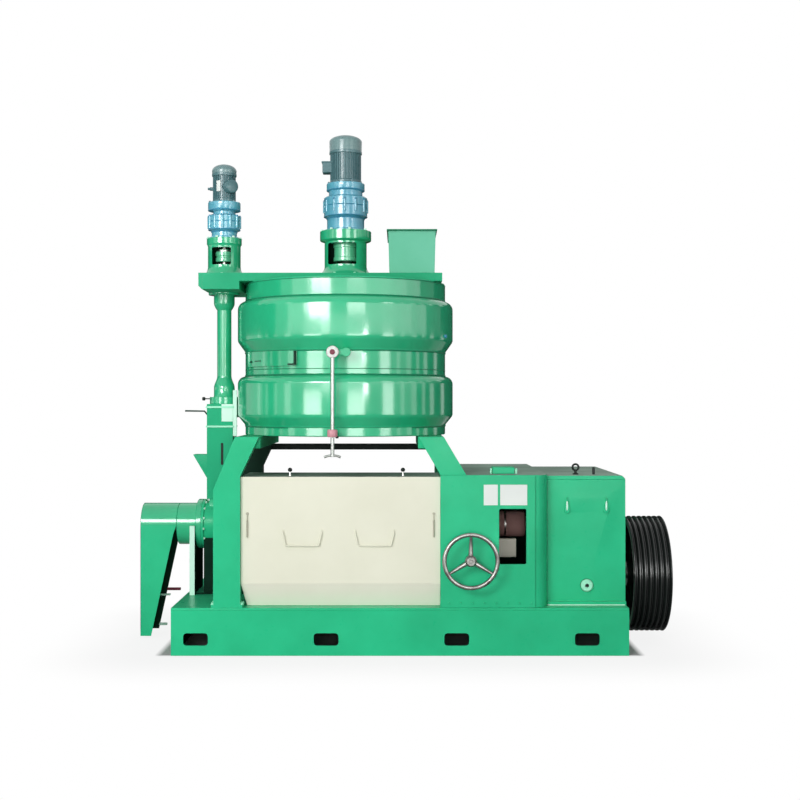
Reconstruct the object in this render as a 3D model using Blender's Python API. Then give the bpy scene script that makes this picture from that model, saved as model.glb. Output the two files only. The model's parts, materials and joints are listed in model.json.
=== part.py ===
"""Screw oil press with a steam kettle on top, built piece by piece.

Metres, +Z up. X runs along the press worm, from the feed end to the pulley, and
+Y points away from the handwheel side. The origin is under the skid's middle beam.
"""
from math import acos, asin, cos, hypot, pi, radians, sin, sqrt, tan

import bmesh
import bpy
from mathutils import Matrix, Vector

# Fits
FIT = 0.0003                    # gap left where two pieces touch
BITE = 0.004                    # how far a welded piece runs into its carrier
TURNED_STEPS = 16               # facets round a small turned piece

# Skid
SKID_LEFT = -1.535
SKID_WIDTH = 1.460
SKID_HEIGHT = 0.320
DECK_THICKNESS = 0.012
RAIL_WEB = 0.016
RAIL_FLANGE = 0.100
RAIL_FLANGE_THICKNESS = 0.014
POCKET_LENGTH = 0.166
POCKET_HEIGHT = 0.084
POCKET_CORNER = 0.020
POCKET_BOTTOM = 0.067
POCKET_FIRST = 0.165            # from the skid's left end to the first pocket's middle
POCKET_LAST = 0.280             # from the last pocket's middle to the skid's right end
POCKET_COUNT = 4
BEAM_WEB = 0.012
BEAM_FLANGE = 0.120
BEAM_LEFT_SPAN = 0.595
BEAM_RIGHT_SPAN = 0.575

# Gear train
GEAR_MODULE = 0.0145
INPUT_TEETH = 10
INTERMEDIATE_TEETH = 30
COUNTER_TEETH = 10
MAIN_TEETH = 35
GEAR_FACE = 0.100
GEAR_SHAFT_RADIUS = 0.040
BEARING_RADIUS = 0.072
BEARING_WIDTH = 0.034
THRUST_BEARING_RADIUS = 0.102
THRUST_BEARING_WIDTH = 0.050
TAIL_BEARING_RADIUS = 0.088
PRESSURE_ANGLE = radians(20.0)
TOOTH_ADDENDUM = 0.8            # in modules: stub teeth
TOOTH_DEDENDUM = 1.05
TOOTH_BACKLASH = 0.10
GEARBOX_FLOOR = 0.020
INPUT_BEARING_CLEARANCE = 0.042  # between the input bearings and the gearbox floor
MAIN_GEAR_CLEARANCE = 0.05465   # between the main gear's teeth and the input shaft
INPUT_AXIS_HEIGHT = SKID_HEIGHT + GEARBOX_FLOOR + INPUT_BEARING_CLEARANCE + BEARING_RADIUS
WORM_AXIS_HEIGHT = (INPUT_AXIS_HEIGHT + GEAR_SHAFT_RADIUS + MAIN_GEAR_CLEARANCE
                    + GEAR_MODULE * (MAIN_TEETH / 2 + TOOTH_ADDENDUM))

# Press line
SHAFT_RADIUS = 0.050
COUPLING_LENGTH = 0.280
COUPLING_RADIUS = 0.092
WORM_RADIUS = 0.144
WORM_CORE_FEED = 0.072
WORM_CORE_PRESS = 0.108
WORM_PITCH = 0.230
WORM_BLADE = 0.022
WORM_LEFT = -1.400
WORM_LENGTH = 1.660
WORM_RIGHT = WORM_LEFT + WORM_LENGTH
COUPLING_LEFT_RUN = 0.360
COUPLING_LEFT = WORM_RIGHT + COUPLING_LEFT_RUN
CAKE_OPENING_LEFT_RUN = 0.240
CAKE_OPENING_LEFT = WORM_RIGHT + CAKE_OPENING_LEFT_RUN
CAKE_OPENING_LENGTH = 0.380
CAKE_OPENING_WIDTH = 0.500
CAGE_LEFT_RUN = 0.345
CAGE_LEFT = WORM_LEFT + CAGE_LEFT_RUN
CAGE_BORE = 0.150
CAGE_WALL = 0.034
CAGE_RIB_RADIUS = 0.228
CAGE_RIB_WIDTH = 0.032
CAGE_RIB_COUNT = 6
CAGE_FLANGE_RADIUS = 0.242
CAGE_JOINT_HALF_GAP = 0.0015
FEED_CHAMBER_LEFT_SETBACK = 0.028
FEED_CHAMBER_LEFT = WORM_LEFT - FEED_CHAMBER_LEFT_SETBACK
FEED_CHAMBER_RADIUS = 0.166
FEED_FLANGE_RADIUS = 0.1785
FEED_FLANGE_WIDTH = 0.037
FEED_NECK_SIZE = 0.190
FEED_NECK_TOP_RISE = 0.186
FEED_NECK_TOP = WORM_AXIS_HEIGHT + FEED_NECK_TOP_RISE
END_HOUSING_LENGTH = 0.175
END_HOUSING_LEFT = FEED_CHAMBER_LEFT - END_HOUSING_LENGTH
SHAFT_LEFT_END_SETBACK = 0.097
SHAFT_LEFT_END = END_HOUSING_LEFT - SHAFT_LEFT_END_SETBACK
END_HOUSING_RADIUS = 0.150
END_BEARING_RADIUS = 0.092
END_BEARING_WIDTH = 0.060
STAND_PLATE = 0.036
STAND_PLATE_HALF_WIDTH = 0.190
STAND_BOX_HALF_WIDTH = 0.140
STAND_BOX_RIGHT = -1.120
STAND_WALL = 0.012

# Kettle frame
LEG_DEPTH = 0.100
FRAME_TOP = 1.465
POST_LEFT = -1.252
POST_WIDTH = 0.181
POST_TOP_LEFT = -1.107
POST_TOP_WIDTH = 0.161
POST_BEND_OUTER = 1.110
POST_BEND_INNER = 1.200
POST_FOOT_MARGIN = 0.015
POST_FOOT_HEIGHT = 0.020
SIDE_BEAM_HEIGHT = 0.080
STRUT_TOP_LEFT = 0.123
STRUT_TOP_WIDTH = 0.171
STRUT_FOOT_LEFT_RUN = 0.012
STRUT_FOOT_LEFT = WORM_RIGHT + STRUT_FOOT_LEFT_RUN
STRUT_FOOT_WIDTH = 0.173
TIE_BAR_BOTTOM_DROP = 0.140
TIE_BAR_BOTTOM = FRAME_TOP - TIE_BAR_BOTTOM_DROP
TIE_BAR_HEIGHT = 0.047
TIE_BAR_DEPTH = 0.040

# Discharge housing, round the choke
HOUSING_LEFT_RUN = 0.011
HOUSING_LEFT = WORM_RIGHT + HOUSING_LEFT_RUN
HOUSING_RIGHT_RUN = 0.729
HOUSING_RIGHT = HOUSING_LEFT + HOUSING_RIGHT_RUN
HOUSING_TOP_RISE = 0.396
HOUSING_TOP = WORM_AXIS_HEIGHT + HOUSING_TOP_RISE
HOUSING_WALL = 0.012
HOUSING_FRONT_RIGHT_SETBACK = 0.095
HOUSING_FRONT_RIGHT = HOUSING_RIGHT - HOUSING_FRONT_RIGHT_SETBACK  # where the front turns into the rounded corner
HOUSING_CORNER_FRONT = -0.595   # where the rounded corner meets the gearbox
HOUSING_ACCESS_MARGIN = 0.060
CAGE_PASSAGE_RADIUS = 0.170
SHAFT_PASSAGE_RADIUS = 0.125
WINDOW_LEFT_RUN = 0.393
WINDOW_LEFT = HOUSING_LEFT + WINDOW_LEFT_RUN
WINDOW_WIDTH = 0.184
WINDOW_BOTTOM_DROP = 0.201
WINDOW_BOTTOM = WORM_AXIS_HEIGHT - WINDOW_BOTTOM_DROP
WINDOW_HEIGHT = 0.370
CAP_LEFT_RUN = 0.359
CAP_LEFT = HOUSING_LEFT + CAP_LEFT_RUN
CAP_LENGTH = 0.150
CAP_FRONT = -0.600
CAP_DEPTH = 0.150
CAP_HEIGHT = 0.044
CAP_WALL = 0.006
CAP_HOLE_MARGIN = 0.020

# Choke
CHOKE_HEAD_LEFT_RUN = 0.050
CHOKE_HEAD_LEFT = WORM_RIGHT + CHOKE_HEAD_LEFT_RUN
CHOKE_HEAD_WIDTH = 0.055
CHOKE_TIP_RADIUS = 0.118
CHOKE_HEAD_RADIUS = 0.145
CHOKE_SLEEVE_RADIUS = 0.100
CHOKE_STAND_LEFT_RUN = 0.210
CHOKE_STAND_LEFT = CHOKE_HEAD_LEFT + CHOKE_STAND_LEFT_RUN
CHOKE_SLEEVE_RIGHT_RUN = 0.050
CHOKE_SLEEVE_RIGHT = CHOKE_STAND_LEFT + CHOKE_SLEEVE_RIGHT_RUN
CHOKE_BORE = 0.060
NUT_WIDTH = 0.100
NUT_TEETH = 20
NUT_MODULE = 0.0138
CHOKE_STAND_THICKNESS = 0.040
CHOKE_STAND_HALF_WIDTH = 0.170
CHOKE_STAND_FOOT = 0.090

# Handwheel
WHEEL_X_SETBACK = 0.051
WHEEL_X = CHOKE_STAND_LEFT - WHEEL_X_SETBACK
WHEEL_Y = -0.850
WHEEL_HEIGHT_DROP = 0.167
WHEEL_HEIGHT = WORM_AXIS_HEIGHT - WHEEL_HEIGHT_DROP
WHEEL_RADIUS = 0.190
WHEEL_RIM_RADIUS = 0.0145
WHEEL_HUB_RADIUS = 0.034
WHEEL_HUB_LENGTH = 0.056
WHEEL_SPOKE_RADIUS = 0.0105
WHEEL_DISH = 0.020
SPINDLE_RADIUS = 0.014
SPINDLE_COLLAR_RADIUS = 0.024
SPINDLE_REAR = 0.130

# Sheet guard at the feed end
HOOD_LEFT_SETBACK = 0.257
HOOD_LEFT = END_HOUSING_LEFT - HOOD_LEFT_SETBACK
HOOD_RADIUS = 0.150
HOOD_SHEET = 0.004
HOOD_BOTTOM = 0.022
HOOD_CHEEK_TOP_RIGHT_SETBACK = 0.009
HOOD_CHEEK_TOP_RIGHT = END_HOUSING_LEFT - HOOD_CHEEK_TOP_RIGHT_SETBACK
HOOD_CHEEK_BOTTOM_RIGHT_SETBACK = 0.181
HOOD_CHEEK_BOTTOM_RIGHT = END_HOUSING_LEFT - HOOD_CHEEK_BOTTOM_RIGHT_SETBACK

# Cage covers
COVER_SHEET = 0.004
COVER_FACE = 0.700              # from the middle plane to the cover's face
COVER_FOOT_FACE = 0.620
COVER_BEND_HEIGHT = 0.480
COVER_TOP_RISE = 0.383
COVER_TOP = WORM_AXIS_HEIGHT + COVER_TOP_RISE
COVER_RETURN = 0.500
REAR_COVER_TOP_RISE = 0.316
REAR_COVER_TOP = WORM_AXIS_HEIGHT + REAR_COVER_TOP_RISE
COVER_CORNER_CUT = 0.036
COVER_PIN_PLACES = (HOUSING_LEFT - 1.019, HOUSING_LEFT - 0.251)
COVER_PIN_HEIGHT = 0.056
COVER_PIN_RADIUS = 0.007
COVER_BALL_RADIUS = 0.015
COVER_HANDLE_LEFTS = (-0.786, -0.300)
COVER_HANDLE_WIDTH = 0.260
COVER_HANDLE_TOP = 0.840
COVER_HANDLE_DROP = 0.106
COVER_HANDLE_RADIUS = 0.007
COVER_LATCH_INSET = 0.044
COVER_LATCH_BOTTOM = 0.822
COVER_LATCH_HEIGHT = 0.174
COVER_LATCH_WIDTH = 0.018

# Gearbox
GEARBOX_RIGHT_RUN = 0.535
GEARBOX_RIGHT = HOUSING_RIGHT + GEARBOX_RIGHT_RUN
GEARBOX_FRONT = -0.590
GEARBOX_REAR = 0.570
GEARBOX_RIM_RISE = 0.356
GEARBOX_RIM = WORM_AXIS_HEIGHT + GEARBOX_RIM_RISE
GEARBOX_END_WALL = 0.050
GEARBOX_SIDE_WALL = 0.020
GEARBOX_FOOT_HEIGHT = 0.025
GEARBOX_FOOT_MARGIN = 0.030
MAIN_GEAR_LEFT_RUN = 0.090
MAIN_GEAR_LEFT = HOUSING_RIGHT + MAIN_GEAR_LEFT_RUN
INTERMEDIATE_LEFT_RUN = 0.300
INTERMEDIATE_LEFT = HOUSING_RIGHT + INTERMEDIATE_LEFT_RUN
LID_THICKNESS = 0.028
LID_CHAMFER = 0.022
LID_EYE_X_RUN = 0.215
LID_EYE_X = HOUSING_RIGHT + LID_EYE_X_RUN
LID_EYE_RADIUS = 0.028
LID_EYE_WIRE = 0.007
LID_EYE_STEM = 0.030
LID_PIN_X_RUN = 0.340
LID_PIN_X = HOUSING_RIGHT + LID_PIN_X_RUN
LID_PIN_HEIGHT = 0.050
LID_FURNITURE_Y = -0.450
BOSS_PLACES = (HOUSING_RIGHT + 0.136, HOUSING_RIGHT + 0.403)
BOSS_TOP_DROP = 0.118
BOSS_TOP = GEARBOX_RIM - BOSS_TOP_DROP
BOSS_LENGTH = 0.110
BOSS_RADIUS = 0.018
BOSS_PROUD = 0.016
PLUG_X_RUN = 0.271
PLUG_X = HOUSING_RIGHT + PLUG_X_RUN
PLUG_HEIGHT = 0.452
PLUG_RADIUS = 0.042
PLUG_STEM = 0.022
PLUG_SOCKET = 0.014
PLUG_PROUD = 0.022

# Belt pulley
PULLEY_LEFT_RUN = 0.097
PULLEY_LEFT = GEARBOX_RIGHT + PULLEY_LEFT_RUN
PULLEY_RADIUS = 0.415
GROOVE_COUNT = 7
GROOVE_PITCH = 0.037
GROOVE_DEPTH = 0.027
GROOVE_TOP = 0.027
PULLEY_EDGE = 0.022             # from the first groove's middle to the rim's edge
PULLEY_RIM = 0.020
PULLEY_WEB = 0.034
PULLEY_HUB_RADIUS = 0.090
PULLEY_STEPS = 24

# Kettle
KETTLE_X = -0.396
LOWER_PAN_HEIGHT = 0.460
KETTLE_SPLIT = FRAME_TOP + LOWER_PAN_HEIGHT
KETTLE_NECK = 0.724
KETTLE_BULGE = 0.779
KETTLE_BORE = 0.690
KETTLE_STEPS = 32
KETTLE_FLOOR = 0.030
LOWER_RING_TOP_RISE = 0.067
LOWER_RING_TOP = FRAME_TOP + LOWER_RING_TOP_RISE
LOWER_BULGE_BOTTOM_RISE = 0.135
LOWER_BULGE_BOTTOM = FRAME_TOP + LOWER_BULGE_BOTTOM_RISE
LOWER_BULGE_TOP_DROP = 0.099
LOWER_BULGE_TOP = KETTLE_SPLIT - LOWER_BULGE_TOP_DROP
LOWER_SHOULDER_TOP_DROP = 0.044
LOWER_SHOULDER_TOP = KETTLE_SPLIT - LOWER_SHOULDER_TOP_DROP
UPPER_CHAMFER_BOTTOM_RISE = 0.130
UPPER_CHAMFER_BOTTOM = KETTLE_SPLIT + UPPER_CHAMFER_BOTTOM_RISE
UPPER_BULGE_BOTTOM_RISE = 0.207
UPPER_BULGE_BOTTOM = KETTLE_SPLIT + UPPER_BULGE_BOTTOM_RISE
UPPER_BULGE_TOP_RISE = 0.436
UPPER_BULGE_TOP = KETTLE_SPLIT + UPPER_BULGE_TOP_RISE
UPPER_SHOULDER_TOP_RISE = 0.491
UPPER_SHOULDER_TOP = KETTLE_SPLIT + UPPER_SHOULDER_TOP_RISE
KETTLE_RIM_RISE = 0.610
KETTLE_RIM = KETTLE_SPLIT + KETTLE_RIM_RISE
PLATFORM_TOP_RISE = 0.070
PLATFORM_TOP = KETTLE_RIM + PLATFORM_TOP_RISE
LID_SHEET = 0.012
SHOULDER_STEPS = 2
DOOR_MIDDLE = radians(44.0)     # round the kettle from the front, to the left
DOOR_SPAN = radians(40.0)
DOOR_BOTTOM_RISE = 0.019
DOOR_BOTTOM = KETTLE_SPLIT + DOOR_BOTTOM_RISE
DOOR_HEIGHT = 0.104
DOOR_THICKNESS = 0.012
DOOR_LAP = 0.020
DOOR_STEPS = 8
DOOR_HINGE_RADIUS = 0.012
OUTLET_BOTTOM_RISE = 0.135
OUTLET_BOTTOM = FRAME_TOP + OUTLET_BOTTOM_RISE
OUTLET_HEIGHT = 0.110
OUTLET_HALF_WIDTH = 0.080
MID_GATE_X = 0.250              # mid-floor opening, from the kettle's axis
MID_GATE_SIZE = 0.200

# Stirrer
STIRRER_RADIUS = 0.032
STIRRER_COUPLING_RADIUS = 0.078
STIRRER_COUPLING_BOTTOM_RISE = 0.117
STIRRER_COUPLING_BOTTOM = PLATFORM_TOP + STIRRER_COUPLING_BOTTOM_RISE
STIRRER_COUPLING_HEIGHT = 0.108
SWEEP_HUB_RADIUS = 0.062
SWEEP_HUB_HEIGHT = 0.100
SWEEP_RADIUS = 0.655
SWEEP_BLADE_HEIGHT = 0.060
SWEEP_BLADE_THICKNESS = 0.022
SWEEP_CLEARANCE = 0.015
SWEEP_STEPS = 6
SWEEP_TRAIL = radians(38.0)

# Gate rod at the front of the kettle
ROD_X = -0.446
ROD_Y = -0.850
ROD_RADIUS = 0.013
ROD_BOTTOM_DROP = 0.128
ROD_BOTTOM = FRAME_TOP - ROD_BOTTOM_DROP
ROD_EYE_HEIGHT_RISE = 0.105
ROD_EYE_HEIGHT = KETTLE_SPLIT + ROD_EYE_HEIGHT_RISE
ROD_EYE_RADIUS = 0.042
ROD_EYE_DEPTH = 0.028
ROD_HANDLE_LENGTH = 0.110
ROD_HANDLE_RADIUS = 0.008
ROD_TRAVEL = 0.050
GUIDE_RADIUS = 0.032
GUIDE_BOTTOM_RISE = 0.003
GUIDE_BOTTOM = FRAME_TOP + GUIDE_BOTTOM_RISE
GUIDE_HEIGHT = 0.050
GUIDE_ARM_WIDTH = 0.040
LEVER_LENGTH = 0.090
LEVER_RADIUS = 0.018
LEVER_THICKNESS = 0.018
LEVER_BOSS_RADIUS = 0.030

# Platform and hopper
PLATFORM_LEFT = -1.413
PLATFORM_RIGHT = 0.296
PLATFORM_HALF_WIDTH = 0.350
PLATFORM_OVERHANG_BOTTOM_DROP = 0.045
PLATFORM_OVERHANG_BOTTOM = KETTLE_RIM - PLATFORM_OVERHANG_BOTTOM_DROP
PLATFORM_CHAMFER = 0.024
HOPPER_LEFT = -0.075
HOPPER_LENGTH = 0.318
HOPPER_HALF_WIDTH = 0.330
HOPPER_TOP_RISE = 0.306
HOPPER_TOP = PLATFORM_TOP + HOPPER_TOP_RISE
HOPPER_SHEET = 0.005
HOPPER_FLARE = 0.008
HOPPER_FLANGE = 0.020
HOPPER_FLANGE_THICKNESS = 0.010
INLET_MARGIN = 0.035

# Feeder
FEEDER_X = -1.280
FEEDER_CASING_LEFT = -1.392
FEEDER_CASING_RIGHT = -1.205
FEEDER_CASING_HALF_WIDTH = 0.100
FEEDER_CASING_TOP_RISE = 0.084
FEEDER_CASING_TOP = OUTLET_BOTTOM + FEEDER_CASING_TOP_RISE
FEEDER_BORE = 0.086
FEEDER_FLANGE_MARGIN = 0.006
FEEDER_FLANGE_THICKNESS = 0.014
FEEDER_BAND_PLACES = (OUTLET_BOTTOM - 0.085, OUTLET_BOTTOM + 0.055)
COLUMN_RADIUS = 0.0515
COLUMN_BORE = 0.036
COLUMN_FLANGE_RADIUS = 0.104
COLUMN_FLARE_RADIUS = 0.075
COLUMN_FLARE_BOTTOM_RISE = 0.116
COLUMN_FLARE_BOTTOM = FEEDER_CASING_TOP + COLUMN_FLARE_BOTTOM_RISE
COLUMN_FLARE_TOP_RISE = 0.204
COLUMN_FLARE_TOP = FEEDER_CASING_TOP + COLUMN_FLARE_TOP_RISE
COLUMN_FLANGE_TOP_RISE = 0.051
COLUMN_FLANGE_TOP = FEEDER_CASING_TOP + COLUMN_FLANGE_TOP_RISE
COLUMN_COVER_RADIUS = 0.113
COLUMN_COVER_HEIGHT = 0.015
COLUMN_COLLAR_RADIUS = 0.075
COLUMN_COLLAR_HEIGHT = 0.060
COLUMN_TAPER_HEIGHT = 0.050
AUGER_SHAFT_RADIUS = 0.022
AUGER_RADIUS = 0.082
AUGER_PITCH = 0.135
AUGER_BLADE = 0.012
AUGER_BOTTOM_RISE = 0.166
AUGER_BOTTOM = WORM_AXIS_HEIGHT + AUGER_BOTTOM_RISE
AUGER_TOP_RISE = 0.040
AUGER_TOP = OUTLET_BOTTOM + AUGER_TOP_RISE
AUGER_COUPLING_RADIUS = 0.055
AUGER_COUPLING_BOTTOM_RISE = 0.115
AUGER_COUPLING_BOTTOM = PLATFORM_TOP + AUGER_COUPLING_BOTTOM_RISE
AUGER_COUPLING_HEIGHT = 0.080
HATCH_BOTTOM_DROP = 0.070
HATCH_BOTTOM = OUTLET_BOTTOM - HATCH_BOTTOM_DROP
HATCH_HEIGHT = 0.120
HATCH_HALF_WIDTH = 0.045
HATCH_LAP = 0.015
HATCH_THICKNESS = 0.008
HATCH_HINGE_RADIUS = 0.007
HATCH_HANDLE_REACH = 0.170
HATCH_HANDLE_RADIUS = 0.006
SPOUT_TOP = 1.318
SPOUT_HEIGHT = 0.186
SPOUT_REACH = 0.106
SPOUT_HALF_WIDTH = 0.060
SPOUT_SHEET = 0.006


class DriveSizes:
    """Heights and radii of one vertical motor and reducer on its windowed stand."""

    def __init__(self, axis_x, foot, wall, flange, ring, body, neck, motor, levels, window):
        self.axis_x = axis_x
        self.foot_radius, self.stand_radius = foot, wall
        self.flange_radius = flange
        self.ring_radius, self.body_radius, self.neck_radius = ring, body, neck
        self.motor_flange, self.motor_radius, self.cowl_radius = motor
        (self.flange_bottom, self.flange_top, self.ring_bottom, self.ring_top, self.neck_top,
         self.motor_bottom, self.cowl_bottom, self.top) = levels
        self.window_bottom, self.window_top, self.window_left, self.window_right = window


# Vertical drives: radii, then heights above the platform's top
KETTLE_DRIVE_FOOT = 0.200
KETTLE_DRIVE_WALL = 0.153
KETTLE_DRIVE_FLANGE = 0.186
KETTLE_DRIVE_RING = 0.157
KETTLE_DRIVE_BODY = 0.135
KETTLE_DRIVE_NECK = 0.122
KETTLE_MOTOR_RADII = (0.138, 0.113, 0.119)
KETTLE_DRIVE_RISES = (0.252, 0.332, 0.442, 0.587, 0.623, 0.680, 0.901, 1.032)
KETTLE_WINDOW_RISES = (0.085, 0.240)
KETTLE_WINDOW_SIDES = (-0.123, 0.083)  # from the drive's axis
FEEDER_DRIVE_FOOT = 0.148
FEEDER_DRIVE_WALL = 0.118
FEEDER_DRIVE_FLANGE = 0.126
FEEDER_DRIVE_RING = 0.115
FEEDER_DRIVE_BODY = 0.091
FEEDER_DRIVE_NECK = 0.080
FEEDER_MOTOR_RADII = (0.117, 0.083, 0.089)
FEEDER_DRIVE_RISES = (0.223, 0.281, 0.347, 0.456, 0.478, 0.544, 0.748, 0.822)
FEEDER_WINDOW_RISES = (0.085, 0.210)
FEEDER_WINDOW_SIDES = (-0.077, 0.062)


def above_platform(rises):
    return tuple(PLATFORM_TOP + rise for rise in rises)


KETTLE_DRIVE = DriveSizes(
    axis_x=KETTLE_X, foot=KETTLE_DRIVE_FOOT, wall=KETTLE_DRIVE_WALL, flange=KETTLE_DRIVE_FLANGE,
    ring=KETTLE_DRIVE_RING, body=KETTLE_DRIVE_BODY, neck=KETTLE_DRIVE_NECK, motor=KETTLE_MOTOR_RADII,
    levels=above_platform(KETTLE_DRIVE_RISES),
    window=(*above_platform(KETTLE_WINDOW_RISES), *KETTLE_WINDOW_SIDES))
FEEDER_DRIVE = DriveSizes(
    axis_x=FEEDER_X, foot=FEEDER_DRIVE_FOOT, wall=FEEDER_DRIVE_WALL, flange=FEEDER_DRIVE_FLANGE,
    ring=FEEDER_DRIVE_RING, body=FEEDER_DRIVE_BODY, neck=FEEDER_DRIVE_NECK, motor=FEEDER_MOTOR_RADII,
    levels=above_platform(FEEDER_DRIVE_RISES),
    window=(*above_platform(FEEDER_WINDOW_RISES), *FEEDER_WINDOW_SIDES))
STAND_SHEET = 0.014
STAND_FOOT_HEIGHT = 0.030
STAND_BEARING_PLATE = 0.014
MOTOR_FIN_COUNT = 12
MOTOR_FIN_DEPTH = 0.009
REDUCER_CHAMFER = 0.014

# Worked-out places
SKID_RIGHT = GEARBOX_RIGHT
POCKET_PITCH = (SKID_RIGHT - SKID_LEFT - POCKET_FIRST - POCKET_LAST) / (POCKET_COUNT - 1)
BEAM_PLACES = (SKID_LEFT + BEAM_LEFT_SPAN, 0.0, SKID_RIGHT - BEAM_RIGHT_SPAN)
HALF_WIDTH = SKID_WIDTH / 2
DECK_BOTTOM = SKID_HEIGHT - DECK_THICKNESS
ON_DECK = SKID_HEIGHT + FIT
POST_RIGHT = POST_LEFT + POST_WIDTH
POST_TOP_RIGHT = POST_TOP_LEFT + POST_TOP_WIDTH
WORM_AXIS = Vector((0.0, 0.0, WORM_AXIS_HEIGHT))
INPUT_AXIS = Vector((0.0, 0.0, INPUT_AXIS_HEIGHT))
KETTLE_AXIS = Vector((KETTLE_X, 0.0, 0.0))
FEEDER_AXIS = Vector((FEEDER_X, 0.0, 0.0))
KETTLE_LID_TOP = KETTLE_RIM + FIT + LID_SHEET
ON_PLATFORM = PLATFORM_TOP + FIT
CAGE_RIGHT = HOUSING_LEFT - FIT
GEARBOX_LEFT = HOUSING_RIGHT + FIT
PULLEY_WIDTH = (GROOVE_COUNT - 1) * GROOVE_PITCH + 2 * PULLEY_EDGE
NUT_RADIUS = NUT_TEETH * NUT_MODULE / 2


def counter_axis():
    """Place of the countershaft, which is in mesh with the input and the worm shaft."""
    first = GEAR_MODULE * (INPUT_TEETH + INTERMEDIATE_TEETH) / 2
    second = GEAR_MODULE * (COUNTER_TEETH + MAIN_TEETH) / 2
    span = WORM_AXIS_HEIGHT - INPUT_AXIS_HEIGHT
    rise = (span ** 2 + first ** 2 - second ** 2) / (2 * span)
    return Vector((0.0, sqrt(first ** 2 - rise ** 2), INPUT_AXIS_HEIGHT + rise))


COUNTER_AXIS = counter_axis()


# Finishes

def finish(name, colour, roughness, metallic=0.0):
    """A Principled material from an sRGB hex colour."""
    def linear(channel):
        value = channel / 255.0
        return value / 12.92 if value <= 0.04045 else ((value + 0.055) / 1.055) ** 2.4
    material = bpy.data.materials.new(name)
    material.use_nodes = True
    shader = material.node_tree.nodes["Principled BSDF"]
    rgb = [linear(int(colour[i:i + 2], 16)) for i in (0, 2, 4)]
    shader.inputs["Base Color"].default_value = (*rgb, 1.0)
    shader.inputs["Roughness"].default_value = roughness
    shader.inputs["Metallic"].default_value = metallic
    material.diffuse_color = (*rgb, 1.0)
    return material


# Modelling helpers: each gives a closed mesh object in world coordinates

def place_on_axis(axis, centre, radius, along, angle):
    """A point at a radius and angle round an X, Y or Z axis through a centre."""
    across, up = radius * cos(angle), radius * sin(angle)
    offset = {"X": (along, across, up), "Y": (across, along, up), "Z": (across, up, along)}[axis]
    return Vector(centre) + Vector(offset)


def solid(name, mesh_builder, material, smooth=True):
    """Turn a finished bmesh into an object with outward faces."""
    bmesh.ops.recalc_face_normals(mesh_builder, faces=mesh_builder.faces)
    mesh = bpy.data.meshes.new(name)
    mesh_builder.to_mesh(mesh)
    mesh_builder.free()
    if smooth:
        mesh.shade_smooth()
        mesh.set_sharp_from_angle(angle=radians(35.0))
    if material is not None:
        mesh.materials.append(material)
    obj = bpy.data.objects.new(name, mesh)
    bpy.context.scene.collection.objects.link(obj)
    return obj


def turned(name, profile, axis, centre, material=None, steps=TURNED_STEPS, start=0.0, sweep=2 * pi,
           closed=True):
    """Turn a profile of (radius, place along the axis) points round the axis.

    A closed profile makes a ring. An open one starts and ends on the axis. A sweep of
    less than a full turn is closed with a flat face at each end.
    """
    mesh_builder = bmesh.new()
    full = abs(sweep - 2 * pi) < 1e-6
    count = steps if full else steps + 1
    poles = {}
    rings = []
    for step in range(count):
        angle = start + sweep * step / steps
        ring = []
        for index, (radius, along) in enumerate(profile):
            if radius < 1e-7:
                if index not in poles:
                    point = place_on_axis(axis, centre, 0.0, along, 0.0)
                    poles[index] = mesh_builder.verts.new(point)
                ring.append(poles[index])
            else:
                ring.append(mesh_builder.verts.new(place_on_axis(axis, centre, radius, along, angle)))
        rings.append(ring)
    edges = len(profile) if closed else len(profile) - 1
    for step in range(steps):
        near, far = rings[step], rings[(step + 1) % count]
        for index in range(edges):
            after = (index + 1) % len(profile)
            corners = []
            for vert in (near[index], near[after], far[after], far[index]):
                if vert not in corners:
                    corners.append(vert)
            if len(corners) > 2:
                mesh_builder.faces.new(corners)
    if not full:
        mesh_builder.faces.new(rings[0])
        mesh_builder.faces.new(list(reversed(rings[-1])))
    return solid(name, mesh_builder, material)


def prism(name, outline, axis, low, high, material=None, smooth=False):
    """Extrude a flat outline along X (outline y,z), Y (outline x,z) or Z (outline x,y)."""
    def corner(pair, along):
        first, second = pair
        return {"X": (along, first, second), "Y": (first, along, second),
                "Z": (first, second, along)}[axis]
    mesh_builder = bmesh.new()
    base = mesh_builder.faces.new([mesh_builder.verts.new(corner(pair, low)) for pair in outline])
    lifted = bmesh.ops.extrude_face_region(mesh_builder, geom=[base])
    moved = [item for item in lifted["geom"] if isinstance(item, bmesh.types.BMVert)]
    shift = {"X": (high - low, 0, 0), "Y": (0, high - low, 0), "Z": (0, 0, high - low)}[axis]
    bmesh.ops.translate(mesh_builder, verts=moved, vec=shift)
    return solid(name, mesh_builder, material, smooth)


def block(name, low, high, material=None):
    """A box between two opposite corners."""
    outline = [(low[0], low[1]), (high[0], low[1]), (high[0], high[1]), (low[0], high[1])]
    return prism(name, outline, "Z", low[2], high[2], material)


def rounded_outline(left, right, bottom, top, radius, steps=2):
    """A rectangle with round corners, as a list of points."""
    corners = ((right - radius, top - radius, 0.0), (left + radius, top - radius, pi / 2),
               (left + radius, bottom + radius, pi), (right - radius, bottom + radius, 3 * pi / 2))
    points = []
    for x, y, turn in corners:
        for step in range(steps + 1):
            angle = turn + pi / 2 * step / steps
            points.append((x + radius * cos(angle), y + radius * sin(angle)))
    return points


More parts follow.
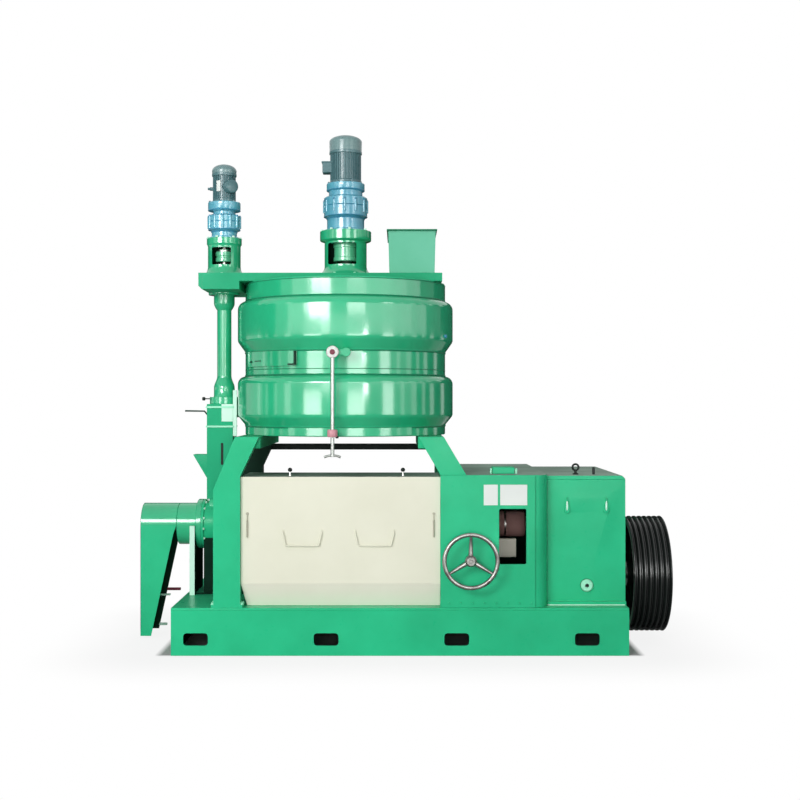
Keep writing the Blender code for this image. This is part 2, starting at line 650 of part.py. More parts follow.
def bent_rod(name, points, radius, material=None, sides=8):
    """A round rod through a few points, with flat ends."""
    curve = bpy.data.curves.new(name, "CURVE")
    curve.dimensions = "3D"
    curve.bevel_depth = radius
    curve.bevel_resolution = (sides - 4) // 2
    curve.use_fill_caps = True
    spline = curve.splines.new("POLY")
    spline.points.add(len(points) - 1)
    for point, place in zip(spline.points, points):
        point.co = (*place, 1.0)
    guide = bpy.data.objects.new(name, curve)
    bpy.context.scene.collection.objects.link(guide)
    evaluated = guide.evaluated_get(bpy.context.evaluated_depsgraph_get())
    mesh_builder = bmesh.new()
    mesh_builder.from_mesh(evaluated.to_mesh())
    bpy.data.objects.remove(guide)
    bmesh.ops.remove_doubles(mesh_builder, verts=mesh_builder.verts, dist=1e-6)
    return solid(name, mesh_builder, material)


def combine(target, operation, *tools):
    """Join the tools to the target, or cut them out of it, and remove them."""
    for tool in tools:
        modifier = target.modifiers.new(operation.title(), "BOOLEAN")
        modifier.operation = operation
        modifier.solver = "EXACT"
        modifier.object = tool
        graph = bpy.context.evaluated_depsgraph_get()
        mesh = bpy.data.meshes.new_from_object(target.evaluated_get(graph))
        target.modifiers.clear()
        target.data = mesh
        bpy.data.objects.remove(tool)
    mesh_builder = bmesh.new()
    mesh_builder.from_mesh(target.data)
    bmesh.ops.remove_doubles(mesh_builder, verts=mesh_builder.verts, dist=1e-6)
    bmesh.ops.dissolve_limit(mesh_builder, angle_limit=radians(0.2), use_dissolve_boundaries=False,
                             verts=mesh_builder.verts, edges=mesh_builder.edges)
    mesh_builder.to_mesh(target.data)
    mesh_builder.free()
    return target


def weld(target, *pieces):
    """Union of the target with each piece."""
    return combine(target, "UNION", *pieces)


def cut(target, *cutters):
    """The target less each cutter."""
    return combine(target, "DIFFERENCE", *cutters)


def hinge_at(obj, point):
    """Move the object's origin to a point on its joint's axis, with the shape left in place."""
    obj.data.transform(Matrix.Translation(-Vector(point)))
    obj.location = point
    return obj


def running(radius, steps=TURNED_STEPS):
    """Bore radius whose flats just clear a shaft of this radius at any turn of the shaft."""
    return (radius + FIT) / cos(pi / steps)


def drum(radius, low, high):
    """Open profile of a plain cylinder for turned()."""
    return [(0.0, low), (radius, low), (radius, high), (0.0, high)]


def ring_profile(inner, outer, low, high):
    """Closed profile of a plain ring for turned()."""
    return [(inner, low), (outer, low), (outer, high), (inner, high)]


def gear_outline(teeth, module, axis, tooth_angle):
    """Points round a spur gear, four to a tooth, with a tooth centred on tooth_angle."""
    pitch = module * teeth / 2
    base = pitch * cos(PRESSURE_ANGLE)
    tip = pitch + TOOTH_ADDENDUM * module
    root = pitch - TOOTH_DEDENDUM * module
    half_pitch = pi / (2 * teeth) * (1 - TOOTH_BACKLASH)

    def involute(angle):
        return tan(angle) - angle

    def half_width(radius):
        rolled = involute(acos(base / max(radius, base)))
        return half_pitch + involute(PRESSURE_ANGLE) - rolled

    points = []
    for tooth in range(teeth):
        middle = tooth_angle + 2 * pi * tooth / teeth
        for radius, side in ((root, -1), (tip, -1), (tip, 1), (root, 1)):
            angle = middle + side * half_width(radius)
            points.append((axis.y + radius * cos(angle), axis.z + radius * sin(angle)))
    return points


def helical_blade(name, axis, centre, inner, outer, low, high, pitch, thickness, steps_per_turn=8):
    """A screw blade of rectangular section, tapered to its tip."""
    turns = (high - low - thickness) / pitch
    steps = max(2, round(turns * steps_per_turn))
    tip = thickness * 0.6
    section = ((inner, 0.0), (outer, (thickness - tip) / 2), (outer, (thickness + tip) / 2),
               (inner, thickness))
    mesh_builder = bmesh.new()
    rings = []
    for step in range(steps + 1):
        angle = 2 * pi * turns * step / steps
        along = low + pitch * turns * step / steps
        rings.append([mesh_builder.verts.new(place_on_axis(axis, centre, radius, along + shift, angle))
                      for radius, shift in section])
    for near, far in zip(rings, rings[1:]):
        for index in range(4):
            after = (index + 1) % 4
            mesh_builder.faces.new((near[index], near[after], far[after], far[index]))
    mesh_builder.faces.new(rings[0])
    mesh_builder.faces.new(list(reversed(rings[-1])))
    return solid(name, mesh_builder, None)


# Skid

def build_skid(paint):
    rail_top = DECK_BOTTOM - FIT
    for name, side in (("skid_front_rail", -1), ("skid_rear_rail", 1)):
        face, web, lip = HALF_WIDTH, HALF_WIDTH - RAIL_WEB, HALF_WIDTH - RAIL_FLANGE
        channel = [(face, 0), (lip, 0), (lip, RAIL_FLANGE_THICKNESS), (web, RAIL_FLANGE_THICKNESS),
                   (web, rail_top - RAIL_FLANGE_THICKNESS), (lip, rail_top - RAIL_FLANGE_THICKNESS),
                   (lip, rail_top), (face, rail_top)]
        outline = [(side * y, z) for y, z in channel]
        rail = prism(name, outline, "X", SKID_LEFT, SKID_RIGHT, paint)
        for count in range(POCKET_COUNT):
            middle = SKID_LEFT + POCKET_FIRST + count * POCKET_PITCH
            pocket = rounded_outline(middle - POCKET_LENGTH / 2, middle + POCKET_LENGTH / 2,
                                     POCKET_BOTTOM, POCKET_BOTTOM + POCKET_HEIGHT, POCKET_CORNER)
            near, far = sorted((side * (face + RAIL_WEB), side * (web - RAIL_WEB / 2)))
            cut(rail, prism("pocket", pocket, "Y", near, far))

    deck = block("skid_deck", (SKID_LEFT, -HALF_WIDTH, DECK_BOTTOM),
                 (SKID_RIGHT, HALF_WIDTH, SKID_HEIGHT), paint)
    reach = HALF_WIDTH - RAIL_FLANGE - FIT
    top = DECK_BOTTOM + BITE
    for place in BEAM_PLACES:
        half_flange, half_web = BEAM_FLANGE / 2, BEAM_WEB / 2
        tee = [(place - half_flange, 0), (place + half_flange, 0),
               (place + half_flange, RAIL_FLANGE_THICKNESS), (place + half_web, RAIL_FLANGE_THICKNESS),
               (place + half_web, top), (place - half_web, top),
               (place - half_web, RAIL_FLANGE_THICKNESS), (place - half_flange, RAIL_FLANGE_THICKNESS)]
        weld(deck, prism("beam", tee, "Y", -reach, reach))
    for left in (SKID_LEFT, SKID_RIGHT - RAIL_WEB):
        right = left + RAIL_WEB
        weld(deck, block("end_plate", (left, -reach, 0), (right, reach, top)))
    right = CAKE_OPENING_LEFT + CAKE_OPENING_LENGTH
    cut(deck, block("cake_opening", (CAKE_OPENING_LEFT, -CAKE_OPENING_WIDTH / 2, DECK_BOTTOM - BITE),
                    (right, CAKE_OPENING_WIDTH / 2, SKID_HEIGHT + BITE)))


# Kettle frame

def build_frame(paint, dark):
    post = [(POST_LEFT, ON_DECK), (POST_RIGHT, ON_DECK), (POST_RIGHT, POST_BEND_INNER),
            (POST_TOP_RIGHT, FRAME_TOP), (POST_TOP_LEFT, FRAME_TOP), (POST_LEFT, POST_BEND_OUTER)]
    foot = HOUSING_TOP + FIT
    strut = [(STRUT_FOOT_LEFT, foot), (STRUT_FOOT_LEFT + STRUT_FOOT_WIDTH, foot),
             (STRUT_TOP_LEFT + STRUT_TOP_WIDTH, FRAME_TOP), (STRUT_TOP_LEFT, FRAME_TOP)]
    inner = HALF_WIDTH - LEG_DEPTH
    beam_bottom = FRAME_TOP - SIDE_BEAM_HEIGHT
    for name, outline, beam_left, beam_width in (
            ("left_frame", post, POST_TOP_LEFT, POST_TOP_WIDTH),
            ("right_frame", strut, STRUT_TOP_LEFT, STRUT_TOP_WIDTH)):
        frame = prism(name, outline, "Y", -HALF_WIDTH, -inner, paint)
        weld(frame, block("side_beam", (beam_left, -inner - BITE, beam_bottom),
                          (beam_left + beam_width, inner + BITE, FRAME_TOP)))
        weld(frame, prism("rear_leg", outline, "Y", inner, HALF_WIDTH))
        if name == "left_frame":
            for low, high in ((-HALF_WIDTH, -inner), (inner, HALF_WIDTH)):
                weld(frame, block("foot", (POST_LEFT - POST_FOOT_MARGIN, low, ON_DECK),
                                  (POST_RIGHT + POST_FOOT_MARGIN, high, ON_DECK + POST_FOOT_HEIGHT)))

    def post_edge(height):
        slope = (POST_TOP_RIGHT - POST_RIGHT) / (FRAME_TOP - POST_BEND_INNER)
        return POST_RIGHT + (height - POST_BEND_INNER) * slope + FIT

    def strut_edge(height):
        slope = (STRUT_TOP_LEFT - STRUT_FOOT_LEFT) / (FRAME_TOP - foot)
        return STRUT_FOOT_LEFT + (height - foot) * slope - FIT

    top = TIE_BAR_BOTTOM + TIE_BAR_HEIGHT
    bar = [(post_edge(TIE_BAR_BOTTOM), TIE_BAR_BOTTOM), (strut_edge(TIE_BAR_BOTTOM), TIE_BAR_BOTTOM),
           (strut_edge(top), top), (post_edge(top), top)]
    middle = HALF_WIDTH - LEG_DEPTH / 2
    prism("rear_tie_bar", bar, "Y", middle - TIE_BAR_DEPTH / 2, middle + TIE_BAR_DEPTH / 2, dark)


# Discharge housing with its window panel and cap

def housing_plan(inset):
    """Outline of the housing seen from above, with its rounded front corner."""
    left, right = HOUSING_LEFT + inset, HOUSING_RIGHT - inset
    front, rear = -HALF_WIDTH + HOUSING_WALL + FIT + inset, HALF_WIDTH - inset
    reach = HOUSING_RIGHT - HOUSING_FRONT_RIGHT
    depth = HOUSING_CORNER_FRONT + HALF_WIDTH - HOUSING_WALL - FIT
    points = [(left, rear), (left, front)]
    for step in range(7):
        angle = pi / 2 * step / 6
        points.append((HOUSING_FRONT_RIGHT + (reach - inset) * sin(angle),
                       HOUSING_CORNER_FRONT - (depth - inset) * cos(angle)))
    points.append((right, rear))
    return points


def build_housing(paint):
    housing = prism("discharge_housing", housing_plan(0.0), "Z", ON_DECK, HOUSING_TOP, paint)
    cut(housing, prism("inside", housing_plan(HOUSING_WALL), "Z", ON_DECK - BITE,
                       HOUSING_TOP - HOUSING_WALL))
    margin = HOUSING_ACCESS_MARGIN
    front = -HALF_WIDTH
    cut(housing,
        block("access", (HOUSING_LEFT + margin, front, ON_DECK + margin),
              (HOUSING_FRONT_RIGHT - margin, front + 3 * HOUSING_WALL, HOUSING_TOP - margin)),
        turned("cage_passage", drum(CAGE_PASSAGE_RADIUS, HOUSING_LEFT - BITE,
                                    HOUSING_LEFT + HOUSING_WALL + BITE), "X", WORM_AXIS),
        turned("shaft_passage", drum(SHAFT_PASSAGE_RADIUS, HOUSING_RIGHT - HOUSING_WALL - BITE,
                                     HOUSING_RIGHT + BITE), "X", WORM_AXIS),
        block("cap_hole", (CAP_LEFT + CAP_HOLE_MARGIN, CAP_FRONT + CAP_HOLE_MARGIN,
                           HOUSING_TOP - 2 * HOUSING_WALL),
              (CAP_LEFT + CAP_LENGTH - CAP_HOLE_MARGIN, CAP_FRONT + CAP_DEPTH - CAP_HOLE_MARGIN,
               HOUSING_TOP + BITE)))

    panel = block("discharge_front_panel", (HOUSING_LEFT, -HALF_WIDTH, ON_DECK),
                  (HOUSING_FRONT_RIGHT, -HALF_WIDTH + HOUSING_WALL, HOUSING_TOP), paint)
    window = rounded_outline(WINDOW_LEFT, WINDOW_LEFT + WINDOW_WIDTH, WINDOW_BOTTOM,
                             WINDOW_BOTTOM + WINDOW_HEIGHT, 0.008, steps=1)
    cut(panel,
        prism("window", window, "Y", -HALF_WIDTH - BITE, -HALF_WIDTH + HOUSING_WALL + BITE),
        turned("spindle_hole", drum(running(SPINDLE_RADIUS), -HALF_WIDTH - BITE,
                                    -HALF_WIDTH + HOUSING_WALL + BITE), "Y",
               (WHEEL_X, 0.0, WHEEL_HEIGHT)))

    base = HOUSING_TOP + FIT
    cap = block("inspection_cap", (CAP_LEFT, CAP_FRONT, base),
                (CAP_LEFT + CAP_LENGTH, CAP_FRONT + CAP_DEPTH, base + CAP_HEIGHT), paint)
    cut(cap, block("cap_inside", (CAP_LEFT + CAP_WALL, CAP_FRONT + CAP_WALL, base - BITE),
                   (CAP_LEFT + CAP_LENGTH - CAP_WALL, CAP_FRONT + CAP_DEPTH - CAP_WALL,
                    base + CAP_HEIGHT - CAP_WALL)))


# Press line

def build_shafts(steel, rough_steel):
    neck = SHAFT_RADIUS
    right_end = GEARBOX_RIGHT - GEARBOX_END_WALL + BEARING_WIDTH
    coupling_right = COUPLING_LEFT + COUPLING_LENGTH
    profile = [(0, SHAFT_LEFT_END), (neck - BITE, SHAFT_LEFT_END), (neck, SHAFT_LEFT_END + BITE),
               (neck, COUPLING_LEFT), (COUPLING_RADIUS, COUPLING_LEFT),
               (COUPLING_RADIUS, coupling_right), (neck, coupling_right), (neck, right_end),
               (0, right_end)]
    shaft = turned("worm_shaft", profile, "X", WORM_AXIS, steel, closed=False)
    hinge_at(shaft, WORM_AXIS)

    bore = SHAFT_RADIUS + FIT
    worm_right = WORM_LEFT + WORM_LENGTH
    core = [(bore, WORM_LEFT), (WORM_CORE_FEED, WORM_LEFT), (WORM_CORE_FEED, CAGE_LEFT),
            (WORM_CORE_PRESS, worm_right), (bore, worm_right)]
    worm = turned("press_worm", core, "X", WORM_AXIS, rough_steel)
    weld(worm, helical_blade("flight", "X", WORM_AXIS, WORM_CORE_FEED - 2 * BITE, WORM_RADIUS,
                             WORM_LEFT + BITE, worm_right - BITE, WORM_PITCH, WORM_BLADE))
    hinge_at(worm, WORM_AXIS)


def build_cage(cast):
    outer = CAGE_BORE + CAGE_WALL
    ribs = []
    span = CAGE_RIGHT - CAGE_LEFT
    spacing = (span - CAGE_RIB_WIDTH) / (CAGE_RIB_COUNT - 1)
    for count in range(CAGE_RIB_COUNT):
        left = CAGE_LEFT + count * spacing
        at_end = count in (0, CAGE_RIB_COUNT - 1)
        radius = CAGE_FLANGE_RADIUS if at_end else CAGE_RIB_RADIUS
        ribs += [(outer, left)] if count else []
        ribs += [(radius, left), (radius, left + CAGE_RIB_WIDTH)]
        ribs += [(outer, left + CAGE_RIB_WIDTH)] if count < CAGE_RIB_COUNT - 1 else []
    profile = [(CAGE_BORE, CAGE_LEFT)] + ribs + [(CAGE_BORE, CAGE_LEFT + span)]
    lean = asin(CAGE_JOINT_HALF_GAP / CAGE_BORE)
    for name, start in (("cage_upper", lean), ("cage_lower", pi + lean)):
        turned(name, profile, "X", WORM_AXIS, cast, steps=8, start=start, sweep=pi - 2 * lean)


def build_feed_end(paint, cast, steel):
    chamber_right = CAGE_LEFT - FIT
    outer, flange = FEED_CHAMBER_RADIUS, FEED_FLANGE_RADIUS
    rim = FEED_CHAMBER_LEFT + 0.02
    profile = [(CAGE_BORE, FEED_CHAMBER_LEFT), (flange, FEED_CHAMBER_LEFT), (flange, rim),
               (outer, rim), (outer, chamber_right), (CAGE_BORE, chamber_right)]
    chamber = turned("feed_chamber", profile, "X", WORM_AXIS, paint)
    half = FEED_NECK_SIZE / 2
    neck_bottom = WORM_AXIS_HEIGHT + CAGE_BORE * 0.75
    weld(chamber, block("neck", (FEEDER_X - half, -half, neck_bottom),
                        (FEEDER_X + half, half, FEED_NECK_TOP)))
    cut(chamber,
        turned("drop", drum(FEEDER_BORE, WORM_AXIS_HEIGHT, FEED_NECK_TOP + BITE), "Z", FEEDER_AXIS),
        turned("bore", drum(CAGE_BORE, FEED_CHAMBER_LEFT - BITE, chamber_right + BITE), "X", WORM_AXIS))

    flange_left = FEED_CHAMBER_LEFT - FEED_FLANGE_WIDTH
    flange_right = FEED_CHAMBER_LEFT - FIT
    seat_right = END_HOUSING_LEFT + 0.015 + END_BEARING_WIDTH
    bore = running(SHAFT_RADIUS)
    pocket = END_BEARING_RADIUS + FIT
    housing_profile = [
        (pocket, END_HOUSING_LEFT), (END_HOUSING_RADIUS, END_HOUSING_LEFT),
        (END_HOUSING_RADIUS, flange_left), (flange, flange_left), (flange, flange_right),
        (bore, flange_right), (bore, seat_right + FIT), (pocket, seat_right + FIT)]
    turned("feed_end_housing", housing_profile, "X", WORM_AXIS, paint)
    turned("feed_end_bearing", ring_profile(bore, END_BEARING_RADIUS, seat_right - END_BEARING_WIDTH,
                                            seat_right), "X", WORM_AXIS, steel)

    plate_right = flange_left - FIT
    plate_left = plate_right - STAND_PLATE
    wide, narrow = STAND_PLATE_HALF_WIDTH, STAND_BOX_HALF_WIDTH
    stand = block("feed_end_stand", (plate_left, -wide, ON_DECK), (plate_right, wide, WORM_AXIS_HEIGHT),
                  paint)
    box_left = rim + FIT
    box_top = WORM_AXIS_HEIGHT - 0.09
    box = block("box", (box_left, -narrow, ON_DECK), (STAND_BOX_RIGHT, narrow, box_top))
    cut(box, block("inside", (box_left + STAND_WALL, -narrow + STAND_WALL, ON_DECK + STAND_WALL),
                   (STAND_BOX_RIGHT - STAND_WALL, narrow - STAND_WALL, box_top + BITE)))
    base = block("base", (plate_left, -narrow, ON_DECK), (STAND_BOX_RIGHT, narrow, ON_DECK + STAND_WALL))
    weld(stand, base, box)
    cut(stand,
        turned("cradle", drum(END_HOUSING_RADIUS + FIT, plate_left - BITE, plate_right + BITE), "X",
               WORM_AXIS, steps=2 * TURNED_STEPS),
        turned("saddle", drum(outer + FIT, box_left - BITE, STAND_BOX_RIGHT + BITE), "X", WORM_AXIS,
               steps=2 * TURNED_STEPS))


def hood_outline(inset):
    """Side view of the hood's cheek, drawn in on its closed sides."""
    top = WORM_AXIS_HEIGHT
    return [(HOOD_LEFT + inset, HOOD_BOTTOM - inset), (HOOD_CHEEK_BOTTOM_RIGHT + inset, HOOD_BOTTOM - inset),
            (HOOD_CHEEK_TOP_RIGHT + inset, top), (HOOD_LEFT + inset, top)]


def build_hood(paint):
    right = END_HOUSING_LEFT - FIT
    hood = prism("hood", hood_outline(0.0), "Y", -HOOD_RADIUS, HOOD_RADIUS, paint)
    arch = turned("arch", drum(HOOD_RADIUS, HOOD_LEFT, right), "X", WORM_AXIS, start=0.0)
    below = block("below", (HOOD_LEFT - BITE, -1, 0), (right + BITE, 1, WORM_AXIS_HEIGHT - BITE))
    weld(hood, cut(arch, below))
    inner = HOOD_RADIUS - HOOD_SHEET
    inside = prism("inside", [(x + 0.0, z) for x, z in hood_outline(HOOD_SHEET)], "Y", -inner, inner)
    hollow = turned("hollow", drum(inner, HOOD_LEFT + HOOD_SHEET, right + 2 * BITE), "X", WORM_AXIS)
    trough = block("trough", (HOOD_CHEEK_TOP_RIGHT - BITE, -inner, WORM_AXIS_HEIGHT - 2 * BITE),
                   (right + 2 * BITE, inner, WORM_AXIS_HEIGHT))
    lower = block("lower", (HOOD_LEFT - BITE, -1, 0), (right + 3 * BITE, 1, WORM_AXIS_HEIGHT - BITE / 2))
    cut(hood, cut(hollow, lower), inside, trough)


# Choke, its nut and stand, and the handwheel

def build_choke(steel, cast):
    head_right = CHOKE_HEAD_LEFT + CHOKE_HEAD_WIDTH
    profile = [(CHOKE_BORE, CHOKE_HEAD_LEFT), (CHOKE_TIP_RADIUS, CHOKE_HEAD_LEFT),
               (CHOKE_HEAD_RADIUS, head_right), (CHOKE_SLEEVE_RADIUS, head_right + 0.012),
               (CHOKE_SLEEVE_RADIUS, CHOKE_SLEEVE_RIGHT), (CHOKE_BORE, CHOKE_SLEEVE_RIGHT)]
    hinge_at(turned("choke_ring", profile, "X", WORM_AXIS, steel), WORM_AXIS)

    nut_right = CHOKE_STAND_LEFT - FIT
    outline = gear_outline(NUT_TEETH, NUT_MODULE, WORM_AXIS, -pi / 2 + pi / NUT_TEETH)
    nut = prism("choke_nut_wheel", outline, "X", nut_right - NUT_WIDTH, nut_right, cast)
    cut(nut, turned("thread_bore", drum(running(CHOKE_SLEEVE_RADIUS), nut_right - NUT_WIDTH - BITE,
                                        nut_right + BITE), "X", WORM_AXIS))
    hinge_at(nut, WORM_AXIS)

    left, right = CHOKE_STAND_LEFT, CHOKE_STAND_LEFT + CHOKE_STAND_THICKNESS
    wide = CHOKE_STAND_HALF_WIDTH
    shoulder = WORM_AXIS_HEIGHT + 0.02
    outline = [(-wide, ON_DECK), (wide, ON_DECK)]
    for step in range(9):
        angle = pi * step / 8
        outline.append((wide * cos(angle), shoulder + (wide - 0.02) * sin(angle)))
    stand = prism("choke_stand", outline, "X", left, right, cast)
    bearing_front = SPINDLE_REAR - 0.050
    weld(stand, block("lug", (WHEEL_X - 0.030, bearing_front, WHEEL_HEIGHT - 0.030),
                      (left + BITE, SPINDLE_REAR, WHEEL_HEIGHT + 0.010)))
    for side in (-1, 1):
        foot_front, foot_rear = sorted((side * wide, side * (CAKE_OPENING_WIDTH / 2 + CHOKE_STAND_FOOT)))
        weld(stand, block("foot", (left, foot_front - BITE, ON_DECK),
                          (right, foot_rear + BITE, ON_DECK + 0.060)))
    cut(stand,
        turned("sleeve_bore", drum(CHOKE_SLEEVE_RADIUS + FIT, left - BITE, right + BITE), "X", WORM_AXIS),
        turned("spindle_bore", drum(running(SPINDLE_RADIUS), bearing_front - BITE, SPINDLE_REAR + BITE),
               "Y", (WHEEL_X, 0.0, WHEEL_HEIGHT)))


def build_handwheel(chrome, steel):
    centre = Vector((WHEEL_X, WHEEL_Y, WHEEL_HEIGHT))
    rim_middle = WHEEL_RADIUS - WHEEL_RIM_RADIUS
    rim = [(rim_middle + WHEEL_RIM_RADIUS * cos(turn), WHEEL_RIM_RADIUS * sin(turn))
           for turn in (2 * pi * step / 6 for step in range(6))]
    wheel = turned("handwheel", rim, "Y", centre, chrome, steps=24)
    hub_front = WHEEL_DISH - WHEEL_HUB_LENGTH / 2
    hub_rear = hub_front + WHEEL_HUB_LENGTH
    hub = turned("hub", [(0, hub_front), (WHEEL_HUB_RADIUS * 0.7, hub_front),
                         (WHEEL_HUB_RADIUS, hub_front + 0.012), (WHEEL_HUB_RADIUS, hub_rear),
                         (0, hub_rear)], "Y", centre, closed=False)
    for spoke in range(3):
        angle = pi / 2 + 2 * pi * spoke / 3
        near = place_on_axis("Y", centre, WHEEL_HUB_RADIUS * 0.5, WHEEL_DISH, angle)
        bend = place_on_axis("Y", centre, rim_middle * 0.55, WHEEL_DISH * 0.8, angle)
        far = place_on_axis("Y", centre, rim_middle, 0.0, angle)
        weld(wheel, bent_rod("spoke", (near, bend, far), WHEEL_SPOKE_RADIUS, sides=6))
    weld(wheel, hub)
    spindle_front = centre.y + hub_front + 0.014
    cut(wheel, turned("keyed_bore", drum(SPINDLE_RADIUS + FIT, spindle_front, centre.y + hub_rear + BITE),
                      "Y", (WHEEL_X, 0.0, WHEEL_HEIGHT)))
    hinge_at(wheel, centre)

    collar_rear = -HALF_WIDTH - FIT
    collar_front = centre.y + hub_rear + FIT
    radius, collar = SPINDLE_RADIUS, SPINDLE_COLLAR_RADIUS
    profile = [(0, spindle_front + FIT), (radius, spindle_front + FIT), (radius, collar_front),
               (collar, collar_front), (collar, collar_rear), (radius, collar_rear),
               (radius, SPINDLE_REAR), (0, SPINDLE_REAR)]
    spindle = turned("handwheel_spindle", profile, "Y", (WHEEL_X, 0.0, WHEEL_HEIGHT), steel,
                     closed=False)
    hinge_at(spindle, centre)


# Cage covers

def build_covers(cream):
    left, right = POST_RIGHT + FIT, HOUSING_LEFT - FIT
    sheet, face, foot = COVER_SHEET, COVER_FACE, COVER_FOOT_FACE
    for name, side, top in (("front_cover", -1, COVER_TOP), ("rear_cover", 1, REAR_COVER_TOP)):
        outer = [(foot, ON_DECK), (face, COVER_BEND_HEIGHT), (face, top)]
        inner = [(face - sheet, top - sheet), (face - sheet, COVER_BEND_HEIGHT),
                 (foot - sheet, ON_DECK)]
        lip = face - (COVER_RETURN if side < 0 else 8 * sheet)
        section = outer + [(lip, top), (lip, top - sheet)] + inner
        cover = prism(name, [(side * y, z) for y, z in section], "X", left, right, cream)
        near, far = sorted((side * (face + BITE), side * (foot - 2 * BITE)))
        corner = [(left - BITE, ON_DECK - BITE), (left + COVER_CORNER_CUT, ON_DECK - BITE),
                  (left, COVER_BEND_HEIGHT), (left - BITE, COVER_BEND_HEIGHT)]
        cut(cover, prism("corner", corner, "Y", near, far))
        for hand_left in COVER_HANDLE_LEFTS:
            hand_right = hand_left + COVER_HANDLE_WIDTH
            low = COVER_HANDLE_TOP - COVER_HANDLE_DROP
            inside, proud = side * (face - sheet / 2), side * (face + 0.030)
            weld(cover, bent_rod("handle", (
                (hand_left, inside, COVER_HANDLE_TOP), (hand_left, proud, COVER_HANDLE_TOP - 0.02),
                (hand_left + 0.03, proud, low), (hand_right - 0.03, proud, low),
                (hand_right, proud, COVER_HANDLE_TOP - 0.02), (hand_right, inside, COVER_HANDLE_TOP)),
                COVER_HANDLE_RADIUS, sides=6))
        if side < 0:
            for place in (left + COVER_LATCH_INSET, right - COVER_LATCH_INSET):
                weld(cover, block("latch", (place - COVER_LATCH_WIDTH / 2, -face - COVER_LATCH_WIDTH,
                                            COVER_LATCH_BOTTOM),
                                  (place + COVER_LATCH_WIDTH / 2, -face + sheet / 2,
                                   COVER_LATCH_BOTTOM + COVER_LATCH_HEIGHT)))
            for place in COVER_PIN_PLACES:
                weld(cover, cover_pin(place))


def cover_pin(place):
    """A lifting pin with a ball head, standing on the front cover's top."""
    base, top = COVER_TOP - COVER_SHEET / 2, COVER_TOP + COVER_PIN_HEIGHT
    profile = [(0, base), (COVER_PIN_RADIUS, base), (COVER_PIN_RADIUS, top - 2 * COVER_BALL_RADIUS),
               (COVER_BALL_RADIUS * 0.8, top - 1.6 * COVER_BALL_RADIUS),
               (COVER_BALL_RADIUS, top - COVER_BALL_RADIUS), (COVER_BALL_RADIUS * 0.7, top), (0, top)]
    return turned("pin", profile, "Z", (place, -COVER_FACE + 0.1, 0.0), steps=6, closed=False)


# Gearbox

def build_gearbox(paint, zinc, steel):
    front, rear = GEARBOX_FRONT, GEARBOX_REAR
    case = block("gearbox_case", (GEARBOX_LEFT, front, ON_DECK), (GEARBOX_RIGHT, rear, GEARBOX_RIM), paint)
    foot_top = ON_DECK + GEARBOX_FOOT_HEIGHT
    weld(case, block("foot", (GEARBOX_LEFT, front - GEARBOX_FOOT_MARGIN, ON_DECK),
                     (GEARBOX_RIGHT, rear + GEARBOX_FOOT_MARGIN, foot_top)))
    for place in BOSS_PLACES:
        weld(case, prism("boss", boss_outline(place), "Y", front - BOSS_PROUD, front + BITE))
    inner_left, inner_right = GEARBOX_LEFT + GEARBOX_END_WALL, GEARBOX_RIGHT - GEARBOX_END_WALL
    cut(case, block("inside", (inner_left, front + GEARBOX_SIDE_WALL, ON_DECK + GEARBOX_FLOOR),
                    (inner_right, rear - GEARBOX_SIDE_WALL, GEARBOX_RIM + BITE)))
    blind_left, blind_right = inner_left - BEARING_WIDTH - FIT, inner_right + BEARING_WIDTH + FIT
    bearing, tail = BEARING_RADIUS + FIT, TAIL_BEARING_RADIUS + FIT
    through_right = GEARBOX_RIGHT + BITE
    for axis, radius, low, high in (
            (INPUT_AXIS, bearing, blind_left, inner_left + BITE),
            (INPUT_AXIS, bearing, inner_right - BITE, through_right),
            (COUNTER_AXIS, bearing, blind_left, inner_left + BITE),
            (COUNTER_AXIS, bearing, inner_right - BITE, blind_right),
            (WORM_AXIS, THRUST_BEARING_RADIUS + FIT, GEARBOX_LEFT - BITE, inner_left + BITE),
            (WORM_AXIS, tail, inner_right - BITE, blind_right)):
        cut(case, turned("bearing_seat", drum(radius, low, high), "X", axis))
    cut(case, turned("drain_hole", drum(PLUG_STEM + FIT, front - BITE, front + 2 * GEARBOX_SIDE_WALL), "Y",
                     (PLUG_X, 0.0, PLUG_HEIGHT)))

    base = GEARBOX_RIM + FIT
    top = base + LID_THICKNESS
    section = [(GEARBOX_LEFT, base), (GEARBOX_RIGHT, base), (GEARBOX_RIGHT, top - LID_CHAMFER),
               (GEARBOX_RIGHT - LID_CHAMFER, top), (GEARBOX_LEFT, top)]
    lid = prism("gearbox_lid", section, "Y", front, rear, paint)
    weld(lid, *lid_furniture(top))

    socket = front - PLUG_PROUD + 0.012
    profile = [(0, socket), (PLUG_SOCKET, socket), (PLUG_SOCKET, front - PLUG_PROUD),
               (PLUG_RADIUS * 0.8, front - PLUG_PROUD), (PLUG_RADIUS, front - PLUG_PROUD * 0.6),
               (PLUG_RADIUS, front - FIT), (PLUG_STEM, front - FIT),
               (PLUG_STEM, front + GEARBOX_SIDE_WALL), (0, front + GEARBOX_SIDE_WALL)]
    turned("gearbox_drain_plug", profile, "Y", (PLUG_X, 0.0, PLUG_HEIGHT), zinc, closed=False)


def boss_outline(place):
    """Teardrop seen from the front: round at the foot, drawn to a point at the top."""
    centre = BOSS_TOP - BOSS_LENGTH + BOSS_RADIUS
    points = [(place, BOSS_TOP)]
    for step in range(7):
        angle = pi * (0.95 + 1.1 * step / 6)
        points.append((place + BOSS_RADIUS * cos(angle), centre + BOSS_RADIUS * sin(angle)))
    return points


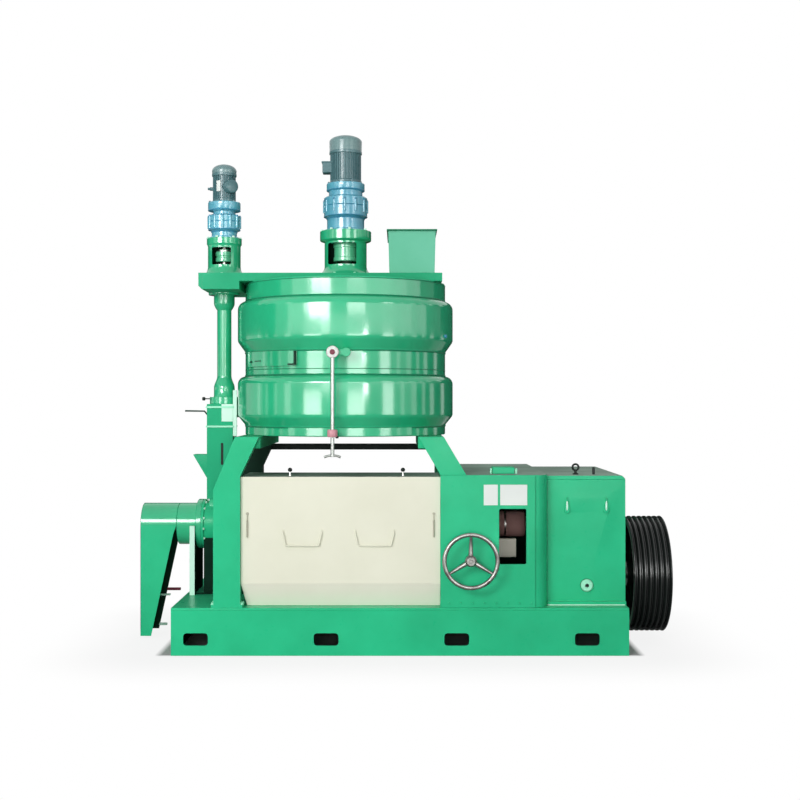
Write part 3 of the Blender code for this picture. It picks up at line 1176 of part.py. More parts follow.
def lid_furniture(top):
    """Eye bolt and oil-level pin, which stand on the lid."""
    stem = turned("stem", drum(LID_EYE_WIRE * 1.3, top - BITE, top + LID_EYE_STEM), "Z",
                  (LID_EYE_X, LID_FURNITURE_Y, 0.0), closed=False, steps=8)
    middle = Vector((LID_EYE_X, LID_FURNITURE_Y, top + LID_EYE_STEM + LID_EYE_RADIUS * 0.7))
    wire = [(LID_EYE_RADIUS - LID_EYE_WIRE + LID_EYE_WIRE * cos(turn), LID_EYE_WIRE * sin(turn))
            for turn in (2 * pi * step / 6 for step in range(6))]
    eye = turned("eye", wire, "Y", middle, steps=14)
    pin = turned("pin", drum(0.009, top - BITE, top + LID_PIN_HEIGHT), "Z",
                 (LID_PIN_X, LID_FURNITURE_Y, 0.0), closed=False, steps=8)
    return stem, eye, pin


def build_gears(steel, cast):
    gap = FIT
    blind_left = GEARBOX_LEFT + GEARBOX_END_WALL - BEARING_WIDTH
    inner_right = GEARBOX_RIGHT - GEARBOX_END_WALL
    shaft = GEAR_SHAFT_RADIUS

    def shaft_profile(low, high):
        return [(0, low), (shaft, low), (shaft, high), (0, high)]

    to_counter = COUNTER_AXIS - INPUT_AXIS
    first = Vector((to_counter.y, to_counter.z))
    toward_counter = pi / 2 - asin(first.x / hypot(*first))
    to_worm = WORM_AXIS - COUNTER_AXIS
    second = Vector((to_worm.y, to_worm.z))
    toward_worm = pi / 2 + asin(-second.x / hypot(*second))

    pulley_end = PULLEY_LEFT + PULLEY_WIDTH - gap
    input_shaft = turned("input_shaft", shaft_profile(blind_left, pulley_end), "X", INPUT_AXIS, steel,
                         closed=False)
    weld(input_shaft, prism("pinion", gear_outline(INPUT_TEETH, GEAR_MODULE, INPUT_AXIS, toward_counter),
                            "X", INTERMEDIATE_LEFT, INTERMEDIATE_LEFT + GEAR_FACE))
    hinge_at(input_shaft, INPUT_AXIS)

    countershaft = turned("countershaft", shaft_profile(blind_left, inner_right + BEARING_WIDTH), "X",
                          COUNTER_AXIS, steel, closed=False)
    weld(countershaft, prism("pinion", gear_outline(COUNTER_TEETH, GEAR_MODULE, COUNTER_AXIS,
                                                    toward_worm),
                             "X", MAIN_GEAR_LEFT, MAIN_GEAR_LEFT + GEAR_FACE))
    hinge_at(countershaft, COUNTER_AXIS)

    for name, teeth, axis, left, bore, mesh_angle in (
            ("intermediate_gear", INTERMEDIATE_TEETH, COUNTER_AXIS, INTERMEDIATE_LEFT, shaft,
             toward_counter + pi),
            ("main_gear", MAIN_TEETH, WORM_AXIS, MAIN_GEAR_LEFT, SHAFT_RADIUS, toward_worm + pi)):
        outline = gear_outline(teeth, GEAR_MODULE, axis, mesh_angle + pi / teeth)
        gear = prism(name, outline, "X", left, left + GEAR_FACE, cast)
        cut(gear, turned("bore", drum(bore + gap, left - BITE, left + GEAR_FACE + BITE), "X", axis))
        hinge_at(gear, axis)

    inner_left = GEARBOX_LEFT + GEARBOX_END_WALL
    for name, axis, inner, outer, low in (
            ("input_bearing_left", INPUT_AXIS, shaft, BEARING_RADIUS, inner_left - BEARING_WIDTH),
            ("input_bearing_right", INPUT_AXIS, shaft, BEARING_RADIUS, inner_right),
            ("counter_bearing_left", COUNTER_AXIS, shaft, BEARING_RADIUS, inner_left - BEARING_WIDTH),
            ("counter_bearing_right", COUNTER_AXIS, shaft, BEARING_RADIUS, inner_right),
            ("worm_bearing_right", WORM_AXIS, SHAFT_RADIUS, TAIL_BEARING_RADIUS, inner_right)):
        turned(name, ring_profile(running(inner), outer, low, low + BEARING_WIDTH), "X", axis, steel)
    turned("worm_bearing_left", ring_profile(running(SHAFT_RADIUS), THRUST_BEARING_RADIUS, GEARBOX_LEFT,
                                             GEARBOX_LEFT + THRUST_BEARING_WIDTH), "X", WORM_AXIS, steel)


def build_pulley(cast):
    left, right = PULLEY_LEFT, PULLEY_LEFT + PULLEY_WIDTH
    rim_inner = PULLEY_RADIUS - GROOVE_DEPTH - PULLEY_RIM
    profile = [(PULLEY_RADIUS, left)]
    for count in range(GROOVE_COUNT):
        middle = left + PULLEY_EDGE + count * GROOVE_PITCH
        profile += [(PULLEY_RADIUS, middle - GROOVE_TOP / 2),
                    (PULLEY_RADIUS - GROOVE_DEPTH, middle),
                    (PULLEY_RADIUS, middle + GROOVE_TOP / 2)]
    web_left = (left + right - PULLEY_WEB) / 2
    web_right = web_left + PULLEY_WEB
    bore = running(GEAR_SHAFT_RADIUS, PULLEY_STEPS)
    profile += [(PULLEY_RADIUS, right), (rim_inner, right), (rim_inner, web_right),
                (PULLEY_HUB_RADIUS, web_right), (PULLEY_HUB_RADIUS, right - 0.020), (bore, right - 0.020),
                (bore, left + 0.010), (PULLEY_HUB_RADIUS, left + 0.010), (PULLEY_HUB_RADIUS, web_left),
                (rim_inner, web_left), (rim_inner, left)]
    hinge_at(turned("pulley", profile, "X", INPUT_AXIS, cast, steps=PULLEY_STEPS), INPUT_AXIS)


# Kettle

def shoulder(low, high, wide, narrow):
    """Quarter-round from the bulge in to the neck, going up."""
    return [(narrow + (wide - narrow) * cos(pi / 2 * step / SHOULDER_STEPS),
             low + (high - low) * sin(pi / 2 * step / SHOULDER_STEPS))
            for step in range(SHOULDER_STEPS + 1)]


def build_kettle(paint):
    base = FRAME_TOP + FIT
    neck, bulge, bore = KETTLE_NECK, KETTLE_BULGE, KETTLE_BORE
    step_hole = running(STIRRER_RADIUS)
    lower_top = KETTLE_SPLIT - FIT
    lower = [(step_hole, base), (neck, base), (neck, LOWER_RING_TOP), (bulge, LOWER_BULGE_BOTTOM)]
    lower += shoulder(LOWER_BULGE_TOP, LOWER_SHOULDER_TOP, bulge, neck)
    lower += [(neck, lower_top), (bore, lower_top), (bore, base + KETTLE_FLOOR),
              (step_hole, base + KETTLE_FLOOR)]
    shell = turned("kettle_lower_shell", lower, "Z", KETTLE_AXIS, paint, steps=KETTLE_STEPS)
    cut(shell, block("outlet", (KETTLE_X - bulge - BITE, -OUTLET_HALF_WIDTH, OUTLET_BOTTOM),
                     (KETTLE_X - bore + 0.03, OUTLET_HALF_WIDTH, OUTLET_BOTTOM + OUTLET_HEIGHT)))
    weld(shell, rod_guide())

    upper = [(step_hole, KETTLE_SPLIT), (neck, KETTLE_SPLIT), (neck, UPPER_CHAMFER_BOTTOM),
             (bulge, UPPER_BULGE_BOTTOM)]
    upper += shoulder(UPPER_BULGE_TOP, UPPER_SHOULDER_TOP, bulge, neck)
    floor_top = KETTLE_SPLIT + KETTLE_FLOOR / 2
    upper += [(neck, KETTLE_RIM), (bore, KETTLE_RIM), (bore, floor_top), (step_hole, floor_top)]
    shell = turned("kettle_upper_shell", upper, "Z", KETTLE_AXIS, paint, steps=KETTLE_STEPS)
    gate = MID_GATE_SIZE / 2
    gate_x = KETTLE_X + MID_GATE_X
    cut(shell,
        block("mid_gate", (gate_x - gate, -gate, KETTLE_SPLIT - BITE), (gate_x + gate, gate, floor_top + BITE)),
        door_sector("door_opening", bore - 0.02, neck + 0.01, DOOR_BOTTOM + DOOR_LAP,
                    DOOR_BOTTOM + DOOR_HEIGHT - DOOR_LAP, DOOR_SPAN - 2 * DOOR_LAP / neck),
        turned("lever_bore", drum(running(LEVER_RADIUS, 12), -neck - 0.02, -bore + 0.02), "Y",
               (lever_x(), 0.0, ROD_EYE_HEIGHT), steps=12))

    lid = turned("kettle_lid", ring_profile(step_hole, neck, KETTLE_RIM + FIT, KETTLE_LID_TOP), "Z",
                 KETTLE_AXIS, paint, steps=KETTLE_STEPS)
    cut(lid, inlet_cutter(KETTLE_RIM - BITE, KETTLE_LID_TOP + BITE))

    seat = (neck + FIT) / cos(DOOR_SPAN / DOOR_STEPS / 2)
    door = door_sector("kettle_door", seat, seat + DOOR_THICKNESS, DOOR_BOTTOM,
                       DOOR_BOTTOM + DOOR_HEIGHT, DOOR_SPAN)
    door.data.materials.append(paint)
    hinge = door_hinge_point()
    weld(door, turned("barrel", drum(DOOR_HINGE_RADIUS, DOOR_BOTTOM, DOOR_BOTTOM + DOOR_HEIGHT), "Z",
                      (hinge.x, hinge.y, 0.0), closed=False, steps=10))
    knob_angle = -pi / 2 - DOOR_MIDDLE + DOOR_SPAN / 2 * 0.75
    knob = place_on_axis("Z", (*KETTLE_AXIS.xy, DOOR_BOTTOM + DOOR_HEIGHT / 2), neck + DOOR_THICKNESS / 2,
                         0.0, knob_angle)
    out = Vector((cos(knob_angle), sin(knob_angle), 0.0))
    weld(door, bent_rod("grip", (knob, knob + out * 0.045), 0.014, sides=8))
    hinge_at(door, hinge)


def door_sector(name, inner, outer, bottom, top, span):
    """A curved plate on the kettle's neck, centred on the door."""
    start = -pi / 2 - DOOR_MIDDLE - span / 2
    return turned(name, ring_profile(inner, outer, bottom, top), "Z", KETTLE_AXIS, steps=DOOR_STEPS,
                  start=start, sweep=span)


def door_hinge_point():
    """The door's hinge axis, along its left edge and just outside the kettle."""
    angle = -pi / 2 - DOOR_MIDDLE - DOOR_SPAN / 2
    radius = KETTLE_NECK + DOOR_HINGE_RADIUS + 2 * FIT
    return Vector((KETTLE_X + radius * cos(angle), radius * sin(angle), 0.0))


def lever_x():
    return ROD_X + LEVER_LENGTH


def inlet_cutter(low, high):
    """The feed inlet through the lid and the platform, inside the hopper's foot."""
    margin = INLET_MARGIN
    return block("inlet", (HOPPER_LEFT + margin, -HOPPER_HALF_WIDTH + margin, low),
                 (HOPPER_LEFT + HOPPER_LENGTH - margin, HOPPER_HALF_WIDTH - margin, high))


def rod_guide():
    """Bracket on the bottom ring with the eye that guides the gate rod."""
    top = GUIDE_BOTTOM + GUIDE_HEIGHT
    eye = turned("guide", drum(GUIDE_RADIUS, GUIDE_BOTTOM, top), "Z", (ROD_X, ROD_Y, 0.0), closed=False,
                 steps=12)
    arm = block("arm", (ROD_X - GUIDE_ARM_WIDTH / 2, ROD_Y, GUIDE_BOTTOM + 0.01),
                (ROD_X + GUIDE_ARM_WIDTH / 2, -KETTLE_NECK + 0.012, top - 0.01))
    weld(eye, arm)
    return cut(eye, turned("bore", drum(ROD_RADIUS + FIT, GUIDE_BOTTOM - BITE, top + BITE), "Z",
                           (ROD_X, ROD_Y, 0.0), steps=12))


def build_gate_rod(chrome, paint):
    axis = (ROD_X, ROD_Y, 0.0)
    top = ROD_EYE_HEIGHT - ROD_EYE_RADIUS * 0.6
    rod = turned("gate_rod", drum(ROD_RADIUS, ROD_BOTTOM, top), "Z", axis, chrome, steps=12, closed=False)
    half = ROD_HANDLE_LENGTH / 2
    weld(rod,
         bent_rod("handle", ((ROD_X - half, ROD_Y, ROD_BOTTOM + 0.008),
                             (ROD_X + half, ROD_Y, ROD_BOTTOM + 0.008)), ROD_HANDLE_RADIUS),
         turned("eye", drum(ROD_EYE_RADIUS, ROD_Y - ROD_EYE_DEPTH / 2, ROD_Y + ROD_EYE_DEPTH / 2), "Y",
                (ROD_X, 0.0, ROD_EYE_HEIGHT), closed=False, steps=14))
    hinge_at(rod, axis)

    arm_front = ROD_Y + ROD_EYE_DEPTH / 2 + FIT
    arm_rear = arm_front + LEVER_THICKNESS
    shaft = lever_x()
    lever = block("gate_lever", (ROD_X, arm_front, ROD_EYE_HEIGHT - LEVER_RADIUS),
                  (shaft, arm_rear, ROD_EYE_HEIGHT + LEVER_RADIUS), paint)
    pivot = (shaft, 0.0, ROD_EYE_HEIGHT)
    weld(lever,
         turned("end_boss", drum(LEVER_BOSS_RADIUS, arm_front, arm_rear), "Y",
                (ROD_X, 0.0, ROD_EYE_HEIGHT), closed=False, steps=12),
         turned("boss", drum(LEVER_BOSS_RADIUS, arm_front, -KETTLE_NECK - 0.010), "Y", pivot,
                closed=False, steps=12),
         turned("gate_shaft", drum(LEVER_RADIUS, arm_front + BITE, -KETTLE_BORE), "Y", pivot,
                closed=False, steps=12))
    hinge_at(lever, (shaft, ROD_Y, ROD_EYE_HEIGHT))


def build_stirrer(steel, rough_steel):
    base = FRAME_TOP + FIT
    top = KETTLE_DRIVE.flange_top - FIT
    radius, coupling = STIRRER_RADIUS, STIRRER_COUPLING_RADIUS
    low, high = STIRRER_COUPLING_BOTTOM, STIRRER_COUPLING_BOTTOM + STIRRER_COUPLING_HEIGHT
    profile = [(0, base), (radius, base), (radius, low - 0.02), (coupling * 0.6, low), (coupling, low),
               (coupling, high), (radius, high), (radius, top), (0, top)]
    hinge_at(turned("stirrer_shaft", profile, "Z", KETTLE_AXIS, steel, closed=False), KETTLE_AXIS)
    for name, floor in (("lower_sweep", base + KETTLE_FLOOR),
                        ("upper_sweep", KETTLE_SPLIT + KETTLE_FLOOR / 2)):
        low = floor + SWEEP_CLEARANCE
        sweep = turned(name, ring_profile(radius + FIT, SWEEP_HUB_RADIUS, floor + FIT,
                                          floor + SWEEP_HUB_HEIGHT), "Z", KETTLE_AXIS, rough_steel)
        for turn in (0.0, pi):
            blade = prism("blade", sweep_outline(turn), "Z", low, low + SWEEP_BLADE_HEIGHT)
            weld(sweep, blade)
        hinge_at(sweep, KETTLE_AXIS)


def sweep_outline(turn):
    """Plan of one trailing stirrer arm, thinner toward its tip."""
    sides = ([], [])
    for step in range(SWEEP_STEPS + 1):
        share = step / SWEEP_STEPS
        reach = SWEEP_HUB_RADIUS * 0.8 + (SWEEP_RADIUS - SWEEP_HUB_RADIUS * 0.8) * share
        angle = turn - SWEEP_TRAIL * share ** 2
        half = SWEEP_BLADE_THICKNESS * (1.0 - 0.4 * share)
        middle = Vector((KETTLE_X + reach * cos(angle), reach * sin(angle)))
        across = Vector((-sin(angle), cos(angle)))
        sides[0].append(tuple(middle + across * half))
        sides[1].append(tuple(middle - across * half))
    return sides[0] + list(reversed(sides[1]))


# Platform and hopper

def build_platform(paint, pale):
    over = KETTLE_LID_TOP + FIT
    edge = KETTLE_X - KETTLE_NECK - 0.006
    section = [(PLATFORM_LEFT, PLATFORM_TOP), (PLATFORM_LEFT, PLATFORM_OVERHANG_BOTTOM + PLATFORM_CHAMFER),
               (PLATFORM_LEFT + PLATFORM_CHAMFER, PLATFORM_OVERHANG_BOTTOM),
               (edge, PLATFORM_OVERHANG_BOTTOM), (edge, over), (PLATFORM_RIGHT, over),
               (PLATFORM_RIGHT, PLATFORM_TOP)]
    platform = prism("platform", section, "Y", -PLATFORM_HALF_WIDTH, PLATFORM_HALF_WIDTH, paint)
    top = PLATFORM_TOP + BITE
    cut(platform,
        turned("kettle_bore", drum(running(STIRRER_RADIUS), over - BITE, top), "Z", KETTLE_AXIS),
        turned("feeder_bore", drum(running(AUGER_SHAFT_RADIUS), PLATFORM_OVERHANG_BOTTOM - BITE, top), "Z",
               FEEDER_AXIS),
        inlet_cutter(over - BITE, top))

    wall, flange = HOPPER_SHEET, HOPPER_FLANGE
    left, right = HOPPER_LEFT, HOPPER_LEFT + HOPPER_LENGTH
    hopper = hopper_tube("hopper", left, right, HOPPER_HALF_WIDTH, 0.0, pale)
    top = HOPPER_TOP
    weld(hopper, block("flange", (left - HOPPER_FLARE - flange / 2, -HOPPER_HALF_WIDTH - flange,
                                  top - HOPPER_FLANGE_THICKNESS),
                       (right + HOPPER_FLARE + flange / 2, HOPPER_HALF_WIDTH + flange, top)))
    cut(hopper, hopper_tube("inside", left + wall, right - wall, HOPPER_HALF_WIDTH - wall, BITE, None))


def hopper_tube(name, left, right, half_width, extra, material):
    """Square funnel, a little wider at the top; extra runs it past both ends."""
    low, high = ON_PLATFORM - extra, HOPPER_TOP + extra
    mesh_builder = bmesh.new()
    flare = HOPPER_FLARE
    base = [mesh_builder.verts.new((x, y, low)) for x, y in
            ((left, -half_width), (right, -half_width), (right, half_width), (left, half_width))]
    mouth = [mesh_builder.verts.new((x, y, high)) for x, y in
             ((left - flare, -half_width), (right + flare, -half_width), (right + flare, half_width),
              (left - flare, half_width))]
    mesh_builder.faces.new(base)
    mesh_builder.faces.new(mouth)
    for index in range(4):
        after = (index + 1) % 4
        mesh_builder.faces.new((base[index], base[after], mouth[after], mouth[index]))
    return solid(name, mesh_builder, material, smooth=False)


# Vertical drives

def build_drive(prefix, sizes, paint, blue, grey):
    axis = (sizes.axis_x, 0.0, 0.0)
    shaft = running(STIRRER_RADIUS if prefix == "kettle" else AUGER_SHAFT_RADIUS)
    inner = sizes.stand_radius - STAND_SHEET
    foot_top = ON_PLATFORM + STAND_FOOT_HEIGHT
    profile = [(inner, ON_PLATFORM), (sizes.foot_radius, ON_PLATFORM), (sizes.foot_radius, foot_top),
               (sizes.stand_radius, foot_top + 0.012), (sizes.stand_radius, sizes.flange_bottom),
               (sizes.flange_radius, sizes.flange_bottom + 0.012),
               (sizes.flange_radius, sizes.flange_top), (shaft, sizes.flange_top),
               (shaft, sizes.flange_top - STAND_BEARING_PLATE),
               (inner, sizes.flange_top - STAND_BEARING_PLATE)]
    stand = turned(prefix + "_drive_stand", profile, "Z", axis, paint)
    cut(stand, block("window", (sizes.axis_x + sizes.window_left, -1, sizes.window_bottom),
                     (sizes.axis_x + sizes.window_right, 1, sizes.window_top)))

    base = sizes.flange_top + FIT
    seam = (sizes.ring_bottom + sizes.ring_top) / 2
    profile = [(0, base), (sizes.body_radius * 1.18, base), (sizes.body_radius, base + REDUCER_CHAMFER),
               (sizes.body_radius, sizes.ring_bottom - REDUCER_CHAMFER),
               (sizes.ring_radius, sizes.ring_bottom), (sizes.ring_radius, seam - 0.004),
               (sizes.ring_radius - 0.008, seam), (sizes.ring_radius, seam + 0.004),
               (sizes.ring_radius, sizes.ring_top - REDUCER_CHAMFER),
               (sizes.neck_radius, sizes.ring_top), (sizes.neck_radius, sizes.neck_top),
               (sizes.motor_flange, sizes.neck_top + 0.006), (sizes.motor_flange, sizes.motor_bottom - FIT),
               (0, sizes.motor_bottom - FIT)]
    turned(prefix + "_reducer", profile, "Z", axis, blue, closed=False)

    fins = motor_outline(sizes)
    motor = prism(prefix + "_motor", fins, "Z", sizes.motor_bottom, sizes.cowl_bottom, grey)
    crown = sizes.cowl_radius
    low, high = sizes.cowl_bottom - BITE, sizes.top
    weld(motor,
         turned("cowl", [(0, low), (crown, low), (crown, high - 0.016), (crown - 0.020, high), (0, high)],
                "Z", axis, closed=False),
         terminal_box(prefix, sizes))


def motor_outline(sizes):
    """Plan of the finned motor frame, one square fin after another."""
    points = []
    root, tip = sizes.motor_radius - MOTOR_FIN_DEPTH, sizes.motor_radius
    for fin in range(MOTOR_FIN_COUNT):
        for share, radius in ((-0.18, root), (-0.14, tip), (0.14, tip), (0.18, root)):
            angle = 2 * pi * (fin + share) / MOTOR_FIN_COUNT
            points.append((sizes.axis_x + radius * cos(angle), radius * sin(angle)))
    return points


def terminal_box(prefix, sizes):
    """Square box on the kettle motor's left, round box on the feeder motor's front right."""
    middle = (sizes.motor_bottom + sizes.cowl_bottom) / 2
    if prefix == "kettle":
        reach = sizes.motor_radius + 0.062
        return block("terminals", (sizes.axis_x - reach, -0.055, middle - 0.010),
                     (sizes.axis_x - sizes.motor_radius + 0.03, 0.055, middle + 0.088))
    angle = radians(-52.0)
    box = turned("terminals", [(0, 0.05), (0.050, 0.05), (0.050, sizes.motor_radius + 0.030),
                               (0.038, sizes.motor_radius + 0.038), (0, sizes.motor_radius + 0.038)],
                 "X", (0, 0, 0), closed=False)
    box.data.transform(Matrix.Translation((sizes.axis_x, 0, middle)) @ Matrix.Rotation(angle, 4, "Z"))
    return box


# Feeder

def build_feeder(paint, steel, rough_steel):
    left, right, half = FEEDER_CASING_LEFT, FEEDER_CASING_RIGHT, FEEDER_CASING_HALF_WIDTH
    base = FEED_NECK_TOP + FIT
    casing = block("feeder_casing", (left, -half, base), (right, half, FEEDER_CASING_TOP), paint)
    margin = FEEDER_FLANGE_MARGIN
    for place in FEEDER_BAND_PLACES:
        weld(casing, block("band", (left - margin, -half - margin, place),
                           (right + margin, half + margin, place + FEEDER_FLANGE_THICKNESS)))
    duct_right = KETTLE_X - KETTLE_BULGE - 2 * FIT
    duct_half = OUTLET_HALF_WIDTH + 0.012
    duct_top = OUTLET_BOTTOM + OUTLET_HEIGHT
    weld(casing,
         block("duct", (right - BITE, -duct_half, OUTLET_BOTTOM - 0.012),
               (duct_right, duct_half, FEEDER_CASING_TOP)),
         spout(left))
    hatch_top = HATCH_BOTTOM + HATCH_HEIGHT
    hatch = HATCH_HALF_WIDTH
    lap = HATCH_LAP
    cut(casing,
        turned("bore", drum(FEEDER_BORE, base - BITE, FEEDER_CASING_TOP + BITE), "Z", FEEDER_AXIS),
        block("duct_way", (FEEDER_X, -OUTLET_HALF_WIDTH * 0.9, OUTLET_BOTTOM),
              (duct_right + BITE, OUTLET_HALF_WIDTH * 0.9, min(duct_top, FEEDER_CASING_TOP) - 0.010)),
        block("hatch_way", (left - BITE, -hatch + lap, HATCH_BOTTOM + lap),
              (FEEDER_X, hatch - lap, hatch_top - lap)))

    column_base = FEEDER_CASING_TOP + FIT
    tube, flange = COLUMN_RADIUS, COLUMN_FLANGE_RADIUS
    cover_top = PLATFORM_OVERHANG_BOTTOM - FIT
    cover_bottom = cover_top - COLUMN_COVER_HEIGHT
    collar_bottom = cover_bottom - COLUMN_COLLAR_HEIGHT
    collar = COLUMN_COLLAR_RADIUS
    shaft_hole = running(AUGER_SHAFT_RADIUS)
    profile = [(COLUMN_BORE, column_base), (flange, column_base), (flange, COLUMN_FLANGE_TOP),
               (COLUMN_FLARE_RADIUS, COLUMN_FLANGE_TOP), (COLUMN_FLARE_RADIUS, COLUMN_FLARE_BOTTOM),
               (tube, COLUMN_FLARE_TOP), (tube, collar_bottom - COLUMN_TAPER_HEIGHT), (collar, collar_bottom),
               (collar, cover_bottom), (COLUMN_COVER_RADIUS, cover_bottom), (COLUMN_COVER_RADIUS, cover_top),
               (shaft_hole, cover_top), (shaft_hole, collar_bottom), (COLUMN_BORE, collar_bottom - 0.02)]
    turned("feeder_column", profile, "Z", FEEDER_AXIS, paint)

    low, high = AUGER_COUPLING_BOTTOM, AUGER_COUPLING_BOTTOM + AUGER_COUPLING_HEIGHT
    radius, coupling = AUGER_SHAFT_RADIUS, AUGER_COUPLING_RADIUS
    top = FEEDER_DRIVE.flange_top - FIT
    profile = [(0, AUGER_BOTTOM), (radius, AUGER_BOTTOM), (radius, low), (coupling, low), (coupling, high),
               (radius, high), (radius, top), (0, top)]
    auger = turned("feeder_auger", profile, "Z", FEEDER_AXIS, steel, closed=False)
    weld(auger, helical_blade("flight", "Z", FEEDER_AXIS, radius * 0.7, AUGER_RADIUS, AUGER_BOTTOM + BITE,
                              AUGER_TOP, AUGER_PITCH, AUGER_BLADE))
    hinge_at(auger, FEEDER_AXIS)

    face = left - FIT
    hinge = Vector((face - HATCH_HINGE_RADIUS, hatch, 0.0))
    door = block("feeder_door", (face - HATCH_THICKNESS, -hatch, HATCH_BOTTOM), (face, hatch, hatch_top), paint)
    grip = HATCH_BOTTOM + HATCH_HEIGHT * 0.6
    weld(door,
         turned("barrel", drum(HATCH_HINGE_RADIUS, HATCH_BOTTOM, hatch_top), "Z", (hinge.x, hinge.y, 0.0),
                closed=False, steps=8),
         bent_rod("handle", ((face - HATCH_THICKNESS / 2, -hatch * 0.4, grip),
                             (face - 0.030, -hatch * 0.4, grip + 0.030),
                             (face - HATCH_HANDLE_REACH, -hatch * 0.4, grip + 0.032)),
                  HATCH_HANDLE_RADIUS))
    hinge_at(door, hinge)


def spout(left):
    """Overflow spout on the casing's left: a wedge of sheet, open at the top."""
    low, reach, half = SPOUT_TOP - SPOUT_HEIGHT, SPOUT_REACH, SPOUT_HALF_WIDTH
    wedge = prism("spout", [(left + BITE, SPOUT_TOP), (left - reach, SPOUT_TOP), (left + BITE, low)], "Y",
                  -half, half)
    wall = SPOUT_SHEET
    hollow = prism("hollow", [(left - wall, SPOUT_TOP + BITE), (left - reach + 2 * wall, SPOUT_TOP + BITE),
                              (left - wall, low + 4 * wall)], "Y", -half + wall, half - wall)
    return cut(wedge, hollow)


def main():
    for obj in list(bpy.data.objects):
        bpy.data.objects.remove(obj)
    green = finish("green_enamel", "2DBE89", 0.30)
    pale_green = finish("pale_green_enamel", "6CCBAA", 0.35)
    cream = finish("cream_enamel", "E4E5CF", 0.45)
    dark = finish("dark_enamel", "15191A", 0.50)
    steel = finish("machined_steel", "B9BDC0", 0.30, 1.0)
    rough_steel = finish("worn_steel", "6E6460", 0.50, 1.0)
    cast = finish("cast_iron", "4A4C4E", 0.55, 0.8)
    black_iron = finish("blacked_iron", "1B1D1F", 0.40, 0.6)
    chrome = finish("bright_steel", "D5D8DA", 0.18, 1.0)
    blue = finish("blue_enamel", "7EC3DB", 0.40)
    grey = finish("grey_enamel", "6F8C8C", 0.45)

    build_skid(green)
    build_frame(green, dark)
    build_housing(green)
    build_shafts(steel, rough_steel)
    build_cage(cast)
    build_feed_end(green, cast, steel)
    build_hood(green)
    build_choke(steel, cast)
    build_handwheel(chrome, steel)
    build_covers(cream)
    build_gearbox(green, chrome, steel)
    build_gears(steel, cast)
    build_pulley(black_iron)
    build_kettle(green)
    build_gate_rod(chrome, green)
    build_stirrer(steel, rough_steel)
    build_platform(green, pale_green)
    build_drive("kettle", KETTLE_DRIVE, green, blue, grey)
    build_drive("feeder", FEEDER_DRIVE, green, blue, grey)
    build_feeder(green, steel, rough_steel)


main()
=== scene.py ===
"""Looks of a screw oil press with a cooking kettle on top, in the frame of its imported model.

Metres, +Z up. X runs along the worm towards the pulley, +Y away from the handwheel's side.
"""
import json
import logging
from dataclasses import dataclass
from enum import Enum
from math import cos, pi, radians, sin
from typing import Callable, Sequence, Union

import bmesh
import bpy
import numpy as np
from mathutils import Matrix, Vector


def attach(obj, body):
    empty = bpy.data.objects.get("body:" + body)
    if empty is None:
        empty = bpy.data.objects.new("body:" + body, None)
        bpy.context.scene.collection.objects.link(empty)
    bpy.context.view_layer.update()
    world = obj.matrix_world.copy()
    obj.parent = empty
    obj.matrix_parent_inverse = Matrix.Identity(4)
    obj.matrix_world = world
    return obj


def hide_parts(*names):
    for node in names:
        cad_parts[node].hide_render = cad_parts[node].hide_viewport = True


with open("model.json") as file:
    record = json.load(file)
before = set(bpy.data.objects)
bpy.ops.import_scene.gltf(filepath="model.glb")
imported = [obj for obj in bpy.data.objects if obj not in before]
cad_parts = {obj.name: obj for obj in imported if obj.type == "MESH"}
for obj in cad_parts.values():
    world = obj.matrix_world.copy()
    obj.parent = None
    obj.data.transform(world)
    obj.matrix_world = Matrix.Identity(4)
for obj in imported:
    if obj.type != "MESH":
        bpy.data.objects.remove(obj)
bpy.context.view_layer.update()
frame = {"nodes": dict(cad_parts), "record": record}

log = logging.getLogger("oil_press")
logging.basicConfig(level=logging.INFO, format="%(name)s: %(message)s")

Array = np.ndarray
Point = tuple[float, float, float]
Pairs = Sequence[tuple[float, float]]
Value = Union[float, str, bool, tuple, bpy.types.NodeSocket]
Inputs = dict[Union[str, int], Value]

NODES: dict[str, bpy.types.Object] = frame["nodes"]
BODY_OF = {node: body for body, nodes in frame["record"]["behaviour"]["bodies"].items() for node in nodes}
SLOT_OF = {part["node"]: part["material_slot"] for part in frame["record"]["subparts"]}

# Places shared by several sub-assemblies, as the solids have them
WORM_Z = 0.814
INPUT_Z = 0.454
KETTLE_X = -0.396
FEEDER_X = -1.280
DECK_Z = 0.320
PLATFORM_TOP = 2.605
KETTLE_SHAFT = 0.0326
FEEDER_SHAFT = 0.0224
FIT = 0.0003


class Axis(Enum):
    """The direction a piece is turned about or drawn along."""

    X = "x"
    Y = "y"
    Z = "z"


def place(axis: Axis, across: Array, up: Array, along: Array) -> Array:
    """Lays three coordinates out round an axis.

    Args:
        axis: the direction of `along`.
        across: first coordinate square to the axis.
        up: second coordinate square to the axis.
        along: coordinate on the axis.

    Returns:
        An array of points, with x, y and z last.
    """
    across, up, along = np.broadcast_arrays(across, up, along)
    order = {Axis.X: (along, across, up), Axis.Y: (across, along, up), Axis.Z: (across, up, along)}
    return np.stack(order[axis], axis=-1).astype(float)


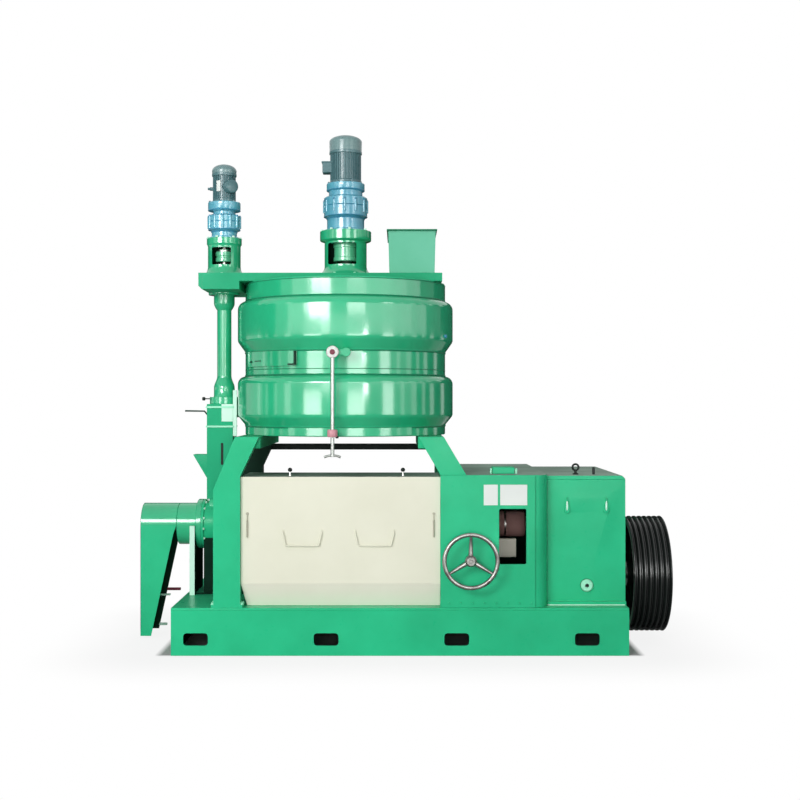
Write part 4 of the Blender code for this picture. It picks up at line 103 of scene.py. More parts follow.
@dataclass
class Surface:
    """Points and faces of one closed skin, or of several side by side."""

    points: Array
    faces: list[list[int]]

    def __add__(self, other: "Surface") -> "Surface":
        """Puts another surface beside this one in the same piece."""
        shifted = [[index + len(self.points) for index in face] for face in other.faces]
        return Surface(np.vstack([self.points, other.points]), self.faces + shifted)

    def piece(self, name: str, crease: float = 35.0) -> bpy.types.Object:
        """Makes the mesh object, with what coincides merged and the faces turned outwards.

        Args:
            name: the piece's name.
            crease: the angle in degrees past which an edge stays sharp.

        Returns:
            The object, at the origin, with its place in its mesh.
        """
        mesh = bpy.data.meshes.new(name)
        mesh.from_pydata(self.points.tolist(), [], self.faces)
        work = bmesh.new()
        work.from_mesh(mesh)
        bmesh.ops.remove_doubles(work, verts=work.verts, dist=1e-6)
        bmesh.ops.dissolve_degenerate(work, edges=work.edges, dist=1e-7)
        bmesh.ops.recalc_face_normals(work, faces=work.faces)
        work.to_mesh(mesh)
        work.free()
        return linked(name, mesh, crease)


def joined(shapes: Sequence[Surface]) -> Surface:
    """All the shapes side by side in one surface."""
    return sum(shapes[1:], shapes[0])


def linked(name: str, mesh: bpy.types.Mesh, crease: float) -> bpy.types.Object:
    """Puts a mesh into the scene as an object with soft faces and sharp creases.

    Args:
        name: the object's name.
        mesh: its mesh.
        crease: the angle in degrees past which an edge stays sharp.

    Returns:
        The object.
    """
    mesh.shade_smooth()
    mesh.set_sharp_from_angle(angle=radians(crease))
    piece = bpy.data.objects.new(name, mesh)
    bpy.context.scene.collection.objects.link(piece)
    return piece


def lattice(grid: Array, wrap_rows: bool = False, wrap_columns: bool = False) -> Surface:
    """A grid of points joined into four-sided faces, each point to its next in both directions.

    Args:
        grid: points by row, column and coordinate.
        wrap_rows: True where the last row joins the first.
        wrap_columns: True where the last column joins the first.

    Returns:
        The surface, closed where it wraps.
    """
    rows, columns = grid.shape[:2]
    row = np.arange(rows if wrap_rows else rows - 1)[:, None]
    column = np.arange(columns if wrap_columns else columns - 1)[None, :]
    next_row, next_column = (row + 1) % rows, (column + 1) % columns
    corners = (row * columns + column, next_row * columns + column,
               next_row * columns + next_column, row * columns + next_column)
    faces = np.stack(np.broadcast_arrays(*corners), axis=-1).reshape(-1, 4)
    return Surface(grid.reshape(-1, 3), faces.tolist())


def turned(profile: Pairs, axis: Axis, centre: Point, steps: int = 64, ring: bool = False) -> Surface:
    """A profile turned once round an axis: each (radius, along) becomes a circle of that radius.

    Args:
        profile: (radius, place along the axis) pairs; an open one starts and ends on the axis.
        axis: the direction of the axis.
        centre: a point that the axis passes through.
        steps: number of facets in a turn.
        ring: True where the profile closes on itself round a bore.

    Returns:
        The closed surface.
    """
    radius, along = np.array(profile, float).T
    angle = np.linspace(0.0, 2 * pi, steps, endpoint=False)[:, None]
    grid = place(axis, radius * np.cos(angle), radius * np.sin(angle), along + 0.0 * angle)
    return lattice(grid + np.array(centre), wrap_rows=True, wrap_columns=ring)


def pairs(first: Array, second: Array) -> list[tuple[float, float]]:
    """Two columns of numbers as a list of pairs."""
    return list(zip(first.tolist(), second.tolist()))


def wire_ring(radius: float, level: float, wire: float, axis: Axis, centre: Point, steps: int = 96,
              facets: int = 8, squash: float = 1.0) -> Surface:
    """A round wire bent into a ring: radius + squash wire cos a, and level + wire sin a, turned once.

    Args:
        radius: the ring's radius, to the middle of the wire.
        level: place of the ring along the axis.
        wire: the wire's own radius.
        axis: the axis that the ring lies round.
        centre: a point that the axis passes through.
        steps: number of facets in a turn.
        facets: number of facets round the wire.
        squash: width over height of the wire's section.

    Returns:
        The closed ring.
    """
    around = np.linspace(0.0, 2 * pi, facets, endpoint=False)
    section = pairs(radius + squash * wire * np.cos(around), level + wire * np.sin(around))
    return turned(section, axis, centre, steps, ring=True)


def drawn(outline: Pairs, axis: Axis, low: float, high: float) -> Surface:
    """A flat outline drawn straight along an axis from low to high, with both ends closed.

    Args:
        outline: its corners, in the two coordinates square to the axis.
        axis: the direction it is drawn along.
        low: where it starts.
        high: where it ends.

    Returns:
        The closed surface.
    """
    first, second = np.array(outline, float).T
    grid = np.stack([place(axis, first, second, level) for level in (low, high)], axis=1)
    skin = lattice(grid, wrap_rows=True)
    count = len(first)
    ends = [[2 * index for index in range(count)], [2 * index + 1 for index in reversed(range(count))]]
    return Surface(skin.points, skin.faces + ends)


def box(low: Point, high: Point) -> Surface:
    """A block between two opposite corners, drawn up Z from its plan."""
    plan = [(low[0], low[1]), (high[0], low[1]), (high[0], high[1]), (low[0], high[1])]
    return drawn(plan, Axis.Z, low[2], high[2])


def corner_curves(corners: Array, before: Array, after: Array, radius: float, steps: int) -> Array:
    """A quadratic curve in place of each corner, between two points set back from it.

    Args:
        corners: the corners, one per row.
        before: from each corner to the one before it.
        after: from each corner to the next.
        radius: how far the curve's ends are set back.
        steps: points in a curve.

    Returns:
        Points by corner, step and coordinate.
    """
    share = np.linspace(0.0, 1.0, steps)[None, :, None]
    start = corners + before / np.linalg.norm(before, axis=1, keepdims=True) * radius
    end = corners + after / np.linalg.norm(after, axis=1, keepdims=True) * radius
    return (1 - share) ** 2 * start[:, None] + 2 * share * (1 - share) * corners[:, None] + share ** 2 * end[:, None]


def rounded(outline: Pairs, radius: float, steps: int = 6) -> list[tuple[float, float]]:
    """A closed outline with each of its corners rounded.

    Args:
        outline: its corners in order.
        radius: how far a curve's ends are set back from its corner.
        steps: points in a curve.

    Returns:
        The points of the rounded outline.
    """
    corners = np.array(outline, float)
    curve = corner_curves(corners, np.roll(corners, 1, axis=0) - corners, np.roll(corners, -1, axis=0) - corners,
                          radius, steps)
    return pairs(curve[..., 0].ravel(), curve[..., 1].ravel())


def eased(path: Sequence[Point], radius: float, steps: int = 7) -> Array:
    """A bent line with its inner corners rounded.

    Args:
        path: its points in order.
        radius: how far a curve's ends are set back from its corner.
        steps: points in a curve.

    Returns:
        Points of the eased line, one per row.
    """
    corners = np.array(path, float)
    inner = corners[1:-1]
    curve = corner_curves(inner, corners[:-2] - inner, corners[2:] - inner, radius, steps)
    return np.vstack([corners[:1], curve.reshape(-1, 3), corners[-1:]])


def rod(path: Array, radius: Union[float, Array], sides: int = 16, flat: float = 1.0) -> Surface:
    """A round section carried along a path: ring = path point + radius (cos a * side + sin a * up).

    Args:
        path: points of the path, one per row.
        radius: the rod's radius, or one for each point.
        sides: number of facets round the rod.
        flat: thickness over width of the section.

    Returns:
        The closed surface, with its ends drawn in to a point in the end's own plane.
    """
    path = np.asarray(path, float)
    tangent = np.gradient(path, axis=0)
    tangent /= np.linalg.norm(tangent, axis=1, keepdims=True)
    spread = np.ptp(path, axis=0)
    reference = np.eye(3)[int(np.argmin(spread))]
    side = np.cross(tangent, reference)
    side /= np.linalg.norm(side, axis=1, keepdims=True)
    up = np.cross(side, tangent)
    angle = np.linspace(0.0, 2 * pi, sides, endpoint=False)
    radii = np.broadcast_to(np.asarray(radius, float), (len(path),))[:, None, None]
    ring = side[:, None] * np.cos(angle)[None, :, None] + flat * up[:, None] * np.sin(angle)[None, :, None]
    grid = path[:, None] + radii * ring
    grid = np.concatenate([np.repeat(path[:1, None], sides, axis=1), grid,
                           np.repeat(path[-1:, None], sides, axis=1)])
    return lattice(grid, wrap_columns=True)


def arc_plate(x: float, inner: float, outer: float, low: float, high: float, middle: float, span: float) -> Surface:
    """A curved plate round an upright axis: radius and height fixed, the angle running over the span.

    Args:
        x: place of the axis.
        inner: inner radius.
        outer: outer radius.
        low: lower height.
        high: upper height.
        middle: degrees from the front to the plate's middle, to the left.
        span: the plate's whole angle in degrees.

    Returns:
        The closed plate.
    """
    angle = radians(-90.0 - middle) + radians(1.0) * between(-span / 2, span / 2, 4 + int(span / 2))[:, None]
    radius, level = np.array([(inner, low), (outer, low), (outer, high), (inner, high)]).T
    return strip(place(Axis.Z, x + radius * np.cos(angle), radius * np.sin(angle), level + 0 * angle))


def strip(grid: Array) -> Surface:
    """Rows of four points joined into a bar, with both ends closed.

    Args:
        grid: points by row, corner and coordinate.

    Returns:
        The closed bar.
    """
    skin = lattice(grid, wrap_columns=True)
    last = len(skin.points)
    return Surface(skin.points, skin.faces + [[0, 1, 2, 3], [last - 1, last - 2, last - 3, last - 4]])


def scattered(shape: Surface, centres: Array, facing: Array) -> Surface:
    """Copies of a small shape: each is turned so that its Z lies along `facing`, and moved to a centre.

    Args:
        shape: the small shape, with its foot on the origin and +Z out of the carrier.
        centres: places, one per row.
        facing: outward directions, one per row, or one for all.

    Returns:
        One surface with all the copies.
    """
    centres = np.atleast_2d(np.asarray(centres, float))
    outward = np.broadcast_to(np.asarray(facing, float), centres.shape)
    outward = outward / np.linalg.norm(outward, axis=1, keepdims=True)
    spare = np.where(np.abs(outward[:, 2:]) > 0.9, np.array([[1.0, 0.0, 0.0]]), np.array([[0.0, 0.0, 1.0]]))
    side = np.cross(spare, outward)
    side /= np.linalg.norm(side, axis=1, keepdims=True)
    frames = np.stack([side, np.cross(outward, side), outward], axis=1)
    points = centres[:, None] + np.einsum("pk,nkc->npc", shape.points, frames)
    count = len(shape.points)
    faces = [[index + count * copy for index in face] for copy in range(len(centres)) for face in shape.faces]
    return Surface(points.reshape(-1, 3), faces)


def hex_bolt(across: float) -> Surface:
    """A hexagon head on a round washer; the head's top corners are drawn in a little.

    Args:
        across: width of the head over its flats.

    Returns:
        The bolt, with its foot on the origin.
    """
    half = across / 2 / cos(pi / 6)
    thick = across * 0.2
    washer = turned([(0, 0), (across * 0.72, 0), (across * 0.72, thick * 0.8), (0, thick * 0.8)], Axis.Z,
                    (0, 0, 0), steps=20)
    head = turned([(0, thick * 0.6), (half, thick * 0.6), (half, across * 0.62), (half * 0.86, across * 0.72),
                   (0, across * 0.72)], Axis.Z, (0, 0, 0), steps=6)
    return washer + head


def circle(centre: Point, axis: Axis, radius: float, count: int, start: float = 0.0) -> Array:
    """Places spaced evenly round a circle: centre + radius (cos a, sin a)."""
    angle = start + np.linspace(0.0, 2 * pi, count, endpoint=False)
    return place(axis, radius * np.cos(angle), radius * np.sin(angle), 0.0 * angle) + np.array(centre)


def between(low: float, high: float, count: int) -> Array:
    """Evenly spaced numbers, both ends included."""
    return np.linspace(low, high, count)


def bevelled(piece: bpy.types.Object, width: float, segments: int = 2, angle: float = 30.0) -> bpy.types.Object:
    """Rounds the piece's sharp edges with a bevel.

    Args:
        piece: the piece.
        width: the bevel's width in metres.
        segments: facets across it.
        angle: the angle in degrees past which an edge is rounded.

    Returns:
        The same piece.
    """
    edge = piece.modifiers.new("edge_radius", "BEVEL")
    edge.width, edge.segments = width, segments
    edge.limit_method, edge.angle_limit = "ANGLE", radians(angle)
    edge.harden_normals = False
    return piece


def cut(piece: bpy.types.Object, *cutters: bpy.types.Object) -> bpy.types.Object:
    """Takes the cutters out of the piece and deletes them.

    Args:
        piece: the piece that is cut.
        cutters: objects in the shape of what goes.

    Returns:
        The same piece, with its new mesh.
    """
    for cutter in cutters:
        step = piece.modifiers.new("cut", "BOOLEAN")
        step.operation, step.solver, step.object = "DIFFERENCE", "EXACT", cutter
        graph = bpy.context.evaluated_depsgraph_get()
        mesh = bpy.data.meshes.new_from_object(piece.evaluated_get(graph))
        piece.modifiers.clear()
        piece.data = mesh
        bpy.data.objects.remove(cutter, do_unlink=True)
    piece.data.set_sharp_from_angle(angle=radians(35.0))
    return piece


# Finishes


def linear(colour: str) -> tuple[float, float, float, float]:
    """Turns an sRGB hex value into a linear colour.

    Args:
        colour: six hex digits, such as 2DBE89.

    Returns:
        Red, green, blue and an alpha of 1.
    """
    coded = np.array([int(colour[index:index + 2], 16) for index in (0, 2, 4)]) / 255.0
    light = np.where(coded <= 0.04045, coded / 12.92, ((coded + 0.055) / 1.055) ** 2.4)
    return (float(light[0]), float(light[1]), float(light[2]), 1.0)


def feed(tree: bpy.types.NodeTree, node: bpy.types.Node, inputs: Inputs) -> None:
    """Sets or links a node's inputs.

    Args:
        tree: the tree that the node is in.
        node: the node.
        inputs: name or number of an input to a value, or to the output that feeds it.
    """
    for key, value in inputs.items():
        if isinstance(value, bpy.types.NodeSocket):
            tree.links.new(value, node.inputs[key])
        else:
            node.inputs[key].default_value = value


def add(tree: bpy.types.NodeTree, kind: str, inputs: Inputs, **settings: Value) -> bpy.types.Node:
    """Adds a node, sets its options, and links or sets its inputs.

    Args:
        tree: the material's node tree.
        kind: the node's Blender type.
        inputs: what its inputs are set or linked to.
        settings: the node's own options.

    Returns:
        The new node.
    """
    node = tree.nodes.new(kind)
    for key, value in settings.items():
        setattr(node, key, value)
    feed(tree, node, inputs)
    return node


def per_metre(millimetres: float) -> float:
    """Texture scale for a pattern that repeats every so many millimetres."""
    return 1000.0 / millimetres


@dataclass(frozen=True)
class Finish:
    """What every finish has: a name, and a material that is made once."""

    name: str

    def material(self) -> bpy.types.Material:
        """The finish's material, made on first use.

        Returns:
            The material.
        """
        known = bpy.data.materials.get(self.name)
        if known is not None:
            return known
        made = bpy.data.materials.new(self.name)
        made.use_nodes = True
        self.wire(made.node_tree, made.node_tree.nodes["Principled BSDF"])
        return made

    def wire(self, tree: bpy.types.NodeTree, shader: bpy.types.Node) -> None:
        """Wires the finish into a new material's shader."""
        raise NotImplementedError


@dataclass(frozen=True)
class Enamel(Finish):
    """Sprayed alkyd machine enamel: a clear gloss over slightly uneven colour, with orange peel."""

    colour: str
    shade: str
    roughness: float = 0.30
    gloss: float = 0.12
    mirror: float = 0.25
    panel_mm: float = 260.0
    panel_depth: float = 0.25
    dust: float = 0.05

    def wire(self, tree: bpy.types.NodeTree, shader: bpy.types.Node) -> None:
        """Colour drifts over half a metre, dust lies on top faces, the skin waves and has orange peel.

        Args:
            tree: the material's node tree.
            shader: its shader.
        """
        place_on = add(tree, "ShaderNodeTexCoord", {}).outputs["Object"]
        drift = add(tree, "ShaderNodeTexNoise", {"Vector": place_on, "Scale": per_metre(520.0), "Detail": 4.0,
                                                 "Roughness": 0.55}).outputs["Fac"]
        spread = add(tree, "ShaderNodeMapRange", {"Value": drift, "From Min": 0.34, "From Max": 0.68})
        paint = add(tree, "ShaderNodeMix", {0: spread.outputs[0], 6: linear(self.colour),
                                            7: linear(self.shade)}, data_type="RGBA")
        normal = add(tree, "ShaderNodeNewGeometry", {}).outputs["Normal"]
        upward = add(tree, "ShaderNodeSeparateXYZ", {0: normal}).outputs["Z"]
        speckle = add(tree, "ShaderNodeTexNoise", {"Vector": place_on, "Scale": per_metre(34.0), "Detail": 6.0,
                                                   "Roughness": 0.7}).outputs["Fac"]
        lying = add(tree, "ShaderNodeMapRange", {"Value": upward, "From Min": 0.35, "From Max": 1.0,
                                                 "To Max": self.dust})
        dusty = add(tree, "ShaderNodeMath", {0: lying.outputs[0], 1: speckle}, operation="MULTIPLY")
        mixed = add(tree, "ShaderNodeMix", {0: dusty.outputs[0], 6: paint.outputs[2], 7: linear("C9C6B4")},
                    data_type="RGBA")
        rough = add(tree, "ShaderNodeMapRange", {"Value": speckle, "From Min": 0.25, "From Max": 0.8,
                                                 "To Min": self.roughness * 0.8, "To Max": self.roughness * 1.35})
        waves = add(tree, "ShaderNodeTexNoise", {"Vector": place_on, "Scale": per_metre(self.panel_mm),
                                                 "Detail": 1.5}).outputs["Fac"]
        # Orange peel is 2 to 3 mm across on the real paint; it is drawn at 9 mm so that it shows.
        peel = add(tree, "ShaderNodeTexNoise", {"Vector": place_on, "Scale": per_metre(9.0), "Detail": 1.0})
        panel = add(tree, "ShaderNodeBump", {"Height": waves, "Strength": self.panel_depth, "Distance": 0.012})
        skin = add(tree, "ShaderNodeBump", {"Height": peel.outputs["Fac"], "Strength": 0.12, "Distance": 0.0006,
                                            "Normal": panel.outputs[0]})
        feed(tree, shader, {"Base Color": mixed.outputs[2], "Roughness": rough.outputs[0],
                            "Normal": skin.outputs[0], "Specular IOR Level": self.mirror,
                            "Coat Weight": self.gloss, "Coat Roughness": 0.08})


@dataclass(frozen=True)
class Steel(Finish):
    """Bare steel, turned or ground: fine rings or strokes along one direction, duller where handled."""

    colour: str
    roughness: float = 0.3
    stretch: Point = (1.0, 1.0, 1.0)
    stain: str = "4B4540"
    stained: float = 0.2

    def wire(self, tree: bpy.types.NodeTree, shader: bpy.types.Node) -> None:
        """Stretched noise gives the tool's strokes, and a coarser one the stains of oil and handling.

        Args:
            tree: the material's node tree.
            shader: its shader.
        """
        place_on = add(tree, "ShaderNodeTexCoord", {}).outputs["Object"]
        drawn_out = add(tree, "ShaderNodeMapping", {"Vector": place_on, "Scale": self.stretch}).outputs[0]
        # Tool marks are 0.2 mm apart; they are drawn at 3 mm so that they show.
        strokes = add(tree, "ShaderNodeTexNoise", {"Vector": drawn_out, "Scale": per_metre(3.0), "Detail": 3.0})
        clouds = add(tree, "ShaderNodeTexNoise", {"Vector": place_on, "Scale": per_metre(60.0), "Detail": 5.0,
                                                  "Roughness": 0.65})
        share = add(tree, "ShaderNodeMapRange", {"Value": clouds.outputs["Fac"], "From Min": 0.45,
                                                 "From Max": 0.75, "To Max": self.stained})
        mixed = add(tree, "ShaderNodeMix", {0: share.outputs[0], 6: linear(self.colour), 7: linear(self.stain)},
                    data_type="RGBA")
        rough = add(tree, "ShaderNodeMapRange", {"Value": strokes.outputs["Fac"], "From Min": 0.2,
                                                 "From Max": 0.8, "To Min": self.roughness * 0.75,
                                                 "To Max": self.roughness * 1.4})
        marks = add(tree, "ShaderNodeBump", {"Height": strokes.outputs["Fac"], "Strength": 0.15,
                                             "Distance": 0.0004})
        feed(tree, shader, {"Base Color": mixed.outputs[2], "Roughness": rough.outputs[0],
                            "Normal": marks.outputs[0], "Metallic": 1.0})


@dataclass(frozen=True)
class CastIron(Finish):
    """Sand-cast iron, oiled or blacked: a pebbled skin, dark in its hollows."""

    colour: str
    shade: str
    roughness: float = 0.6
    grain_mm: float = 7.0
    grain_depth: float = 0.35
    metallic: float = 0.0

    def wire(self, tree: bpy.types.NodeTree, shader: bpy.types.Node) -> None:
        """Sand grain as two noises, one for the pebbles and one for cloudy oil.

        Args:
            tree: the material's node tree.
            shader: its shader.
        """
        place_on = add(tree, "ShaderNodeTexCoord", {}).outputs["Object"]
        pebbles = add(tree, "ShaderNodeTexNoise", {"Vector": place_on, "Scale": per_metre(self.grain_mm),
                                                   "Detail": 4.0, "Roughness": 0.6}).outputs["Fac"]
        clouds = add(tree, "ShaderNodeTexNoise", {"Vector": place_on, "Scale": per_metre(110.0), "Detail": 4.0})
        mixed = add(tree, "ShaderNodeMix", {0: clouds.outputs["Fac"], 6: linear(self.colour),
                                            7: linear(self.shade)}, data_type="RGBA")
        rough = add(tree, "ShaderNodeMapRange", {"Value": pebbles, "To Min": self.roughness * 0.8,
                                                 "To Max": self.roughness * 1.2})
        skin = add(tree, "ShaderNodeBump", {"Height": pebbles, "Strength": self.grain_depth, "Distance": 0.0012})
        feed(tree, shader, {"Base Color": mixed.outputs[2], "Roughness": rough.outputs[0],
                            "Normal": skin.outputs[0], "Metallic": self.metallic})


@dataclass(frozen=True)
class Matte(Finish):
    """One flat linear colour, for the floor and the cloth round the press."""

    colour: tuple[float, float, float, float]
    roughness: float
    mirror: float

    def wire(self, tree: bpy.types.NodeTree, shader: bpy.types.Node) -> None:
        """Sets colour, roughness and mirror, with no texture."""
        feed(tree, shader, {"Base Color": self.colour, "Roughness": self.roughness,
                            "Specular IOR Level": self.mirror})


# Sprayed machine enamel over rolled sheet: an even blue-green with a faint sheen.
GREEN = Enamel("green_machine_enamel", "29BD87", "22AC79", mirror=0.13, gloss=0.04)
# The platform and the feeder casing are a shade duller than the rest.
GREEN_DULL = Enamel("green_dull_enamel", "20AC7B", "1B9E70", roughness=0.42, gloss=0.03, mirror=0.08)
# The jackets' and castings' enamel, rubbed to a gloss: it mirrors the hall's windows.
GREEN_SHELL = Enamel("green_kettle_enamel", "2AB783", "22A775", roughness=0.13, gloss=0.3, mirror=0.5,
                     panel_mm=420.0, panel_depth=0.09)
# Darker enamel for dark lines: on the kettle's shell joints and the hopper's rim, and as painted shade at the jackets'
# welds under their bulges.
GREEN_SEAM_AND_SHADE = Enamel("dark_seam_and_painted_shade_enamel", "1B8A62", "167353", roughness=0.45, gloss=0.0, mirror=0.12)
# The hopper's enamel, chalked by dust: pale and flat.
GREEN_PALE = Enamel("faded_hopper_enamel", "6FC4A5", "63B998", mirror=0.1, gloss=0.0)
# Enamel rubbed thin on bolts, bands, pins, the gland and the plug, and lightened there as a painted highlight: light
# edges.
GREEN_RUBBED_AND_HIGHLIGHT = Enamel("light_green_rubbed_and_highlight_enamel", "A4EBCB", "86DDB7", roughness=0.34)
# Near-white green on edges, strips, beads, lugs and bolts that catch the light: a painted highlight.
GREEN_PAINTED_HIGHLIGHT = Enamel("painted_highlight_green_enamel", "D2F3E3", "BCEBD6", roughness=0.36)
# Near-black green enamel on the kettle door's latch and the feeder's hatch; on the rear legs and in the gearbox's joint
# it is painted shade.
BLACKISH_GREEN_AND_SHADE = Enamel("blackened_green_and_painted_shade_enamel", "123F2F", "0C2A1F", roughness=0.5, gloss=0.0, mirror=0.12)
# Painted shade on insides and undersides that get no light: flat and dark.
PAINTED_SHADE = Enamel("shaded_inside_enamel", "1B3A2C", "0F231B", roughness=0.95, gloss=0.0, mirror=0.0, dust=0.0)
# The covers' enamel on folded sheet: warm, even, and barely shining.
CREAM = Enamel("cream_cover_enamel", "DEDECC", "D8D8C5", roughness=0.4, gloss=0.05, panel_mm=600.0, panel_depth=0.2)
# The covers' sloped foot, which faces down, lightened as painted light: a paler band.
CREAM_PAINTED_LIGHT_FOOT = Enamel("cream_foot_painted_light", "EFEADC", "EAE5D6", roughness=0.4, gloss=0.0)
# Latches greyed by hands: they stand out softly from the cream.
CREAM_SHADE = Enamel("cream_latch_enamel", "B9B6A4", "A9A694", roughness=0.4)
# Brushed black on bars, pins and knobs.
DARK = Enamel("black_bar_enamel", "16201C", "0F1613", roughness=0.45, gloss=0.0, mirror=0.15)
# Top faces seen edge-on, darkened as painted shade: grey-green, blotched and flat.
TOP_PAINTED_SHADE = Enamel("painted_shade_grey_green_top", "90A297", "74857B", roughness=0.9, gloss=0.0, mirror=0.0, dust=0.0)
# The reducers' sprayed enamel on a casting: light blue with a wet gloss.
BLUE = Enamel("blue_reducer_enamel", "62B5C8", "4F9BB3", roughness=0.2, gloss=0.3, mirror=0.5)
# The same blue, darker, on bolts and the test plug, and as painted shade lines in the reducers' seams and under their
# ledges.
BLUE_SHADE = Enamel("blue_bolt_and_painted_shade_enamel", "3F8FB0", "35809F", roughness=0.34)
# The motors' sprayed enamel: blue-grey, with a soft highlight down the fins.
GREY = Enamel("grey_motor_enamel", "50787C", "456A70", roughness=0.28, mirror=0.4)
# Pressed sheet cowls in a paler grey.
COWL = Enamel("pale_grey_cowl_enamel", "70908F", "64858A", roughness=0.26, mirror=0.45)
# Greasy couplings: a pale green with bright rings.
COUPLING_GREEN = Enamel("pale_coupling_enamel", "62C698", "4FB488", roughness=0.2, gloss=0.3, mirror=0.5)
# Undercoat left bare on the rod's guide: dull pink.
PINK_PRIMER = Enamel("pink_primer", "C98F98", "B87A84", roughness=0.45)
# Dipped red studs and the hood's tie bar.
DARK_RED = Enamel("dark_red_stud_enamel", "7A2A3E", "641F31", roughness=0.4)
# Brushed primer on the sleeve behind the window: flat red-brown.
RED_BROWN = Enamel("red_brown_primer", "96746F", "75524E", roughness=0.8, gloss=0.0, mirror=0.05)
# A cast block under a crust of pressed cake: flat and pale.
CAKE_GREY = Enamel("cake_dusted_block", "EDEADA", "DAD6C4", roughness=0.8, gloss=0.0, mirror=0.05)
# Blank enamelled sheet plates: clean white.
WHITE_PLATE = Enamel("white_label_plate", "DFE4E0", "D6DCD8", roughness=0.4)
# Turned steel: fine rings round the shaft, and a narrow highlight along it.
SHAFT_STEEL = Steel("turned_shaft_steel", "A9A8A4", 0.32, (1.0, 0.15, 0.15))
# Cast steel rubbed by seed: dull, with brown clouds.
WORN_STEEL = Steel("worn_worm_steel", "8D8880", 0.38, stained=0.5)
# Forged steel polished by hands and browned between them.
WHEEL_STEEL = Steel("hand_worn_wheel_steel", "8F8F8B", 0.34, stain="45383A", stained=0.9)
# Drawn bar, polished: a clear streak down the rod.
BRIGHT_STEEL = Steel("hand_polished_steel", "969A96", 0.3, stain="6E6062", stained=0.5)
# Zinc plate: a light, slightly blue grey.
BOLT_STEEL = Steel("zinc_plated_bolts", "B9BAB6", 0.36, stained=0.3)
# Sand-cast iron left bare: pebbled and dark.
RAW_IRON = CastIron("grey_cast_iron", "4A4B4B", "333434")
# Cast, turned and blacked with oil: dark, with a sharp glint across the grooves.
BLACK_IRON = CastIron("blacked_cast_iron", "1B201F", "111514", roughness=0.24, grain_mm=5.0, grain_depth=0.12)


def dress(piece: bpy.types.Object, finish: Finish, *nodes: str, body: str = "press",
          slot: str = "green_enamel") -> bpy.types.Object:
    """Gives a finished piece its material and body.

    Args:
        piece: the finished piece.
        finish: what it is painted with or made of.
        nodes: CAD nodes that the piece stands for.
        body: the rigid body that it moves with.
        slot: the record's material slot; not used.

    Returns:
        The same piece.
    """
    piece.data.materials.clear()
    piece.data.materials.append(finish.material())
    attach(piece, body)
    if nodes:
        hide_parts(*nodes)
        for node in nodes:
            paint_node(node, finish)
    log.info("%s: %s, rides on %s%s", piece.name, finish.name, body, f", for {', '.join(nodes)}" if nodes else "")
    return piece


def paint_node(node: str, finish: Finish) -> None:
    """Puts a finish on a CAD node's own material slots.

    Args:
        node: the CAD node.
        finish: its finish.
    """
    solid = NODES[node]
    if not solid.material_slots:
        solid.data.materials.append(finish.material())
    for holder in solid.material_slots:
        holder.material = finish.material()


def tint(piece: bpy.types.Object, finish: Finish, chosen: Callable[[Array, Array], Array]) -> bpy.types.Object:
    """Puts one more finish on some of a piece's faces.

    Args:
        piece: a dressed piece.
        finish: the other finish.
        chosen: from face centres and normals, one per row, to True for each face that gets it.

    Returns:
        The same piece.
    """
    mesh = piece.data
    centres, normals = np.empty(3 * len(mesh.polygons)), np.empty(3 * len(mesh.polygons))
    mesh.polygons.foreach_get("center", centres)
    mesh.polygons.foreach_get("normal", normals)
    known = np.empty(len(mesh.polygons), np.int32)
    mesh.polygons.foreach_get("material_index", known)
    mesh.materials.append(finish.material())
    picked = chosen(centres.reshape(-1, 3), normals.reshape(-1, 3))
    mesh.polygons.foreach_set("material_index", np.where(picked, len(mesh.materials) - 1, known).astype(np.int32))
    return piece


def worked(node: str, finish: Finish, edge: float = 0.003, segments: int = 2) -> bpy.types.Object:
    """A copy of a CAD node as one clean skin, with rounded edges and soft curves, in its place.

    Args:
        node: the CAD node.
        finish: what the copy is painted with or made of.
        edge: radius of the rounded edges in metres; none if 0.
        segments: facets across a rounded edge.

    Returns:
        The piece that now stands for the node.
    """
    work = bmesh.new()
    work.from_mesh(NODES[node].data)
    bmesh.ops.remove_doubles(work, verts=work.verts, dist=2e-5)
    bmesh.ops.dissolve_limit(work, angle_limit=radians(0.8), verts=work.verts, edges=work.edges)
    mesh = bpy.data.meshes.new(node + "_skin")
    work.to_mesh(mesh)
    work.free()
    piece = linked(node + "_skin", mesh, 35.0)
    if edge > 0:
        bevelled(piece, edge, segments)
    return dress(piece, finish, node, body=BODY_OF[node], slot=SLOT_OF[node])


def fasten(name: str, centres: Array, facing: Array, body: str = "press", across: float = 0.024,
           finish: Finish = BOLT_STEEL, slot: str = "machined_steel") -> bpy.types.Object:
    """A group of hexagon bolts, all in one piece."""
    piece = scattered(hex_bolt(across), centres, facing).piece(name, 25.0)
    return dress(piece, finish, body=body, slot=slot)


# Sub-assemblies


@dataclass
class Skid:
    """Welded base: two channel rails with lifting pockets, and the deck on its cross beams."""

    half_length: float = 1.535
    half_width: float = 0.730
    bead: float = 0.005

    def build(self) -> None:
        """Dresses the rails and deck and lays the weld beads between them."""
        for node in ("skid_front_rail", "skid_rear_rail"):
            worked(node, GREEN, 0.004, 3)
        # The deck's underside gets painted shade.
        tint(worked("skid_deck", GREEN, 0.004, 3), PAINTED_SHADE, lambda centre, normal: (centre[:, 2] < 0.306)
             & (np.abs(centre[:, 0]) < self.half_length - 0.001))
        for name, side in (("front_deck_weld", -1.0), ("rear_deck_weld", 1.0)):
            line = between(-self.half_length + 0.01, self.half_length - 0.01, 500)
            ripple = self.bead * (1.0 + 0.16 * np.sin(2 * pi * line / 0.011))
            path = place(Axis.X, side * (self.half_width - 0.001), DECK_Z - 0.0125, line)
            dress(rod(path, ripple * 0.8, 8).piece(name), GREEN)


